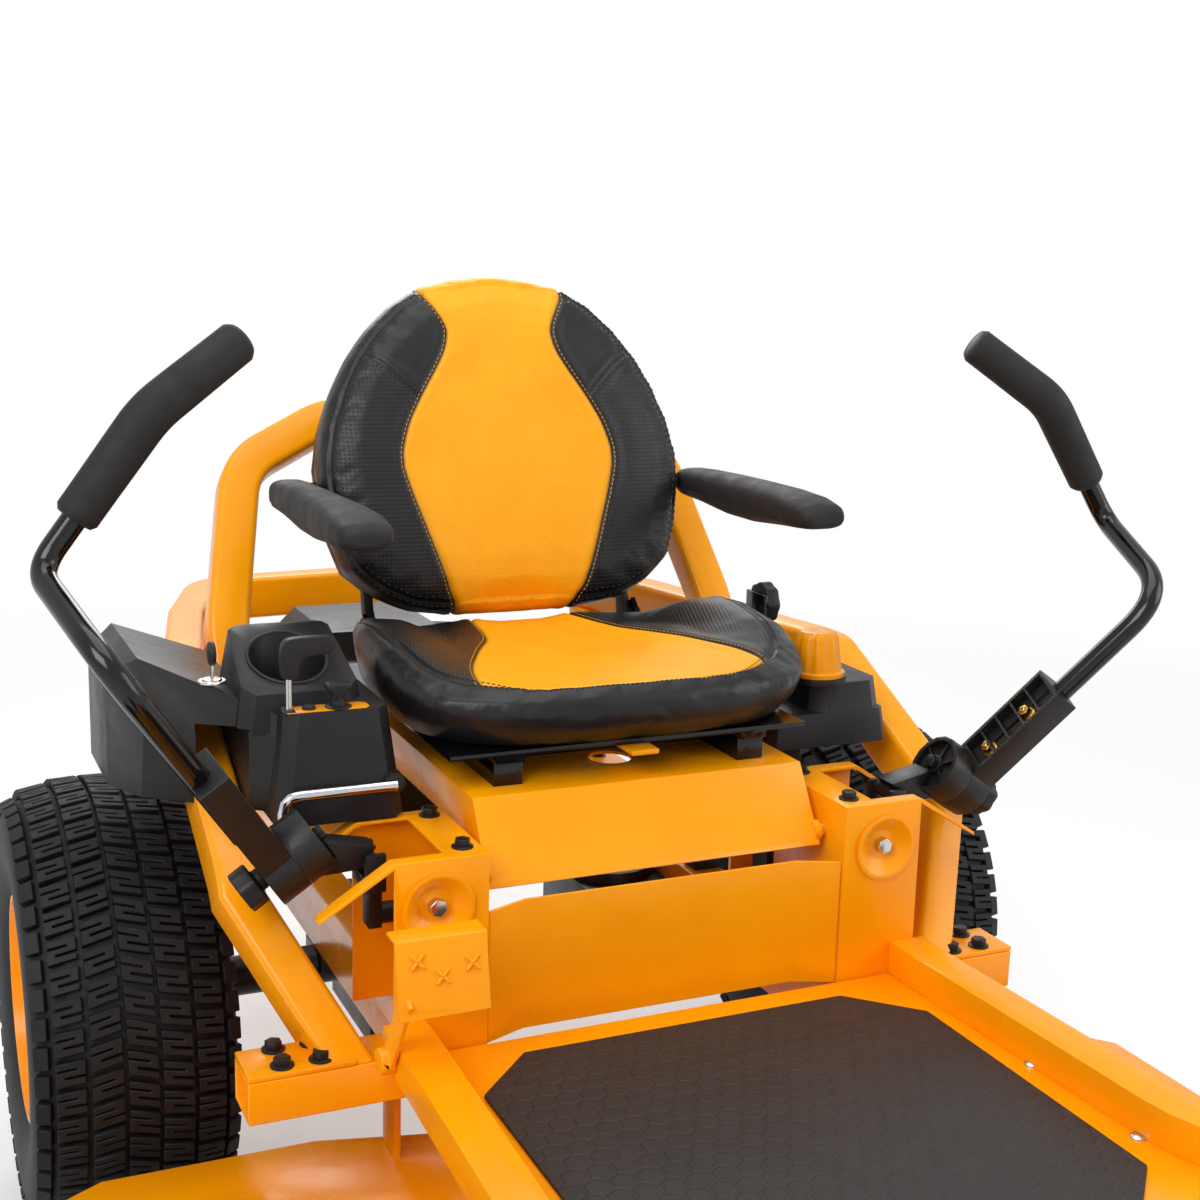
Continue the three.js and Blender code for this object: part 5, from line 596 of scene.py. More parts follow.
class NodeKit:
    """Builds one node tree."""

    def __init__(self, tree: NodeTree) -> None:
        """Keeps the tree."""
        self.tree = tree

    def add(self, kind: str, settings: dict[str, object] | None = None,
            inputs: dict[object, object] | None = None, output: object = 0) -> Wire:
        """Adds a node.

        Args:
            kind: The node's type.
            settings: Its own settings, which are set first; ``stops`` is a ramp's stops.
            inputs: Values or wires by socket name or number.
            output: The name or number of the socket to return.

        Returns:
            A wire from that output.
        """
        node = self.tree.nodes.new(kind)
        for key, value in (settings or {}).items():
            if key == "stops":
                ramp = node.color_ramp
                while len(ramp.elements) < len(value):
                    ramp.elements.new(1.0)
                for element, (place, colour) in zip(ramp.elements, value):
                    element.position = place
                    element.color = colour
            else:
                setattr(node, key, value)
        self.feed(node, inputs or {})
        return Wire(self, node.outputs[output])

    def feed(self, node: Node, inputs: dict[object, object]) -> None:
        """Sets or links a node's inputs.

        Args:
            node: The node.
            inputs: Values or wires by socket name or number.
        """
        for key, value in inputs.items():
            if isinstance(value, Wire):
                self.tree.links.new(value.socket, node.inputs[key])
            else:
                node.inputs[key].default_value = value

    def compute(self, operation: str, *values: object) -> Wire:
        """The result of one Math node."""
        return self.add("ShaderNodeMath", {"operation": operation}, dict(enumerate(values)))

    def mix(self, factor: object, first: object, second: object) -> Wire:
        """Mixes two colours.

        Args:
            factor: 0 for the first and 1 for the second.
            first: The first colour.
            second: The second colour.

        Returns:
            The mixed colour.
        """
        return self.add("ShaderNodeMix", {"data_type": "RGBA"}, {0: factor, 6: first, 7: second}, 2)

    def coords(self, scale: Point = (1.0, 1.0, 1.0)) -> Wire:
        """Object coordinates, scaled."""
        place = self.add("ShaderNodeTexCoord", output="Object")
        return self.add("ShaderNodeMapping", {"vector_type": "TEXTURE"},
                        {"Vector": place, "Scale": tuple(1 / s for s in scale)})

    def axis(self, name: str) -> Wire:
        """One of the object coordinates, in metres."""
        return self.add("ShaderNodeSeparateXYZ", None, {0: self.coords()}, name)

    def noise(self, size: float, detail: float = 2.0, place: Wire | None = None) -> Wire:
        """Noise from 0 to 1 whose lumps are about a size in millimetres across."""
        return self.add("ShaderNodeTexNoise", None,
                        {"Vector": place or self.coords(), "Scale": 1 / (size * MM), "Detail": detail})

    def cells(self, size: float, place: Wire | None = None, feature: str = "F1") -> Wire:
        """The distance to the nearest of cells of a size in millimetres."""
        return self.add("ShaderNodeTexVoronoi", {"feature": feature},
                        {"Vector": place or self.coords(), "Scale": 1 / (size * MM)}, "Distance")

    def attribute(self, name: str) -> Wire:
        """A number stored on the piece's own points."""
        return self.add("ShaderNodeAttribute", {"attribute_type": "GEOMETRY", "attribute_name": name}, None, "Fac")

    def bump(self, height: Wire, depth: float, strength: float = 1.0) -> Wire:
        """A normal from a height.

        Args:
            height: The height from 0 to 1.
            depth: How deep 1 is, in millimetres.
            strength: How much the bump shows.

        Returns:
            The normal.
        """
        return self.add("ShaderNodeBump", None, {"Strength": strength, "Distance": depth * MM, "Height": height})


def new_material(name: str) -> tuple[Material, NodeKit, Node]:
    """Starts a material.

    Args:
        name: Its name.

    Returns:
        The material, its node kit and its shader node.
    """
    material = bpy.data.materials.new(name)
    material.use_nodes = True
    shader = next(n for n in material.node_tree.nodes if n.type == "BSDF_PRINCIPLED")
    return material, NodeKit(material.node_tree), shader


# ---------------------------------------------------------------- finishes


class Grain(Enum):
    """The fine surface of a finish, with its depth in millimetres."""

    ORANGE_PEEL = 0.035
    MOULDED = 0.10
    CAST = 0.35
    BRUSHED = 0.02
    FOAM = 0.22
    SMOOTH = 0.01


@dataclass(frozen=True)
class Finish:
    """A finish of one colour, with its grain and its uneven tone and gloss.

    Attributes:
        name: The material's name.
        colour: The main sRGB colour.
        shade_colour: The sRGB colour of its darker cloudy patches.
        grain: The fine surface.
        roughness: The mean roughness.
        metallic: The share of metal.
        coat: The clear coat's weight.
        specular: How much a bare surface mirrors.
        coat_roughness: The clear coat's roughness.
    """

    name: str
    colour: str
    shade_colour: str
    grain: Grain
    roughness: float
    metallic: float = 0.0
    coat: float = 0.0
    specular: float = 0.5
    coat_roughness: float = 0.12

    def _height(self, kit: NodeKit) -> Wire:
        """The grain's height, from 0 to 1."""
        if self.grain is Grain.ORANGE_PEEL:
            return kit.noise(3.2, 1.0)
        if self.grain is Grain.MOULDED:
            return kit.noise(0.9) * 0.7 + kit.cells(1.6) * 0.3
        if self.grain is Grain.CAST:
            return kit.noise(2.4, 4.0)
        if self.grain is Grain.BRUSHED:
            return kit.noise(1.2, 3.0, kit.coords((0.06, 1.0, 1.0)))
        if self.grain is Grain.FOAM:
            return kit.cells(1.1) * 0.6 + kit.noise(0.6, 3.0) * 0.4
        return kit.noise(40.0, 1.0)

    def make(self) -> Material:
        """Builds the material."""
        material, kit, shader = new_material(self.name)
        cloud = kit.noise(90.0, 3.0).between(0.35, 0.7)
        speck = kit.noise(6.0, 3.0).between(0.45, 0.75)
        base = kit.mix(cloud * 0.55 + speck * 0.15, linear(self.colour), linear(self.shade_colour))
        smear = kit.noise(28.0, 4.0).between(0.3, 0.75)
        kit.feed(shader, {"Base Color": base, "Metallic": self.metallic, "Specular IOR Level": self.specular,
                          "Roughness": self.roughness * 0.86 + smear * (self.roughness * 0.3),
                          "Normal": kit.bump(self._height(kit), self.grain.value)})
        if self.coat:
            kit.feed(shader, {"Coat Weight": self.coat, "Coat Roughness": self.coat_roughness})
        return material


@dataclass(frozen=True)
class Upholstery:
    """The seat's stitched vinyl: a yellow centre, embossed or perforated black and seams.

    The piece's points carry ``panel``, ``mesh_zone`` and ``seam`` distances in millimetres.

    Attributes:
        name: The material's name.
        pitch: The size of the sides' pattern in millimetres.
        perforated: Whether the sides have small holes and not a woven emboss.
        panel: The centre's sRGB colour.
        panel_shade: The colour of its darker random patches, and of the painted shade in its wrinkles.
        bolster: The sides' sRGB colour.
        bolster_shade: The colour of their darker patches.
        hollow: The painted shade in the pattern's holes and low places.
        crease: The painted shade along a seam's groove.
        specular: How much the vinyl mirrors.
    """

    name: str
    pitch: float
    perforated: bool
    panel: str = "fcab04"
    panel_shade: str = "dc8c02"
    bolster: str = "1b1a1b"
    bolster_shade: str = "121111"
    hollow: str = "050505"
    crease: str = "0a0806"
    specular: float = 0.32

    def _holes(self, kit: NodeKit) -> Wire:
        """Rows of small round holes across the front; 0 in a hole."""
        rows = [(kit.axis(a) / (self.pitch * MM)).apply("FRACT") - 0.5 for a in ("X", "Z")]
        return (rows[0] * rows[0] + rows[1] * rows[1]).apply("SQRT").between(0.16, 0.3)

    def _weave(self, kit: NodeKit) -> Wire:
        """A slanting emboss; 0 in its low places."""
        x, y, z = [kit.axis(a) for a in ("X", "Y", "Z")]
        across = (x + y * 0.55 + z) / (self.pitch * MM)
        along = (y + z * 0.8 - x * 0.35) / (self.pitch * MM)
        return ((across * TAU).apply("SINE") * (along * TAU).apply("SINE")).between(-0.35, 0.35)

    def make(self) -> Material:
        """Builds the material."""
        material, kit, shader = new_material(self.name)
        inside = kit.attribute("panel").between(-0.25, 0.25)
        zone = kit.attribute("mesh_zone").between(-0.3, 0.3)
        seam = kit.attribute("seam").between(0.8, 2.6)
        wrinkle = kit.cells(3.4, kit.coords((1.0, 1.0, 1.5)), "DISTANCE_TO_EDGE").between(0.0, 0.3)
        fold = kit.noise(16.0, 5.0, kit.coords((0.6, 1.0, 1.6)))
        pattern = self._holes(kit) if self.perforated else self._weave(kit)
        grain = kit.noise(1.3, 3.0)
        tone = kit.noise(60.0, 3.0).between(0.3, 0.75)
        # Darker random patches, plus painted shade along the wrinkles' lines.
        yellow = kit.mix(tone * 0.3 + (1.0 - wrinkle) * 0.12, linear(self.panel), linear(self.panel_shade))
        dark = kit.mix(tone * 0.6, linear(self.bolster), linear(self.bolster_shade))
        # Painted shade: the pattern's holes and low places are darkened towards near-black.
        dark = kit.mix((1.0 - pattern) * zone * 0.6, dark, linear(self.hollow))
        colour = kit.mix(inside, dark, yellow)
        leather = wrinkle * 0.3 + fold * 0.6 + grain * 0.1
        shallow = inside * leather + (1.0 - inside) * (grain * 0.3 + (pattern * zone + (1.0 - zone)) * 0.7)
        # Painted shade darkens the vinyl along each seam's groove.
        kit.feed(shader, {"Base Color": kit.mix((1.0 - seam) * 0.6, colour, linear(self.crease)),
                          "Roughness": 0.3 + grain * 0.12 + inside * 0.16, "Specular IOR Level": self.specular,
                          "Normal": kit.bump(shallow, 0.9 if self.perforated else 0.45, 0.75)})
        return material


@dataclass(frozen=True)
class TyreRubber:
    """Dull black rubber with paler scuffs.

    Attributes:
        name: The material's name.
        colour: The clean sRGB colour.
        scuffed: The scuffs' sRGB colour.
        specular: How much it mirrors.
    """

    name: str
    colour: str
    scuffed: str = "232325"
    specular: float = 0.3

    def make(self) -> Material:
        """Builds the material."""
        material, kit, shader = new_material(self.name)
        scuff = kit.noise(14.0, 5.0).between(0.4, 0.8)
        fine = kit.noise(1.6, 3.0)
        kit.feed(shader, {"Base Color": kit.mix(scuff * 0.5, linear(self.colour), linear(self.scuffed)),
                          "Roughness": 0.5 + fine * 0.25, "Specular IOR Level": self.specular,
                          "Normal": kit.bump(fine * 0.6 + scuff * 0.4, 0.25)})
        return material


@dataclass(frozen=True)
class FloorMat:
    """Black rubber matting with raised hexagons.

    Attributes:
        name: The material's name.
        pitch: The hexagons' spacing in millimetres.
        colour: The main sRGB colour.
        worn: The colour where it is worn.
        rise: How high the hexagons stand in millimetres.
    """

    name: str
    pitch: float = 26.0
    colour: str = "161616"
    worn: str = "222120"
    rise: float = 1.2

    def make(self) -> Material:
        """Builds the material."""
        material, kit, shader = new_material(self.name)
        row = math.sqrt(3.0)
        a, b = kit.axis("X") / (self.pitch * MM), kit.axis("Y") / (self.pitch * MM * row)

        def grid(first: Wire, second: Wire) -> Wire:
            """How far a place is from the nearest node of a stretched grid."""
            along = ((second.apply("FRACT") - 0.5) * row).apply("ABSOLUTE")
            side = (first.apply("FRACT") - 0.5).apply("ABSOLUTE")
            return side.apply("MAXIMUM", side * 0.5 + along * (row / 2))

        hexagon = grid(a, b).apply("MINIMUM", grid(a + 0.5, b + 0.5))
        raised = 1.0 - hexagon.between(0.38, 0.44)
        wear = kit.noise(40.0, 4.0).between(0.4, 0.75)
        kit.feed(shader, {"Base Color": kit.mix(wear * 0.6, linear(self.colour), linear(self.worn)),
                          "Roughness": 0.5 + kit.noise(2.0, 3.0) * 0.25,
                          "Normal": kit.bump(raised * 0.85 + kit.noise(1.2) * 0.15, self.rise)})
        return material


class Palette:
    """Every finish of the machine, made once.

    Attributes:
        SLOTS: The record's material slot for each finish that a CAD node's copy has.
    """

    SLOTS = {"yellow": "yellow_paint", "gloss_black": "black_paint", "cast_black": "black_casting",
             "mat": "mat_rubber", "black_plastic": "black_plastic", "yellow_plastic": "yellow_plastic",
             "chrome": "chrome", "steel": "bare_steel"}

    def __init__(self) -> None:
        """Builds the materials."""
        self.yellow = Finish("yellow_powder_coat", "ffa402", "f99800", Grain.ORANGE_PEEL, 0.26, coat=0.14,
                             specular=0.24).make()
        self.gloss_black = Finish("gloss_black_paint", "070708", "0d0d0e", Grain.ORANGE_PEEL, 0.15, coat=0.2,
                                  specular=0.32).make()
        self.cast_black = Finish("satin_black_casting", "100f0f", "181717", Grain.CAST, 0.4, specular=0.4).make()
        self.black_plastic = Finish("black_moulded_plastic", "171618", "201f21", Grain.MOULDED, 0.44,
                                    specular=0.32).make()
        self.yellow_plastic = Finish("yellow_moulded_plastic", "f39c04", "e28c00", Grain.MOULDED, 0.32,
                                     specular=0.3).make()
        self.foam = Finish("black_foam", "1b1a1b", "252426", Grain.FOAM, 0.66, specular=0.3).make()
        self.chrome = Finish("chrome_plate", "d9d9dc", "c4c5c9", Grain.SMOOTH, 0.1, 1.0).make()
        self.steel = Finish("bare_steel", "b4b5b6", "96979a", Grain.BRUSHED, 0.3, 1.0).make()
        self.zinc = Finish("bright_zinc", "cfcfcc", "b3b2ad", Grain.SMOOTH, 0.24, 1.0).make()
        self.gold = Finish("yellow_zinc", "c9a14a", "a8853a", Grain.SMOOTH, 0.3, 1.0).make()
        self.iron = Finish("black_oxide", "202022", "2f2f30", Grain.CAST, 0.38, 0.6).make()
        self.thread = Finish("light_stitching", "c8952c", "a87a20", Grain.FOAM, 0.7).make()
        self.dark_thread = Finish("dark_stitching", "2c2a2a", "1e1d1d", Grain.FOAM, 0.6).make()
        self.tyre = TyreRubber("tyre_rubber", "101012").make()
        self.rubber = TyreRubber("moulded_rubber", "161617").make()
        self.mat = FloorMat("foot_mat_rubber").make()
        self.back_vinyl = Upholstery("backrest_vinyl", 5.2, True).make()
        self.seat_vinyl = Upholstery("seat_vinyl", 6.5, False).make()


# ---------------------------------------------------------------- repeats


class Scatter:
    """A Geometry Nodes tree that sets copies of one small shape on points, each with its own axes."""

    def __init__(self) -> None:
        """Builds the tree, with named inputs for the shape, its size and its finish."""
        tree = bpy.data.node_groups.new("set_on_points", "GeometryNodeTree")
        face = tree.interface
        face.new_socket("Points", in_out="INPUT", socket_type="NodeSocketGeometry")
        self.shape = face.new_socket("Shape", in_out="INPUT", socket_type="NodeSocketObject")
        self.size = face.new_socket("Size", in_out="INPUT", socket_type="NodeSocketFloat")
        self.finish = face.new_socket("Finish", in_out="INPUT", socket_type="NodeSocketMaterial")
        face.new_socket("Result", in_out="OUTPUT", socket_type="NodeSocketGeometry")
        kit = NodeKit(tree)
        inputs = tree.nodes.new("NodeGroupInput")
        outputs = tree.nodes.new("NodeGroupOutput")
        given = {s.name: Wire(kit, s) for s in inputs.outputs if s.name}
        normal = kit.add("GeometryNodeInputNamedAttribute", {"data_type": "FLOAT_VECTOR"}, {"Name": "axis_up"})
        tangent = kit.add("GeometryNodeInputNamedAttribute", {"data_type": "FLOAT_VECTOR"}, {"Name": "axis_along"})
        turn = kit.add("FunctionNodeAxesToRotation", {"primary_axis": "Z", "secondary_axis": "X"},
                       {"Primary Axis": normal, "Secondary Axis": tangent})
        shape = kit.add("GeometryNodeObjectInfo", {"transform_space": "ORIGINAL"}, {"Object": given["Shape"]},
                        "Geometry")
        points = kit.add("GeometryNodeMeshToPoints", None, {"Mesh": given["Points"]})
        copies = kit.add("GeometryNodeInstanceOnPoints", None,
                         {"Points": points, "Instance": shape, "Rotation": turn, "Scale": given["Size"]})
        real = kit.add("GeometryNodeRealizeInstances", None, {0: copies})
        dressed = kit.add("GeometryNodeSetMaterial", None, {"Geometry": real, "Material": given["Finish"]})
        tree.links.new(dressed.socket, outputs.inputs[0])
        self.tree = tree

    def place(self, name: str, shape: Object, spots: Sequence[tuple[Vector, Vector, Vector]],
              material: Material, angle: float = SMOOTH_ANGLE) -> Object:
        """Sets a shape on spots.

        Args:
            name: The new piece's name.
            shape: The shape, standing on the origin along +Z.
            spots: For each copy its place, its up direction and its along direction.
            material: The finish.
            angle: The sharpest edge in degrees that is shaded smooth.

        Returns:
            The new piece as a plain mesh.
        """
        mesh = bpy.data.meshes.new(name)
        mesh.from_pydata([tuple(s[0]) for s in spots], [], [])
        for label, index in (("axis_up", 1), ("axis_along", 2)):
            layer = mesh.attributes.new(label, "FLOAT_VECTOR", "POINT")
            layer.data.foreach_set("vector", [c for s in spots for c in s[index]])
        obj = linked(name, mesh)
        modifier = obj.modifiers.new("copies", "NODES")
        modifier.node_group = self.tree
        modifier[self.shape.identifier] = shape
        modifier[self.size.identifier] = 1.0
        modifier[self.finish.identifier] = material
        obj = applied(obj)
        for label in ("axis_up", "axis_along"):
            layer = obj.data.attributes.get(label)
            if layer:
                obj.data.attributes.remove(layer)
        return shade(obj, angle)


@dataclass
class Section:
    """A group of pieces that is built with the machine's shared tools.

    Attributes:
        paints: The finishes.
        scatter: The tree that sets small shapes on points.
        bolts: Where fasteners are noted.
    """

    paints: Palette
    scatter: Scatter
    bolts: "Fasteners"

    def dress(self, body: str, node: str, name: str, finish: str, bevel: float, segments: int = 3,
              angle: float = EDGE_ANGLE) -> None:
        """Makes a piece from a CAD node's own shape and puts it on its body.

        Args:
            body: The CAD body.
            node: The CAD node.
            name: The piece's name.
            finish: The palette's name of its finish.
            bevel: The edge radius in millimetres, or 0 for none.
            segments: How many faces go round each edge.
            angle: The sharpest edge in degrees that stays smooth.
        """
        obj = skin_of(node, name, getattr(self.paints, finish), bevel, segments, angle)
        done(obj, body, self.paints.SLOTS[finish])


# ---------------------------------------------------------------- soft pieces


def distance_to_line(points: np.ndarray, line: Line) -> np.ndarray:
    """How far flat points lie from a broken line.

    Args:
        points: N flat points.
        line: The line's corners.

    Returns:
        N distances in the same unit.
    """
    best = np.full(len(points), 1e9)
    for start, end in zip(np.array(line[:-1], float), np.array(line[1:], float)):
        step = end - start
        share = np.clip(((points - start) @ step) / max(step @ step, 1e-12), 0, 1)
        best = np.minimum(best, np.linalg.norm(points - (start + share[:, None] * step), axis=1))
    return best


def spaced(line: Line, pitch: float) -> list[tuple[float, float]]:
    """Points at one pitch along a broken flat line.

    Args:
        line: The line's corners.
        pitch: The spacing.

    Returns:
        The points.
    """
    corners = np.array(line, float)
    lengths = np.concatenate([[0], np.cumsum(np.linalg.norm(np.diff(corners, axis=0), axis=1))])
    marks = np.arange(pitch / 2, lengths[-1], pitch)
    return [(float(np.interp(m, lengths, corners[:, 0])), float(np.interp(m, lengths, corners[:, 1]))) for m in marks]


def smooth_line(line: Line, steps: int = 8) -> list[tuple[float, float]]:
    """A rounder copy of a broken flat line, through its corners.

    Args:
        line: The line's corners.
        steps: How many points each stretch gets.

    Returns:
        The points.
    """
    p = [np.array(line[0], float), *[np.array(c, float) for c in line], np.array(line[-1], float)]
    found = []
    for i in range(1, len(p) - 2):
        for n in range(steps):
            t = n / steps
            found.append(0.5 * (2 * p[i] + (p[i + 1] - p[i - 1]) * t
                                + (2 * p[i - 1] - 5 * p[i] + 4 * p[i + 1] - p[i + 2]) * t ** 2
                                + (3 * p[i] - p[i - 1] - 3 * p[i + 1] + p[i + 2]) * t ** 3))
    found.append(p[-1])
    return [(float(a), float(b)) for a, b in found]


def shifted(line: Line, by: float) -> list[tuple[float, float]]:
    """A flat line moved sideways.

    Args:
        line: The line's points.
        by: How far, to the left of its heading.

    Returns:
        The moved points.
    """
    points = np.array(line, float)
    way = np.gradient(points, axis=0)
    way /= np.maximum(np.linalg.norm(way, axis=1), 1e-9)[:, None]
    return [(float(a), float(b)) for a, b in points + np.stack([-way[:, 1], way[:, 0]], axis=1) * by]


def seam_relief(seam: np.ndarray, depth: float, swell: float) -> np.ndarray:
    """The height of stuffed vinyl near a seam, in millimetres.

    Args:
        seam: The distance from the seam.
        depth: The depth of its groove, and its half width.
        swell: How far the vinyl swells beside it.

    Returns:
        The height.
    """
    return -depth * np.exp(-(seam / depth) ** 2) + swell * np.exp(-((seam - 9) / 7) ** 2)


class Pad:
    """One stuffed or foam piece, grown from its CAD solid.

    Attributes:
        STEPS: How many steps the cloth runs.
        STIFFNESS: How strongly the cloth holds its size.
        BENDING: How strongly it holds its curve.
    """

    STEPS = 12
    STIFFNESS = 25.0
    BENDING = 1.0

    def __init__(self, node: str, name: str, voxel: float, material: Material) -> None:
        """Copies the CAD solid and remeshes it finely.

        Args:
            node: The CAD node.
            name: The piece's name.
            voxel: The remesh size in millimetres.
            material: The cover.
        """
        self.node = node
        self.obj = cad_copy(node, name, material)
        remesh = self.obj.modifiers.new("fine", "REMESH")
        remesh.mode = "VOXEL"
        remesh.voxel_size = voxel * MM
        smooth = self.obj.modifiers.new("even", "SMOOTH")
        smooth.factor = 0.5
        smooth.iterations = 6
        applied(self.obj)
        if not self.obj.data.materials:
            self.obj.data.materials.append(material)

    def inflate(self, pressure: float, cap: float) -> None:
        """Swells the pad as cloth under pressure, by a limited distance.

        Args:
            pressure: The cloth's inner pressure.
            cap: How far a point may move, in millimetres.
        """
        rest = self.points()
        cloth = self.obj.modifiers.new("cloth", "CLOTH")
        cloth.settings.use_pressure = True
        cloth.settings.uniform_pressure_force = pressure
        cloth.settings.effector_weights.gravity = 0.0
        cloth.settings.quality = 4
        cloth.settings.tension_stiffness = cloth.settings.compression_stiffness = self.STIFFNESS
        cloth.settings.bending_stiffness = self.BENDING
        cloth.collision_settings.use_collision = False
        scene = bpy.context.scene
        for step in range(self.STEPS):
            scene.frame_set(step + 1)
        applied(self.obj)
        scene.frame_set(1)
        moved = self.points() - rest
        share = np.minimum(1.0, cap * MM / np.maximum(np.linalg.norm(moved, axis=1), 1e-9))
        self.set_points(rest + moved * share[:, None])

    def points(self) -> np.ndarray:
        """The points' places in metres."""
        places = np.zeros(len(self.obj.data.vertices) * 3)
        self.obj.data.vertices.foreach_get("co", places)
        return places.reshape(-1, 3)

    def flat(self) -> np.ndarray:
        """The points' places in millimetres from the rear axle's middle."""
        return (self.points() - np.array(ORIGIN)) / MM

    def smoothed(self, values: np.ndarray, rounds: int) -> np.ndarray:
        """Numbers on the points, evened out along the edges.

        Args:
            values: A number for each point.
            rounds: How many times each point takes the mean of its neighbours.

        Returns:
            The evened numbers.
        """
        ends = np.empty(len(self.obj.data.edges) * 2, dtype=np.int32)
        self.obj.data.edges.foreach_get("vertices", ends)
        first, second = ends[::2], ends[1::2]
        count = np.bincount(ends, minlength=len(values))
        for _ in range(rounds):
            total = np.bincount(first, values[second], len(values)) + np.bincount(second, values[first], len(values))
            values = (values + total) / (count + 1)
        return values

    def normals(self) -> np.ndarray:
        """The points' normals."""
        found = np.zeros(len(self.obj.data.vertices) * 3)
        self.obj.data.vertex_normals.foreach_get("vector", found)
        return found.reshape(-1, 3)

    def set_points(self, places: np.ndarray) -> None:
        """Moves every point."""
        self.obj.data.vertices.foreach_set("co", places.ravel())
        self.obj.data.update()

    def refine(self) -> None:
        """Subdivides the mesh once."""
        step = self.obj.modifiers.new("finer", "SUBSURF")
        step.levels = step.render_levels = 1
        applied(self.obj)

    def offset(self, amount: np.ndarray) -> None:
        """Moves each point along its normal by an amount in millimetres."""
        self.set_points(self.points() + self.normals() * amount[:, None] * MM)

    def store(self, **layers: np.ndarray) -> None:
        """Stores numbers on the points, by name."""
        for name, values in layers.items():
            layer = self.obj.data.attributes.new(name, "FLOAT", "POINT")
            layer.data.foreach_set("value", values.astype(np.float32))

    def finish(self, body: str, slot: str, fill: float) -> Object:
        """Args:
            body: The CAD body.
            slot: The record's material slot; not used.
            fill: How full it is, from 0 to 1; not used.

        Returns:
            The piece.
        """
        for face in self.obj.data.polygons:
            face.use_smooth = True
        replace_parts(self.obj, self.node)
        return done(self.obj, body, slot)


@dataclass
class Seat(Section):
    """The seat: cushion, backrest, armrests, shell, slides, recline knob and latch.

    Attributes:
        back_widths: The backrest panel's half width at each height, in millimetres.
        panel_shift: How far the backrest's panel sits to the machine's left.
        cushion_widths: The cushion panel's half width at each depth, in millimetres.
        nose_seam: The cushion's seam round its top, across and along, on the left side.
        cross_seam: The backrest's slanting seam on the left side, across and up.
        stitch_pitch: The spacing of the stitches in millimetres.
        lean: How far the backrest leans, in radians.
        edge_angle: How far the backrest's face has turned at its edge seam, in radians.
        edge_radius: The rounding of that edge in millimetres.
        edge_middle: The height in millimetres round which the edge seam runs.
        edge_step: The angle between its stitches.
        zone_turn: How far the edge's turn keeps clear of the perforations, in millimetres.
        panel_hollow: How far each yellow panel sinks, in millimetres.
        far: A distance that counts as away from any seam.
        beyond: The distance kept for the panel where it can't be.
    """

    back_widths: tuple[tuple[float, float], ...] = (
        (690, 72), (758, 84), (780, 93), (810, 103), (842, 114), (874, 125), (903, 135), (931, 143), (948, 145),
        (965, 143), (992, 134), (1018, 120), (1040, 106), (1064, 90), (1085, 78), (1104, 73), (1118, 75),
        (1138, 86), (1160, 100), (1230, 130))
    panel_shift: float = -6.0
    cushion_widths: tuple[tuple[float, float], ...] = (
        (-20, 66), (-70, 74), (-125, 84), (-180, 100), (-250, 136), (-310, 164), (-345, 175), (-374, 178),
        (-420, 178))
    nose_seam: tuple[tuple[float, float], ...] = (
        (0, -413), (56, -412), (108, -407), (140, -397), (165, -382), (188, -364), (208, -343), (222, -318),
        (231, -288), (236, -255), (240, -200), (244, -144), (246, -90), (244, -50), (234, -28))
    cross_seam: tuple[tuple[float, float], ...] = ((116, 1025), (140, 1048), (162, 1067), (200, 1086), (262, 1108))
    stitch_pitch: float = 6.0
    lean: float = math.radians(16.5)
    edge_angle: float = 0.85
    edge_radius: float = 26.0
    edge_middle: float = 960.0
    edge_step: float = 0.034
    zone_turn: float = 6.0
    panel_hollow: tuple[float, float] = (5.5, 5.0)
    far: float = 40.0
    beyond: float = 20.0

    def _stitch(self) -> Object:
        """One stitch, lying along X, made once."""
        found = bpy.data.objects.get("stitch_shape")
        if found:
            return found
        rings = [(-2.1, 0.1), (-1.8, 0.4), (-0.9, 0.62), (0.9, 0.62), (1.8, 0.4), (2.1, 0.1)]
        points = [Vector((x, r * math.cos(k * math.pi / 3), 0.25 + r * math.sin(k * math.pi / 3))) * MM
                  for x, r in rings for k in range(6)]
        obj = mesh_object("stitch_shape", points, ring_faces(len(rings), 6), self.paints.thread)
        return hidden(obj)

    def _sewn(self, name: str, hits: Sequence[tuple[Vector, Vector]],
              thread: Material) -> list[Object]:
        """Sets stitches in a row.

        Args:
            name: The piece's name.
            hits: The places, in order, with the surface's normals.
            thread: The thread's finish.

        Returns:
            A list of the one piece, or an empty list where there are too few places.
        """
        if len(hits) < 3:
            return []
        places = [place for place, _ in hits]
        spots = [(place + normal * 0.2 * MM, normal, heading(places, i).normalized())
                 for i, (place, normal) in enumerate(hits)]
        return [self.scatter.place(name, self._stitch(), spots, thread)]

    def _stitches(self, name: str, tree: BVHTree, line: Line, cast: Callable[[float, float], tuple[Vector, Vector]],
                  thread: Material) -> list[Object]:
        """Sews a line of stitches on a surface.

        Args:
            name: The piece's name.
            tree: The surface.
            line: The flat line.
            cast: Gives the start and direction of the ray for a flat point.
            thread: The thread's finish.

        Returns:
            A list of the one piece, or an empty list where the line misses the surface.
        """
        rays = [tree.ray_cast(*cast(a, b)) for a, b in spaced(line, self.stitch_pitch)]
        return self._sewn(name, [ray[:2] for ray in rays if ray[0] is not None], thread)

    def _edge_stitches(self, name: str, tree: BVHTree, places: np.ndarray) -> list[Object]:
        """Stitches along one side of the backrest's edge seam.

        Args:
            name: The piece's name.
            tree: The surface.
            places: The surface's points that lie on the line, in metres.

        Returns:
            A list of the one piece, or an empty list where there are no points.
        """
        middle = np.array(at(0, 0, self.edge_middle))
        angles = np.arctan2(places[:, 2] - middle[2], np.abs(places[:, 0] - middle[0]))
        bins = np.round(angles / self.edge_step).astype(int)
        path = [Vector(places[bins == b].mean(axis=0)) for b in sorted(set(bins.tolist()))]
        return self._sewn(name, [tree.find_nearest(p)[:2] for p in path], self.paints.dark_thread)

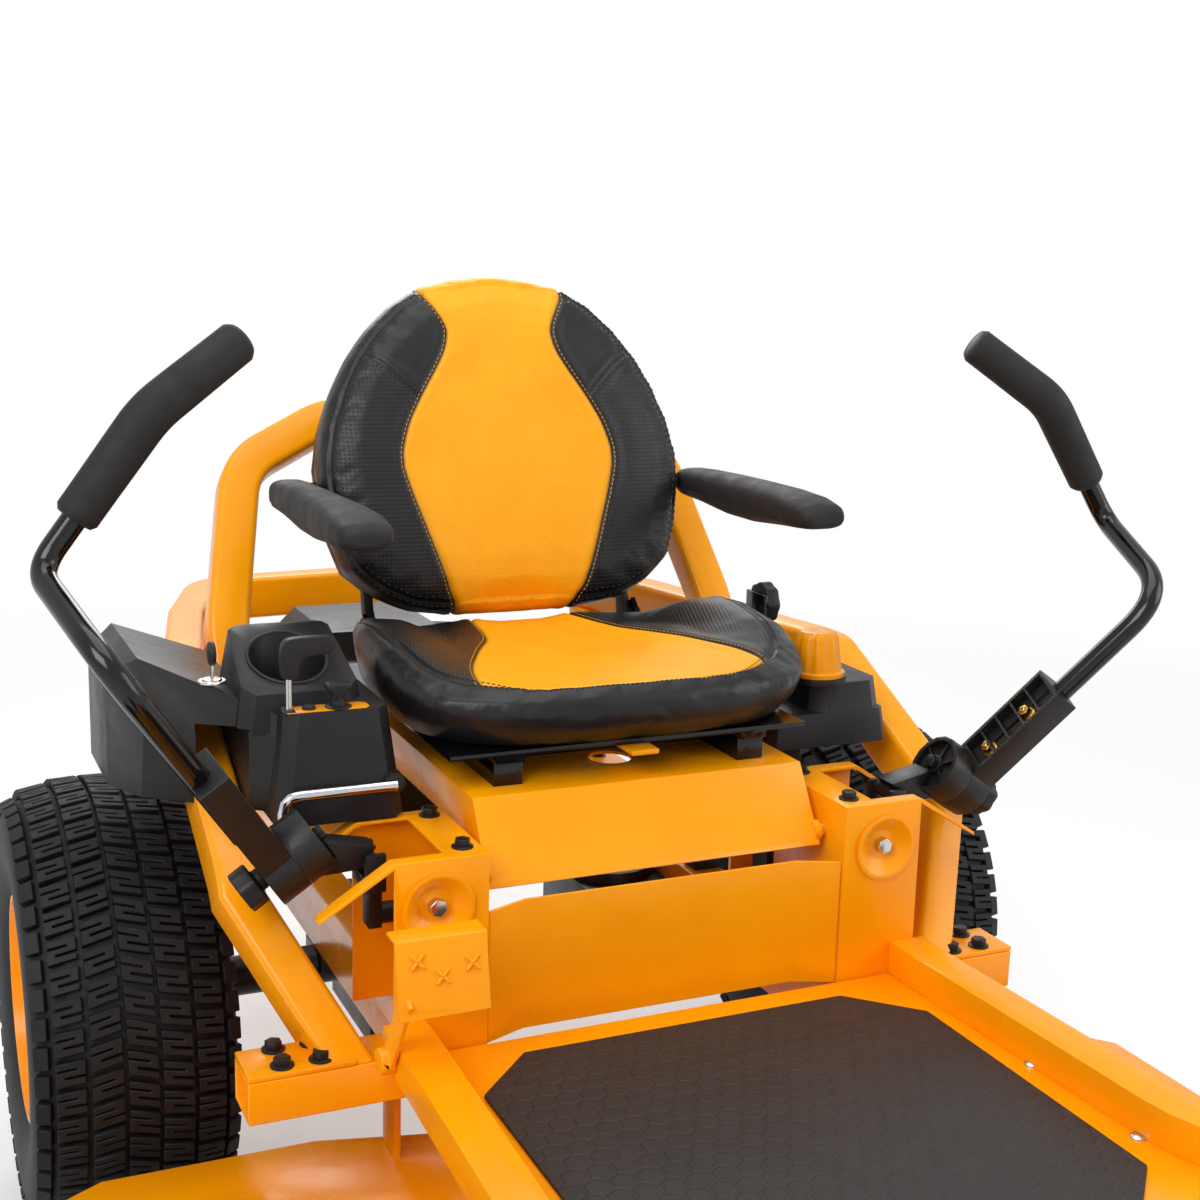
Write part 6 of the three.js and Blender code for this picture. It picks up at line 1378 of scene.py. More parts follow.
    def _back(self) -> None:
        """Backrest pad with its hourglass panel, cross seams, edge seam and stitches."""
        pad = Pad("seat_back_cushion", "backrest_pad", 5.0, self.paints.back_vinyl)
        pad.inflate(3.0, 4.0)
        pad.refine()
        heights, widths = zip(*smooth_line(self.back_widths))
        place, normals = pad.flat(), pad.normals()
        across = np.abs(place[:, 0] - self.panel_shift)
        edge = np.interp(place[:, 2], heights, widths)
        facing = pad.smoothed(normals @ np.array([0.0, -math.cos(self.lean), math.sin(self.lean)]), 40)
        turned_by = (np.arccos(np.clip(facing, -1, 1)) - self.edge_angle) * self.edge_radius
        front, seen, within = turned_by < 0, normals[:, 1] < 0.15, across < edge
        face = np.stack([across, place[:, 2]], axis=1)
        to_panel = distance_to_line(face, list(zip(widths, heights)))
        to_cross = distance_to_line(face, self.cross_seam)
        panel = np.where(seen, np.where(within, to_panel, -to_panel), -self.beyond)
        cross_height = np.interp(across, *zip(*self.cross_seam))
        zone = np.where(front & (across > edge), np.minimum(cross_height - place[:, 2], to_panel - 3), -5.0)
        zone = np.minimum(zone, -turned_by - self.zone_turn)
        outer = across >= self.cross_seam[0][0] - 6
        seam = np.minimum(np.where(seen, to_panel, self.far), np.where(front & outer, to_cross, self.far))
        seam = np.minimum(seam, np.where(across > edge - 4, np.abs(turned_by), self.far))
        hollow = np.where(front & within, -self.panel_hollow[0] * np.clip(to_panel / 45, 0, 1), 0.0)
        pad.offset(seam_relief(seam, 2.6, 1.3) + hollow)
        pad.store(panel=panel, mesh_zone=zone, seam=seam)
        tree = surface_of(pad.obj.data)

        def cast(a: float, b: float) -> tuple[Vector, Vector]:
            """A ray from in front of the backrest."""
            return at(a + self.panel_shift, -420, b), Vector((0, 1, 0))

        light, dark = self.paints.thread, self.paints.dark_thread
        for side, sign in SIDES.items():
            line = [(sign * (w + 4.0), h) for h, w in zip(heights, widths) if 740 < h < 1185]
            sewn = self._stitches(f"back_seam_{side}", tree, line, cast, light)
            for k, shift in enumerate((5.0, -5.0)):
                line = [(sign * a, b + shift) for a, b in self.cross_seam[:-1]]
                sewn += self._stitches(f"back_cross_{side}_{k}", tree, line, cast, dark)
            for k, shift in enumerate((4.5, -4.5)):
                keep = (np.abs(turned_by - shift) < 1.6) & (place[:, 0] * sign > 0) & (across > edge + 4)
                sewn += self._edge_stitches(f"back_edge_{side}_{k}", tree, pad.points()[keep])
            done(merged(f"backrest_stitches_{side}", sewn), "backrest", "seat_vinyl")
        pad.finish("backrest", "seat_vinyl", 0.8)

    def _cushion(self) -> None:
        """Seat cushion with a yellow centre, raised embossed bolsters and stitched seams."""
        pad = Pad("seat_cushion", "seat_pad", 5.0, self.paints.seat_vinyl)
        pad.inflate(3.0, 4.0)
        pad.refine()
        depths, widths = zip(*sorted(smooth_line(self.cushion_widths)))
        round_top = smooth_line(self.nose_seam)
        rim_depths, rim_widths = zip(*sorted((b, a) for a, b in round_top if b < -60))
        place = pad.flat()
        across = np.abs(place[:, 0])
        top = pad.normals()[:, 2] > 0.1
        face = np.stack([across, place[:, 1]], axis=1)
        to_side = distance_to_line(face, list(zip(widths, depths)))
        to_rim = distance_to_line(face, round_top)
        nearest = np.minimum(to_side, to_rim)
        within = top & (across < np.interp(place[:, 1], rim_depths, rim_widths, left=-1.0))
        inside = within & (across < np.interp(place[:, 1], depths, widths))
        panel = np.where(inside, nearest, -np.where(top, nearest, self.beyond))
        zone = np.where(within & ~inside, np.minimum(to_side - 4, to_rim - 5), -5.0)
        seam = np.minimum(np.where(within, to_side, self.far), np.where(top, to_rim, self.far))
        hollow = np.where(inside, -self.panel_hollow[1] * np.clip(to_side / 40, 0, 1), 0.0)
        pad.offset(seam_relief(seam, 2.8, 1.2) + hollow)
        pad.store(panel=panel, mesh_zone=zone, seam=seam)
        tree = surface_of(pad.obj.data)

        def cast(a: float, b: float) -> tuple[Vector, Vector]:
            """A ray from above the cushion."""
            return at(a, b, 900), -UP

        sewn = []
        for sign in SIDES.values():
            line = [(sign * (w + 4.0), d) for d, w in zip(depths, widths) if -374 < d < -40]
            sewn += self._stitches(f"seat_seam_{sign}", tree, line, cast, self.paints.thread)
            for k, shift in enumerate((4.6, -4.6)):
                line = [(sign * a, b) for a, b in shifted(round_top, shift)]
                sewn += self._stitches(f"seat_rim_{sign}_{k}", tree, line, cast, self.paints.dark_thread)
        done(merged("seat_stitches", sewn), "seat", "seat_vinyl")
        pad.finish("seat", "seat_vinyl", 0.75)

    def _armrests(self) -> None:
        """Two foam armrests with a parting line round their sides."""
        for side in SIDES:
            pad = Pad(f"armrest_{side}", f"armrest_pad_{side}", 3.0, self.paints.foam)
            pad.inflate(1.5, 1.5)
            pad.refine()
            parting = (pad.normals()[:, 2] + 0.42) * 22
            pad.offset(-0.8 * np.exp(-(parting / 1.6) ** 2))
            pad.finish(f"arm_{side}", "padded_foam", 0.9)

    def build(self) -> None:
        """Builds the whole seat."""
        self._back()
        self._cushion()
        self._armrests()
        dress = self.dress
        dress("recline_control", "recline_knob", "recline_hand_knob", "black_plastic", 2.4)
        dress("backrest", "seat_back_shell", "backrest_shell", "black_plastic", 3.0)
        dress("seat", "seat_base", "seat_base_plate", "gloss_black", 1.5, 2)
        dress("seat_deck", "seat_rails", "seat_slide_rails", "gloss_black", 1.2, 2)
        dress("slide_control", "slide_latch", "slide_latch_pad", "yellow_plastic", 1.6)


# ---------------------------------------------------------------- fasteners


class Bolt(Enum):
    """The kinds of fastener."""

    HEX = "hex"
    FLANGE = "flange"
    NUT = "nut"
    CARRIAGE = "carriage"


@dataclass
class Fasteners:
    """Bolts and nuts, gathered by body and finish and set out by one tree.

    Attributes:
        scatter: The tree that sets small shapes on points.
        paints: The finishes.
        spots: The places gathered so far, by body, kind, size and finish.
    """

    scatter: Scatter
    paints: Palette
    spots: dict[tuple[str, Bolt, float, str], list[tuple[Vector, Vector, Vector]]] = field(default_factory=dict)

    def add(self, body: str, kind: Bolt, size: float, finish: str, place: Vector, up: Vector) -> None:
        """Notes one fastener.

        Args:
            body: The CAD body that it is in.
            kind: Its kind.
            size: The width across its flats in millimetres.
            finish: The palette's name of its finish.
            place: Where its seat is.
            up: The direction that it faces.
        """
        side = OUT if abs(up.x) < 0.7 else Vector((0, 1, 0))
        turned_by = 0.37 * (len(self.spots.get((body, kind, size, finish), [])) + 1)
        along = Matrix.Rotation(turned_by, 3, up) @ (side - up * side.dot(up)).normalized()
        self.spots.setdefault((body, kind, size, finish), []).append((place, up.normalized(), along))

    def _shape(self, kind: Bolt, size: float) -> Object:
        """One fastener standing on the origin.

        Args:
            kind: Its kind.
            size: The width across its flats in millimetres.

        Returns:
            The hidden shape.
        """
        def round_part(profile: Line, sides: int) -> Object:
            """A turned part, whose profile is in shares of the size."""
            scaled = [(along * size, radius * size) for along, radius in profile]
            return turned("fastener_shape", scaled, Vector(), UP, self.paints.zinc, sides)

        if kind is Bolt.CARRIAGE:
            obj = round_part([(0, 0.62), (0.1, 0.6), (0.22, 0.46), (0.32, 0.0)], 20)
        else:
            flanged = kind is not Bolt.HEX
            parts = [round_part([(0, 0.78), (0.1, 0.78), (0.2, 0.56)], 24)] if flanged else []
            base, height = (0.08 if flanged else 0.0), (0.72 if kind is Bolt.NUT else 0.55)
            reach = size / math.sqrt(3)
            hexagon = [(reach * math.cos(k * TAU / 6), reach * math.sin(k * TAU / 6)) for k in range(6)]
            parts.append(extruded("head", hexagon, lambda a, b, c: Vector((a, b, c)) * MM, size * base,
                                  size * (base + height), self.paints.zinc, size * 0.05))
            if kind is Bolt.NUT:
                parts.append(round_part([(0, 0.28), (height + 0.22, 0.28), (height + 0.28, 0.22)], 12))
            obj = merged("fastener_shape", parts)
        return hidden(obj)

    def build(self) -> None:
        """Sets out everything that was noted, one piece for each body, kind, size and finish."""
        for n, ((body, kind, size, finish), spots) in enumerate(sorted(self.spots.items(), key=lambda s: str(s[0]))):
            shape = self._shape(kind, size)
            obj = self.scatter.place(f"{kind.value}_set_{n}_{body}", shape, spots, getattr(self.paints, finish))
            bpy.data.objects.remove(shape)
            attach(obj, body)
            LOG.info("%s has %d fasteners", obj.name, len(spots))


# ---------------------------------------------------------------- operator's controls


@dataclass
class LapLevers(Section):
    """The two lap bars with their hubs, brackets, grips and knobs.

    Attributes:
        swing: How far the levers are swung out, in degrees.
        pin: The swing pin's place for the left lever, in millimetres.
        bar_low: The bar's lower end, in millimetres from the pin, upright.
        bar_knee: The bar's knee.
        grip_foot: The grip's lower end.
        grip_mid: The grip's bend.
        grip_tip: The grip's free end.
        crank_gap: How far the crank's end stays off the tower's wall, in millimetres.
        nuts: The bracket's two nuts.
        hub_bolt: The hub's bolt.
        bar_radius: The bar's radius.
        grip_radius: The grip's radius.
        grip_end: How far from its ends the grip draws in, in metres.
    """

    swing: float = 34.0
    pin: Point = (325.0, -430.0, 585.0)
    bar_low: Point = (84.3, -35.26, 118.0)
    bar_knee: Point = (84.3, -139.26, 365.0)
    grip_foot: Point = (28.0, 19.0, 458.0)
    grip_mid: Point = (-88.0, 14.0, 501.0)
    grip_tip: Point = (-204.0, 45.0, 504.0)
    crank_gap: float = 0.05
    nuts: tuple[Point, Point] = ((73.9, -31.76, 109.68), (73.9, -56.08, 167.44))
    hub_bolt: Point = (27.6, -10.0, 58.0)
    bar_radius: float = 12.5
    grip_radius: float = 22.6
    grip_end: float = 0.006

    def to_space(self, sign: float, x: float, y: float, z: float) -> Vector:
        """A place on the upright left lever, swung out, on one side of the machine.

        Args:
            sign: 1 for the left and -1 for the right.
            x: Outwards from the pin in millimetres.
            y: Backwards from the pin.
            z: Up from the pin.

        Returns:
            The place in the frame.
        """
        a = math.radians(self.swing)
        across = self.pin[0] + x * math.cos(a) + z * math.sin(a)
        up = self.pin[2] - x * math.sin(a) + z * math.cos(a)
        return at(sign * across, self.pin[1] + y, up)

    def _bar(self, side: str, sign: float) -> None:
        """The bent round bar and its foam grip."""
        foot, mid = Vector(self.grip_foot), Vector(self.grip_mid)
        neck = foot + (foot - mid).normalized() * 60
        path = bent([self.to_space(sign, *p) for p in (self.bar_low, self.bar_knee, neck, foot)], [62, 45], 12)
        shape = sweep(path, round_profile(self.bar_radius, 28))
        bar = mesh_object(f"lap_tube_{side}", *shape, self.paints.gloss_black)
        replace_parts(bar, f"lap_bar_{side}")
        done(bar, f"lever_arm_{side}", "black_paint")
        start = foot + (mid - foot).normalized() * 0.3
        line = bent([self.to_space(sign, *p) for p in (start, mid, self.grip_tip)], [90], 14)
        dense = [line[0]]
        for here, there in zip(line, line[1:]):
            steps = max(1, int((there - here).length / 0.005))
            dense += [here.lerp(there, (n + 1) / steps) for n in range(steps)]
        runs = np.concatenate([[0.0], np.cumsum([(b - a).length for a, b in zip(dense, dense[1:])])])
        scales = []
        for run in runs:
            drawn_in = max(0.0, 1 - min(run, runs[-1] - run) / self.grip_end) ** 2
            scales.append(float(0.985 - 0.16 * drawn_in - 0.02 * math.cos(run / runs[-1] * 6.28)))
        shape = sweep(dense, round_profile(self.grip_radius, 36), scales)
        grip = mesh_object(f"foam_grip_{side}", *shape, self.paints.foam, 60)
        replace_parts(grip, f"grip_{side}")
        done(grip, f"lever_arm_{side}", "padded_foam")

    def _hardware(self, side: str, sign: float) -> None:
        """Hub, bracket and knob with their nuts."""
        dress = self.dress
        dress(f"lever_swing_{side}", f"swing_hub_{side}", f"swing_arm_{side}", "cast_black", 1.4)
        dress(f"lever_arm_{side}", f"lever_bracket_{side}", f"bar_clamp_{side}", "cast_black", 1.2)
        crank = skin_of(f"drive_pivot_{side}", f"drive_crank_{side}", self.paints.cast_black, 0.9, 2)
        crank.data.transform(Matrix.Translation((sign * self.crank_gap * MM, 0, 0)))
        done(crank, f"lever_base_{side}", "black_casting")
        dress(f"lever_clamp_{side}", f"star_knob_{side}", f"clamp_hand_knob_{side}", "black_plastic", 2.2)
        towards = (self.to_space(sign, 0, 0, 0) - self.to_space(sign, 1, 0, 0)).normalized()
        for nut in self.nuts:
            self.bolts.add(f"lever_arm_{side}", Bolt.NUT, 13, "gold", self.to_space(sign, *nut), towards)
        self.bolts.add(f"lever_swing_{side}", Bolt.HEX, 15, "iron", self.to_space(sign, *self.hub_bolt), towards)

    def build(self) -> None:
        """Builds both levers."""
        for side, sign in SIDES.items():
            self._bar(side, sign)
            self._hardware(side, sign)


@dataclass
class Console(Section):
    """The side console with its cup holder and hand controls.

    Attributes:
        throttle: The throttle's place in millimetres.
        blade_switch: The blade switch's place.
        key: The key's place.
        inset: The outline of the yellow inset round the controls.
        cup: The cup holder's middle.
        cup_bead: The radius of the bead round its mouth, and of the bead's section.
    """

    throttle: Point = (-383.0, -342.0, 724.3)
    blade_switch: Point = (-330.0, -344.0, 724.3)
    key: tuple[float, float] = (-448.0, -262.0)
    inset: Line = ((-388, -355), (-302, -356), (-297, -350), (-297, -336), (-302, -330), (-388, -329))
    cup: tuple[float, float] = (-364.0, -258.0)
    cup_bead: tuple[float, float] = (43.6, 2.2)

    def _throttle(self) -> None:
        """Bent steel stem with a hooked flat paddle."""
        x, y, z = self.throttle
        shape = sweep([at(x, y, z - 7.5), at(x, y, z + 40)], round_profile(3.6, 16), first_up=Vector((0, 1, 0)))
        stem = mesh_object("throttle_stem", *shape, self.paints.zinc)
        low, high = z + 36, z + 80
        outline = smooth_line([(x - 7, low), (x + 7, low - 1), (x + 9.5, low + 9), (x + 11, high - 28),
                               (x + 20, high - 21.5), (x + 45, high - 18), (x + 45.8, high - 3), (x + 38, high - 0.5),
                               (x + 8, high - 0.3), (x - 5, high - 4), (x - 9.6, high - 16), (x - 9.3, low + 10),
                               (x - 7, low)], 5)[:-1]
        paddle = extruded("throttle_paddle", outline, lambda a, b, c: at(a, c, b), y - 5.8, y + 5.8,
                          self.paints.black_plastic, 2.6)
        lever = merged("throttle_hand_lever", [stem, paddle])
        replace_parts(lever, "throttle_lever")
        done(lever, "throttle", "black_plastic")

    def _switch(self) -> None:
        """T-shaped pull knob for the blades, on a collar."""
        x, y, z = self.blade_switch
        box_low, box_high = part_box("pto_knob")
        top = (box_high.z - ORIGIN.z) / MM
        stem = turned("switch_stem", [(0, 9.4), (1.5, 9.8), (6, 9.2), (top - z - 12, 8.2)], at(x, y, z),
                      UP, self.paints.black_plastic, 28)
        half = (box_high.x - box_low.x) / MM / 2
        outline = [(-half + 0.4, 11.5), (-half + 2.4, 15.6), (half - 2.4, 15.6), (half - 0.4, 11.5), (half - 2.2, 8.4),
                   (7.6, 5.2), (6.4, -3.0), (-6.4, -3.0), (-7.6, 5.2), (-half + 2.2, 8.4)]
        handle = extruded("switch_handle", outline, lambda a, b, c: at(x + a, c, top - 16 + b), y - 8.4, y + 8.4,
                          self.paints.black_plastic, 2.4)
        knob = merged("blade_pull_knob", [stem, handle])
        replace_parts(knob, "pto_knob")
        done(knob, "blade_switch", "black_plastic")
        inset = extruded("control_inset", self.inset, lambda a, b, c: at(a, b, c), 724.05, 725.1,
                         self.paints.yellow_plastic, 0.4)
        done(inset, "chassis", "yellow_plastic")
        for name, (cx, cy), radius, rise in (("switch_collar", (x, y), 14.5, 2.2),
                                             ("choke_button", (-362, -343), 7.5, 4.0)):
            profile = [(0, radius), (rise * 0.7, radius - 0.2), (rise, radius - 1.8), (rise, 0.0)]
            done(turned(name, profile, at(cx, cy, 724.9), UP, self.paints.black_plastic, 32), "chassis",
                 "black_plastic")
        cx = self.throttle[0]
        gate = block("throttle_gate", at(cx - 5.2, y - 10, 725.0), at(cx + 5.2, y + 12, 725.6), self.paints.rubber,
                     0.2)
        done(gate, "chassis", "black_plastic")

    def _key(self) -> None:
        """Ignition key: a silver lock plate, a nut ring and a black round head."""
        x, y = self.key
        low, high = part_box("ignition_key")
        base = low.z / MM
        plate = turned("lock_plate", [(0, 15.5), (1.6, 15.5), (2.4, 14.6), (2.4, 11.0), (4.0, 10.6), (4.6, 9.0),
                                      (4.6, 0.0)], at(x, y, base), UP, self.paints.zinc, 36)
        head_mid = high.z / MM
        radius = min((high.y - low.y) / MM / 2, 13.5)
        head = turned("key_head", [(-3.2, radius - 2.2), (-2.6, radius - 0.6), (-1.4, radius), (1.4, radius),
                                   (2.6, radius - 0.6), (3.2, radius - 2.2)],
                      at(x, y, head_mid - radius), OUT, self.paints.black_plastic, 36)
        blade = block("key_blade", at(x - 1.3, y - 4.5, base + 3), at(x + 1.3, y + 4.5, head_mid - radius),
                      self.paints.zinc, 0.3)
        key = merged("ignition_key_and_lock", [plate, head, blade])
        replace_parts(key, "ignition_key")
        done(key, "key", "black_plastic")

    def _cup(self) -> None:
        """A raised bead round the cup holder's slanted mouth."""
        path = []
        for k in range(64):
            turn = TAU * k / 64
            y = self.cup[1] + self.cup_bead[0] * math.sin(turn)
            path.append(at(self.cup[0] + self.cup_bead[0] * math.cos(turn), y, 734.0 + (y + 322) * 54 / 122))
        shape = sweep(path, round_profile(self.cup_bead[1], 12), closed=True)
        done(mesh_object("cup_lip", *shape, self.paints.black_plastic, 60), "chassis", "black_plastic")

    def build(self) -> None:
        """Builds the console."""
        self.dress("chassis", "console", "console_moulding", "black_plastic", 3.2)
        self._throttle()
        self._switch()
        self._key()
        self._cup()
        self.dress("height_index", "height_index_lever", "height_index_rod", "chrome", 0.0, 1, 50)


@dataclass
class FuelTank(Section):
    """The moulded tank and its fluted yellow cap.

    Attributes:
        cap: The cap's middle in millimetres.
        flutes: How many flutes the cap has.
        flute_depth: Their depth in millimetres.
        steps: How many faces go round each flute.
    """

    cap: tuple[float, float] = (312.0, -274.0)
    flutes: int = 8
    flute_depth: float = 1.8
    steps: int = 16

    def build(self) -> None:
        """Builds the tank and its cap."""
        self.dress("chassis", "fuel_tank", "tank_moulding", "black_plastic", 3.4)
        low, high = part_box("fuel_cap")
        base, rise = low.z / MM, (high.z - low.z) / MM
        radius = (high.x - low.x) / MM / 2
        rings = [(0, 0.4, 0), (5, 0.2, 0), (6.6, 2.4, 0), (7.4, 4.2, 1), (12, 4.6, 1), (rise - 9, 9.4, 1),
                 (rise - 3.5, 11.5, 0.6), (rise - 0.8, 14.5, 0.1), (rise, 18, 0), (rise - 0.6, radius - 9, 0)]
        sides = self.flutes * self.steps
        points = []
        for z, drawn_in, share in rings:
            for k in range(sides):
                a = TAU * k / sides
                wave = max(0.0, math.cos(a * self.flutes) + 0.25) ** 1.5
                reach = radius - drawn_in - share * self.flute_depth * wave
                points.append(at(self.cap[0] + reach * math.cos(a), self.cap[1] + reach * math.sin(a), base + z))
        cap = mesh_object("fluted_cap", points, ring_faces(len(rings), sides), self.paints.yellow_plastic, 40)
        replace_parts(cap, "fuel_cap")
        done(cap, "tank_cap", "yellow_plastic")


@dataclass
class Chassis(Section):
    """Frame, towers, hoop, guard rails, floor and seat pan, with their fasteners.

    Attributes:
        plates: Each pressed or welded node, with its new name, body and edge radius.
        guard_arch: The left guard rail's corners along and up, from its foot to its arch, with its bend radii.
        guard_run: Its corners across and along, from the arch to the middle of the rear.
        guard_lean: How far its foot stands in from it.
        guard_size: Its width and height.
        guard_middle: The height of its middle.
        hoop: The hoop's corners across and up its lean on one side, with their bend radii.
        hoop_lean: Its lean in degrees.
        hoop_size: Its width and depth.
        hoop_foot: Where its foot stands, along and up.
        ledge: The height of the outriggers' and rear plate's top with a washer's gap.
    """

    plates: tuple[tuple[str, str, str, float], ...] = (
        ("frame_rail_left", "frame_channel_left", "chassis", 2.0),
        ("frame_rail_right", "frame_channel_right", "chassis", 2.0),
        ("caster_arm_left", "front_arm_left", "chassis", 3.0),
        ("caster_arm_right", "front_arm_right", "chassis", 3.0),
        ("rear_plate", "engine_plate", "chassis", 1.2),
        ("floor_pan", "floor_sheet", "chassis", 0.8),
        ("tower_left", "lever_tower_left", "chassis", 1.5),
        ("tower_right", "lever_tower_right", "chassis", 1.5),
        ("front_panel", "apron_panel", "chassis", 1.2),
        ("seat_pan", "seat_deck_sheet", "seat_deck", 1.6),
        ("deck_pedal", "lift_pedal_plate", "lift_pedal", 1.2),
    )
    guard_arch: tuple[Point, ...] = (
        (-462, 388.6, 0), (-352, 545, 90), (-104, 667.5, 110), (-80, 667.5, 0))
    guard_run: tuple[Point, ...] = (
        (445, -80, 0), (445, -60, 110), (366, 330, 110), (296, 548, 110), (0.5, 572, 0))
    guard_lean: float = 76.0
    guard_size: tuple[float, float] = (49.6, 64.6)
    guard_middle: float = 667.5
    hoop: tuple[Point, ...] = ((356, 0, 0), (356, 75, 200), (312, 300, 90), (190, 366, 90))
    hoop_lean: float = 29.0
    hoop_size: tuple[float, float] = (53.6, 47.6)
    hoop_foot: tuple[float, float] = (66.0, 652.0)
    ledge: float = 394.4

    def _hoop(self) -> None:
        """The leaning hoop behind the backrest, bent from a square tube."""
        lean = math.radians(self.hoop_lean)
        rise, depth = Vector((0, math.sin(lean), math.cos(lean))), Vector((0, -math.cos(lean), math.sin(lean)))
        corners = list(self.hoop) + [(-x, v, r) for x, v, r in reversed(self.hoop)]
        places = [at(x, *self.hoop_foot) + rise * v * MM for x, v, _ in corners]
        path = bent(places, [r for _, _, r in corners[1:-1]], 14)
        axes = [(heading(path, i).normalized().cross(depth).normalized(), depth) for i in range(len(path))]
        shape = tube_between(path, axes, boxy_profile(*self.hoop_size, 9.0))
        tube = mesh_object("backrest_hoop", *shape, self.paints.yellow)
        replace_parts(tube, "seat_hoop")
        done(tube, "chassis", "yellow_paint")

    def _guard(self, side: str, sign: float) -> None:
        """One guard rail: an arched and bent square tube with a bolted foot and a rear post."""
        x, top = self.guard_run[0][0], self.guard_middle
        arch = bent([at(sign * x, y, z) for y, z, _ in self.guard_arch], [r for _, _, r in self.guard_arch[1:-1]], 12)
        run = bent([at(sign * a, y, top) for a, y, _ in self.guard_run], [r for _, _, r in self.guard_run[1:-1]], 12)
        arch[0] = arch[0] - Vector((sign * self.guard_lean * MM, 0, 0))
        path, axes = arch[:-1] + run[1:], []
        for i in range(len(path)):
            way = heading(path, i)
            if i < len(arch) - 1:
                way.x = 0.0
                axes.append((OUT, OUT.cross(way).normalized()))
            else:
                axes.append((way.cross(UP).normalized(), UP))
        ends = (2, self.guard_arch[0][1] * MM), (0, at(sign * self.guard_run[-1][0], 0, 0).x)
        shape = tube_between(path, axes, boxy_profile(*self.guard_size, 8.0), ends)
        tube = mesh_object("rail_tube", *shape, self.paints.yellow)
        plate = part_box("rear_plate")[1].z / MM
        flange = block("rail_foot", at(sign * 412 - 55.8, -503.8, 388.4), at(sign * 412 + 55.8, -440.2, 394.2),
                       self.paints.yellow, 1.0)
        post = block("rail_post", at(sign * 318 - 23.8, 431.2, plate + 0.4), at(sign * 318 + 23.8, 478.8, 637.0),
                     self.paints.yellow, 3.0)
        rail = merged(f"guard_tube_{side}", [tube, flange, post])
        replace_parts(rail, f"guard_rail_{side}")
        done(rail, "chassis", "yellow_paint")

    def _fasten(self) -> None:
        """Notes the bolts that show on the towers, pan, floor and frame."""
        add, (back, foot) = self.bolts.add, self.hoop_foot
        for sign in SIDES.values():
            for y in (-480, -372):
                add("chassis", Bolt.FLANGE, 15, "iron", at(sign * 236, y, 601), UP)
            add("chassis", Bolt.HEX, 17, "zinc", at(sign * 271, -499.4, 548), Vector((0, -1, 0)))
            add("seat_deck", Bolt.HEX, 15, "zinc", at(sign * 206, -460, 560), Vector((sign, 0, 0)))
            for y in (-360, -80):
                add("seat_deck", Bolt.CARRIAGE, 13, "zinc", at(sign * 152, y, 659.4), UP)
            for y in (-600, -760, -920):
                add("chassis", Bolt.CARRIAGE, 14, "zinc", at(sign * 296, y, 391.2), UP)
            for x, y in ((390, -450), (390, -488), (430, -450), (430, -488), (320, 120), (320, 250), (320, 400)):
                add("chassis", Bolt.FLANGE, 16, "iron", at(sign * x, y, self.ledge), UP)
            for z in (668, 690):
                add("chassis", Bolt.CARRIAGE, 15, "zinc", at(sign * 356, back + (z - foot) * 0.55 - 26, z),
                    Vector((0, -0.87, 0.48)))

    def _grips(self) -> None:
        """Three raised crosses on the lift pedal that stop a boot from slipping."""
        normal = Vector((0.0, -0.98, 0.21)).normalized()
        rise = OUT.cross(normal)
        rise = -rise if rise.z < 0 else rise
        crosses = []
        for x, y, z in ((-325, -603, 537), (-269, -604, 529), (-300, -606, 520)):
            for lean in (-0.82, 0.82):
                along = Vector((math.cos(lean), 0, 0)) + rise * math.sin(lean)
                outline = [(-9, -1.8), (9, -1.8), (10.4, 0), (9, 1.8), (-9, 1.8), (-10.4, 0)]
                side = normal.cross(along)
                crosses.append(extruded("grip_bar", outline,
                                        lambda a, b, c: at(x, y, z) + (along * a + side * b + normal * c) * MM,
                                        -1.5, 2.6, self.paints.yellow, 1.1))
        done(merged("pedal_grips", crosses), "lift_pedal", "yellow_paint")

    def build(self) -> None:
        """Builds the chassis with its foot mat."""
        for node, name, body, bevel in self.plates:
            self.dress(body, node, name, "yellow", bevel)
        self._hoop()
        for side, sign in SIDES.items():
            self._guard(side, sign)
        self.dress("chassis", "foot_mat", "foot_matting", "mat", 1.5, 2)
        self._grips()
        self._fasten()


# ---------------------------------------------------------------- wheels, deck and engine


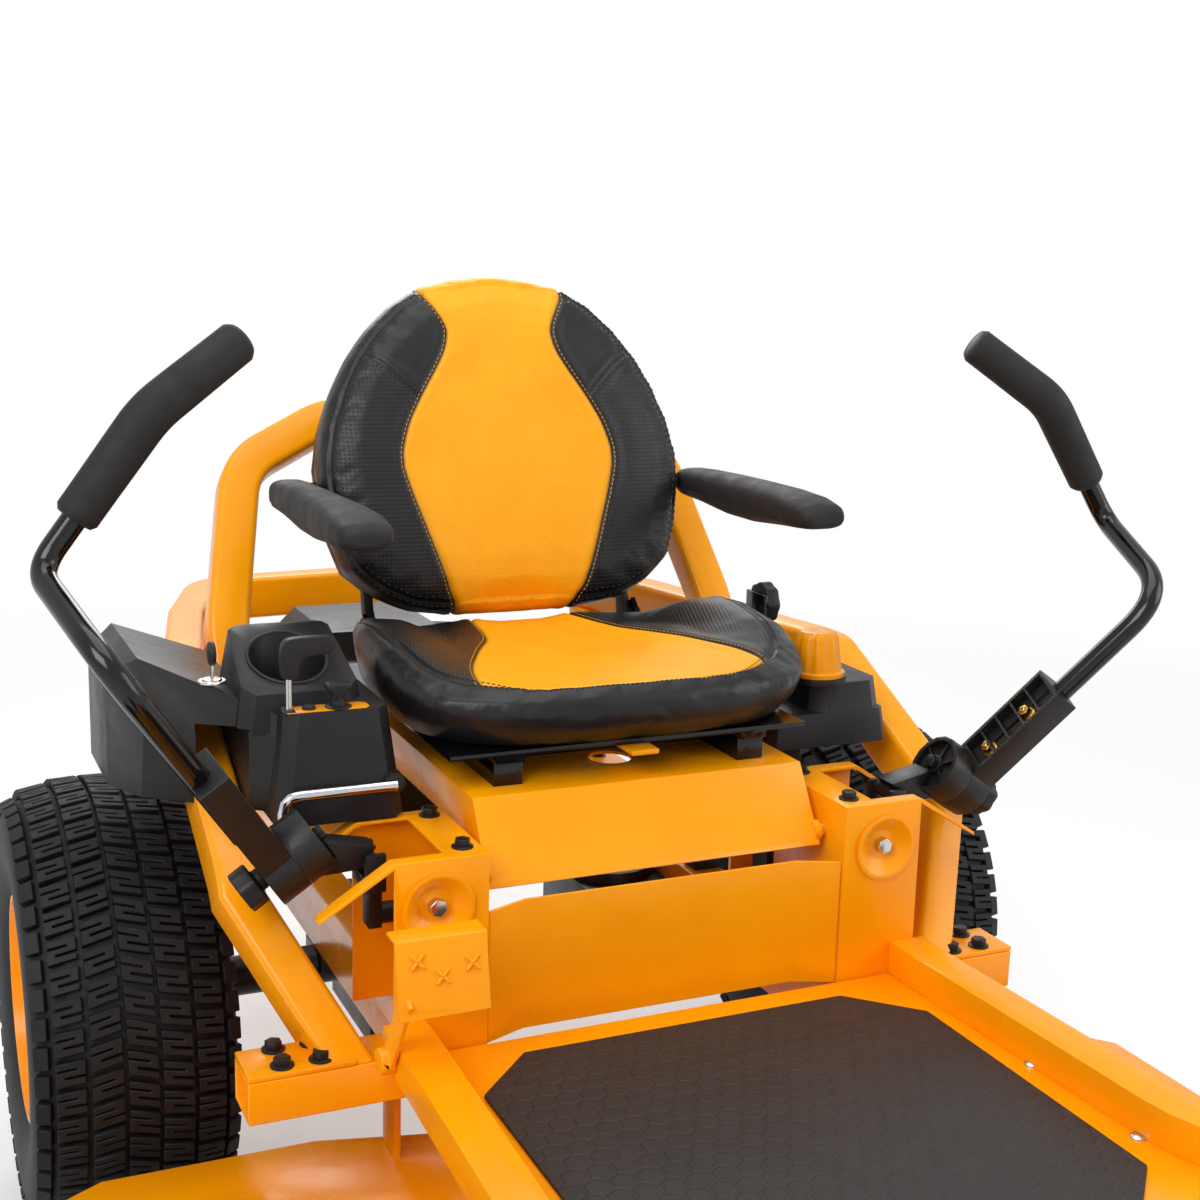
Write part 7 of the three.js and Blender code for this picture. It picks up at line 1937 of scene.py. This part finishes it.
@dataclass
class RunningGear(Section):
    """Rear tyres with turf tread, their rims, and the front casters.

    Attributes:
        wheel_x: The rear wheels' middle, in millimetres from the machine's middle.
        axle_z: The rear axle's height.
        radius: The rear tyre's radius.
        width: The rear tyre's width.
        rim_radius: The rear rim's bead radius.
        lugs: How many lugs go round each row of tread.
        tread: For each row its place across, its start as a share of a lug, and its lugs' width and slant.
        lug_share: How much of its pitch a lug takes up.
        lug_root: How much of a lug's height is its root.
        lug_sunk: How deep the root goes into the carcass.
        rim_nuts: How many nuts hold a rear rim, and the radius of their circle.
        caster: The caster wheel's middle for the left side.
        caster_radius: The caster tyre's radius.
        caster_width: The caster tyre's width.
        caster_rim: The radius where its rubber meets its rim.
        caster_nut: How far an axle nut's seat stands off the tyre's side.
    """

    wheel_x: float = 534.0
    axle_z: float = 279.0
    radius: float = 279.0
    width: float = 232.0
    rim_radius: float = 140.0
    lugs: int = 50
    tread: tuple[tuple[float, float, float, float], ...] = (
        (0.0, 0.0, 33.0, 0.3), (38.0, 0.5, 34.0, 0.22), (-38.0, 0.5, 34.0, -0.22), (75.0, 0.0, 32.0, 0.12),
        (-75.0, 0.0, 32.0, -0.12), (102.0, 0.5, 17.0, 0.0), (-102.0, 0.5, 17.0, 0.0))
    lug_share: float = 0.8
    lug_root: float = 3.0
    lug_sunk: float = 3.3
    rim_nuts: tuple[int, float] = (5, 58.0)
    caster: Point = (500.0, -1165.0, 165.0)
    caster_radius: float = 165.0
    caster_width: float = 160.0
    caster_rim: float = 79.5
    caster_nut: float = 16.2

    def _crown(self, across: float) -> float:
        """The carcass radius under the tread at a distance from the tyre's middle.

        Args:
            across: The distance in millimetres.

        Returns:
            The radius in millimetres.
        """
        share = min(1.0, abs(across) / (self.width / 2))
        return self.radius - 9.0 - 34.0 * share ** 3.2

    def _tyre(self, side: str, sign: float) -> None:
        """One tyre: a smooth carcass with rows of rounded lugs."""
        half = self.width / 2
        shoulder = [s * half for s in (-0.93, -0.8, -0.6, -0.4, -0.2, 0.0, 0.2, 0.4, 0.6, 0.8, 0.93)]
        wall = [(half * 0.985, self.radius - 52), (half * 0.995, self.radius - 80), (half * 0.96, self.radius - 104),
                (half * 0.9, self.rim_radius + 14), (half * 0.82, self.rim_radius + 4), (half * 0.8, self.rim_radius)]
        profile = [(-a, r) for a, r in reversed(wall)] + [(a, self._crown(a)) for a in shoulder] + wall
        centre = at(sign * self.wheel_x, 0, self.axle_z)
        parts = [wheel_turned(f"carcass_{side}", profile, centre, self.paints.tyre, 96, 60)]
        for n, (across, phase, width, slant) in enumerate(self.tread):
            reach, share = self._crown(across), (abs(across) / half) ** 3
            top = min(self.radius - 0.6 - 17.0 * share, reach + 9.0)
            lug = self._lug(width, TAU * reach / self.lugs * self.lug_share, top - reach + self.lug_root, slant)
            tilt = math.copysign(math.radians(1.0 + 33.0 * share), across)
            spots = []
            for k in range(self.lugs):
                turn = TAU * (k + phase) / self.lugs
                way = Vector((0, math.cos(turn), math.sin(turn)))
                place = centre + Vector((across * MM, 0, 0)) + way * (reach - self.lug_sunk) * MM
                out = (way * math.cos(tilt) + OUT * math.sin(tilt)).normalized()
                spots.append((place, out, Vector((0, -math.sin(turn), math.cos(turn)))))
            parts.append(self.scatter.place(f"tread_{side}_{n}", lug, spots, self.paints.tyre, 40))
            bpy.data.objects.remove(lug)
        tyre = merged(f"turf_tyre_{side}", parts)
        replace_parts(tyre, f"rear_tyre_{side}")
        done(tyre, f"drive_wheel_{side}", "tyre_rubber")

    def _lug(self, width: float, length: float, height: float, slant: float) -> Object:
        """One lug lying along X, standing on the origin, with two slots that make it an S.

        Args:
            width: Its width across the tyre in millimetres.
            length: Its length round the tyre.
            height: Its height.
            slant: How much its ends lean, as a share of its width; 0 leaves the slots out.

        Returns:
            The hidden shape.
        """
        a, b = length / 2, width / 2
        near, far, deep = a / 3 - 1.3, a / 3 + 1.3, b * 0.42
        if slant:
            outline = [(-a, -b), (-far, -b), (-far, deep), (-near, deep), (-near, -b), (a, -b), (a, b), (far, b),
                       (far, -deep), (near, -deep), (near, b), (-a, b)]
        else:
            outline = [(-a, -b), (a, -b), (a, b), (-a, b)]
        obj = extruded("lug_shape", outline, lambda p, q, h: Vector((p + slant * q, q, h)) * MM, 0.0, height,
                       self.paints.tyre, 0)
        bevelled(obj, 0.9, 1, 50)
        return hidden(obj)

    def _rim(self, side: str, sign: float) -> None:
        """One rim from the CAD shape, smoothed, with its wheel nuts."""
        self.dress(f"drive_wheel_{side}", f"rear_rim_{side}", f"wheel_rim_{side}", "yellow", 0.0, 1, 40)
        outward = Vector((sign, 0, 0))
        tree = surface_of(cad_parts[f"rear_rim_{side}"].data)
        count, circle = self.rim_nuts
        for k in range(count):
            turn = TAU * (k + 0.25) / count
            start = at(sign * 900, circle * math.cos(turn), self.axle_z + circle * math.sin(turn))
            place = tree.ray_cast(start, -outward)[0]
            if place is not None:
                self.bolts.add(f"drive_wheel_{side}", Bolt.NUT, 19, "zinc", place, outward)

    def _caster(self, side: str, sign: float) -> None:
        """One caster: a ribbed solid tyre on a rim, with a sealed hub."""
        x, y, z = self.caster
        half, tread = self.caster_width / 2, self.caster_radius
        ribs = []
        for k in range(-3, 4):
            mid = k * half * 0.25
            drop = 12 * (abs(mid) / half) ** 2.5
            ribs += [(mid - half * 0.1, tread - 1 - drop), (mid + half * 0.1, tread - 1 - drop)]
            if k < 3:
                ribs += [(mid + half * 0.115, tread - 5 - drop), (mid + half * 0.135, tread - 5 - drop)]
        wall = [(half * 0.93, tread - 26), (half * 0.97, tread - 46), (half * 0.93, tread - 68), (half * 0.82, 86),
                (half * 0.8, 80)]
        disc = [(half * 0.79, 79), (half * 0.74, 77), (half * 0.62, 74), (half * 0.6, 44), (half * 0.66, 38),
                (half * 0.98, 27), (half * 0.985, 15), (half * 0.97, 14.2)]
        low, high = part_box(f"caster_wheel_{side}")
        limit = (high.x - low.x) / MM / 2
        profile = [(-a, b) for a, b in reversed(wall + disc)] + ribs + wall + disc
        profile = [(max(-limit, min(limit, a)), b) for a, b in profile]
        middle = at(sign * x, y, z)
        wheel = wheel_turned(f"ribbed_wheel_{side}", profile, middle, self.paints.tyre, 72, 40)
        wheel.data.materials.append(self.paints.gloss_black)
        for face in wheel.data.polygons:
            reach = math.hypot(face.center.y - middle.y, face.center.z - middle.z) / MM
            face.material_index = 1 if reach < self.caster_rim else 0
        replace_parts(wheel, f"caster_wheel_{side}")
        done(wheel, f"front_wheel_{side}", "tyre_rubber")
        self.dress(f"caster_{side}", f"caster_fork_{side}", f"caster_yoke_{side}", "gloss_black", 2.0)
        for k in (-1, 1):
            self.bolts.add(f"caster_{side}", Bolt.NUT, 22, "zinc", at(sign * x + k * (half + self.caster_nut), y, z),
                           Vector((k, 0, 0)))

    def build(self) -> None:
        """Builds all four wheels."""
        for side, sign in SIDES.items():
            self._tyre(side, sign)
            self._rim(side, sign)
            self._caster(side, sign)


@dataclass
class CuttingDeck(Section):
    """Deck shell, chute and blades, with the spindle housings' bolts.

    Attributes:
        spindles: The three spindles' places, across and along, in millimetres.
        housing_bolts: How many bolts hold each spindle's housing, and the radius of their circle.
    """

    spindles: tuple[tuple[float, float], ...] = ((-440.0, -600.0), (0.0, -700.0), (440.0, -600.0))
    housing_bolts: tuple[int, float] = (6, 66.0)

    def build(self) -> None:
        """Builds the deck."""
        dress = self.dress
        dress("deck", "deck_shell", "deck_body", "yellow", 2.0)
        dress("chute", "discharge_chute", "side_chute", "black_plastic", 2.0)
        for name in ("left", "centre", "right"):
            dress(f"cutter_{name}", f"blade_{name}", f"cutting_blade_{name}", "steel", 0.6, 2)
        tree = surface_of(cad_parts["deck_shell"].data)
        count, circle = self.housing_bolts
        for x, y in self.spindles:
            for k in range(count):
                turn = TAU * k / count + 0.3
                start = at(x + circle * math.cos(turn), y + circle * math.sin(turn), 330)
                place, normal, _, _ = tree.ray_cast(start, -UP)
                if place is not None and normal.z > 0.9:
                    self.bolts.add("deck", Bolt.FLANGE, 13, "zinc", place, normal)


@dataclass
class PowerUnit(Section):
    """Engine, its cover and the two transaxles."""

    def build(self) -> None:
        """Builds the engine and the drive."""
        dress = self.dress
        dress("chassis", "engine_block", "engine_casting", "cast_black", 1.6, 2)
        dress("chassis", "engine_shroud", "engine_cover", "black_plastic", 4.0)
        for side in SIDES:
            dress("chassis", f"transaxle_{side}", f"drive_unit_{side}", "cast_black", 2.0, 2)


# ---------------------------------------------------------------- studio


@dataclass
class Studio:
    """Floor, light and the camera at the photograph's angle.

    Attributes:
        eye: The camera's place in millimetres from the rear axle's middle.
        yaw: Its turn towards the machine's left, in radians.
        pitch: How far it looks down, in radians.
        roll: Its roll in radians.
        lens: Its focal length in millimetres on a 36 mm sensor.
        floor_white: How much plain white is mixed in the floor next to the machine.
        aim: What the lamps face.
        lamps: Each lamp's name, place, width and height in metres, and power in watts.
    """

    eye: Point = (-801.9, -2048.0, 1202.6)
    yaw: float = 0.428105
    pitch: float = 0.199464
    roll: float = 0.0270204
    lens: float = 50.412
    floor_white: float = 0.35
    aim: Point = (0.0, -300.0, 500.0)
    lamps: tuple[tuple[str, Point, tuple[float, float], float], ...] = (
        ("key", (-2600, -2600, 2900), (2.4, 2.0), 92), ("fill", (2900, -2300, 1900), (2.2, 2.2), 40),
        ("back", (800, 2900, 2600), (2.6, 1.6), 56), ("top", (0, -400, 3600), (2.6, 2.6), 48))

    def _camera(self) -> None:
        """Sets the camera where the photograph was taken."""
        ahead = Vector((math.sin(self.yaw) * math.cos(self.pitch), math.cos(self.yaw) * math.cos(self.pitch),
                        -math.sin(self.pitch)))
        right = Vector((math.cos(self.yaw), -math.sin(self.yaw), 0))
        up = right.cross(ahead)
        c, s = math.cos(self.roll), math.sin(self.roll)
        right, up = right * c + up * s, up * c - right * s
        data = bpy.data.cameras.new("view")
        data.lens = self.lens
        data.sensor_width = 36.0
        data.clip_end = 60.0
        camera = linked("view", data)
        turn = Matrix((right, up, -ahead)).transposed()
        camera.matrix_world = Matrix.Translation(at(*self.eye)) @ turn.to_4x4()
        bpy.context.scene.camera = camera

    def _pale(self, name: str) -> Material:
        """A matt pale floor that keeps the shadow and shows plain white further off."""
        material, kit, shader = new_material(name)
        kit.feed(shader, {"Base Color": kit.mix(kit.noise(900.0, 2.0) * 0.2, linear("fafaf9"), linear("f4f4f2")),
                          "Roughness": 0.8, "Specular IOR Level": 0.15})
        path = kit.tree.nodes.new("ShaderNodeLightPath")
        seen = [Wire(kit, path.outputs[f"Is {ray} Ray"]) for ray in ("Camera", "Glossy", "Transmission")]
        shown = (seen[0] + seen[1] + seen[2]).apply("MINIMUM", 1.0)
        reach = kit.add("ShaderNodeVectorMath", {"operation": "LENGTH"}, {0: kit.coords()}, "Value")
        white = kit.add("ShaderNodeEmission", None, {"Color": (1, 1, 1, 1), "Strength": 1.0})
        share = shown * (reach.between(1.3, 4.2) * (1.0 - self.floor_white) + self.floor_white)
        mixed = kit.add("ShaderNodeMixShader", None, {0: share, 1: Wire(kit, shader.outputs[0]), 2: white})
        output = next(n for n in kit.tree.nodes if n.type == "OUTPUT_MATERIAL")
        kit.tree.links.new(mixed.socket, output.inputs["Surface"])
        return material

    def _lamp(self, name: str, place: Point, size: tuple[float, float], power: float) -> None:
        """A soft rectangular lamp.

        Args:
            name: Its name.
            place: Where it stands, in millimetres.
            size: Its width and height in metres.
            power: Its power in watts.
        """
        data = bpy.data.lights.new(name, "AREA")
        data.shape = "RECTANGLE"
        data.size, data.size_y = size
        data.energy = power
        lamp = linked(name, data)
        lamp.location = at(*place)
        lamp.rotation_euler = (at(*place) - at(*self.aim)).to_track_quat("Z", "Y").to_euler()

    def _world(self) -> None:
        """Even pale surroundings, plain white where the camera or a mirror sees them."""
        world = bpy.data.worlds.new("studio")
        world.use_nodes = True
        world.node_tree.nodes.clear()
        bpy.context.scene.world = world
        kit = NodeKit(world.node_tree)
        path = world.node_tree.nodes.new("ShaderNodeLightPath")
        seen = Wire(kit, path.outputs["Is Camera Ray"])
        mirrored = Wire(kit, path.outputs["Is Glossy Ray"]) + Wire(kit, path.outputs["Is Transmission Ray"])
        soft = kit.add("ShaderNodeBackground", None, {"Color": linear("eef0f4"), "Strength": 0.42})
        white = kit.add("ShaderNodeBackground", None, {"Color": (1, 1, 1, 1), "Strength": 1.0})
        dim = kit.add("ShaderNodeBackground", None, {"Color": (1, 1, 1, 1), "Strength": 0.8})
        lit = kit.add("ShaderNodeMixShader", None, {0: mirrored.apply("MINIMUM", 1.0), 1: soft, 2: dim})
        mixed = kit.add("ShaderNodeMixShader", None, {0: seen, 1: lit, 2: white})
        output = world.node_tree.nodes.new("ShaderNodeOutputWorld")
        world.node_tree.links.new(mixed.socket, output.inputs["Surface"])

    def build(self) -> None:
        """Sets up the floor, the lamps, the surroundings and the camera."""
        floor = mesh_object("studio_floor", [(-9, -9, 0), (9, -9, 0), (9, 9, 0), (-9, 9, 0)], [[0, 1, 2, 3]],
                            self._pale("pale_floor"))
        for lamp in self.lamps:
            self._lamp(*lamp)
        self._world()
        self._camera()
        bpy.context.scene.view_settings.view_transform = "Standard"


def main() -> None:
    """Builds the dressed mower piece by piece."""
    logging.basicConfig(level=logging.INFO, format="%(message)s")
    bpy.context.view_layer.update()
    paints, scatter = Palette(), Scatter()
    bolts = Fasteners(scatter, paints)
    Studio().build()
    for group in (Chassis, Seat, LapLevers, Console, FuelTank, RunningGear, CuttingDeck, PowerUnit):
        group(paints, scatter, bolts).build()
    bolts.build()


if __name__ == "__main__":
    main()
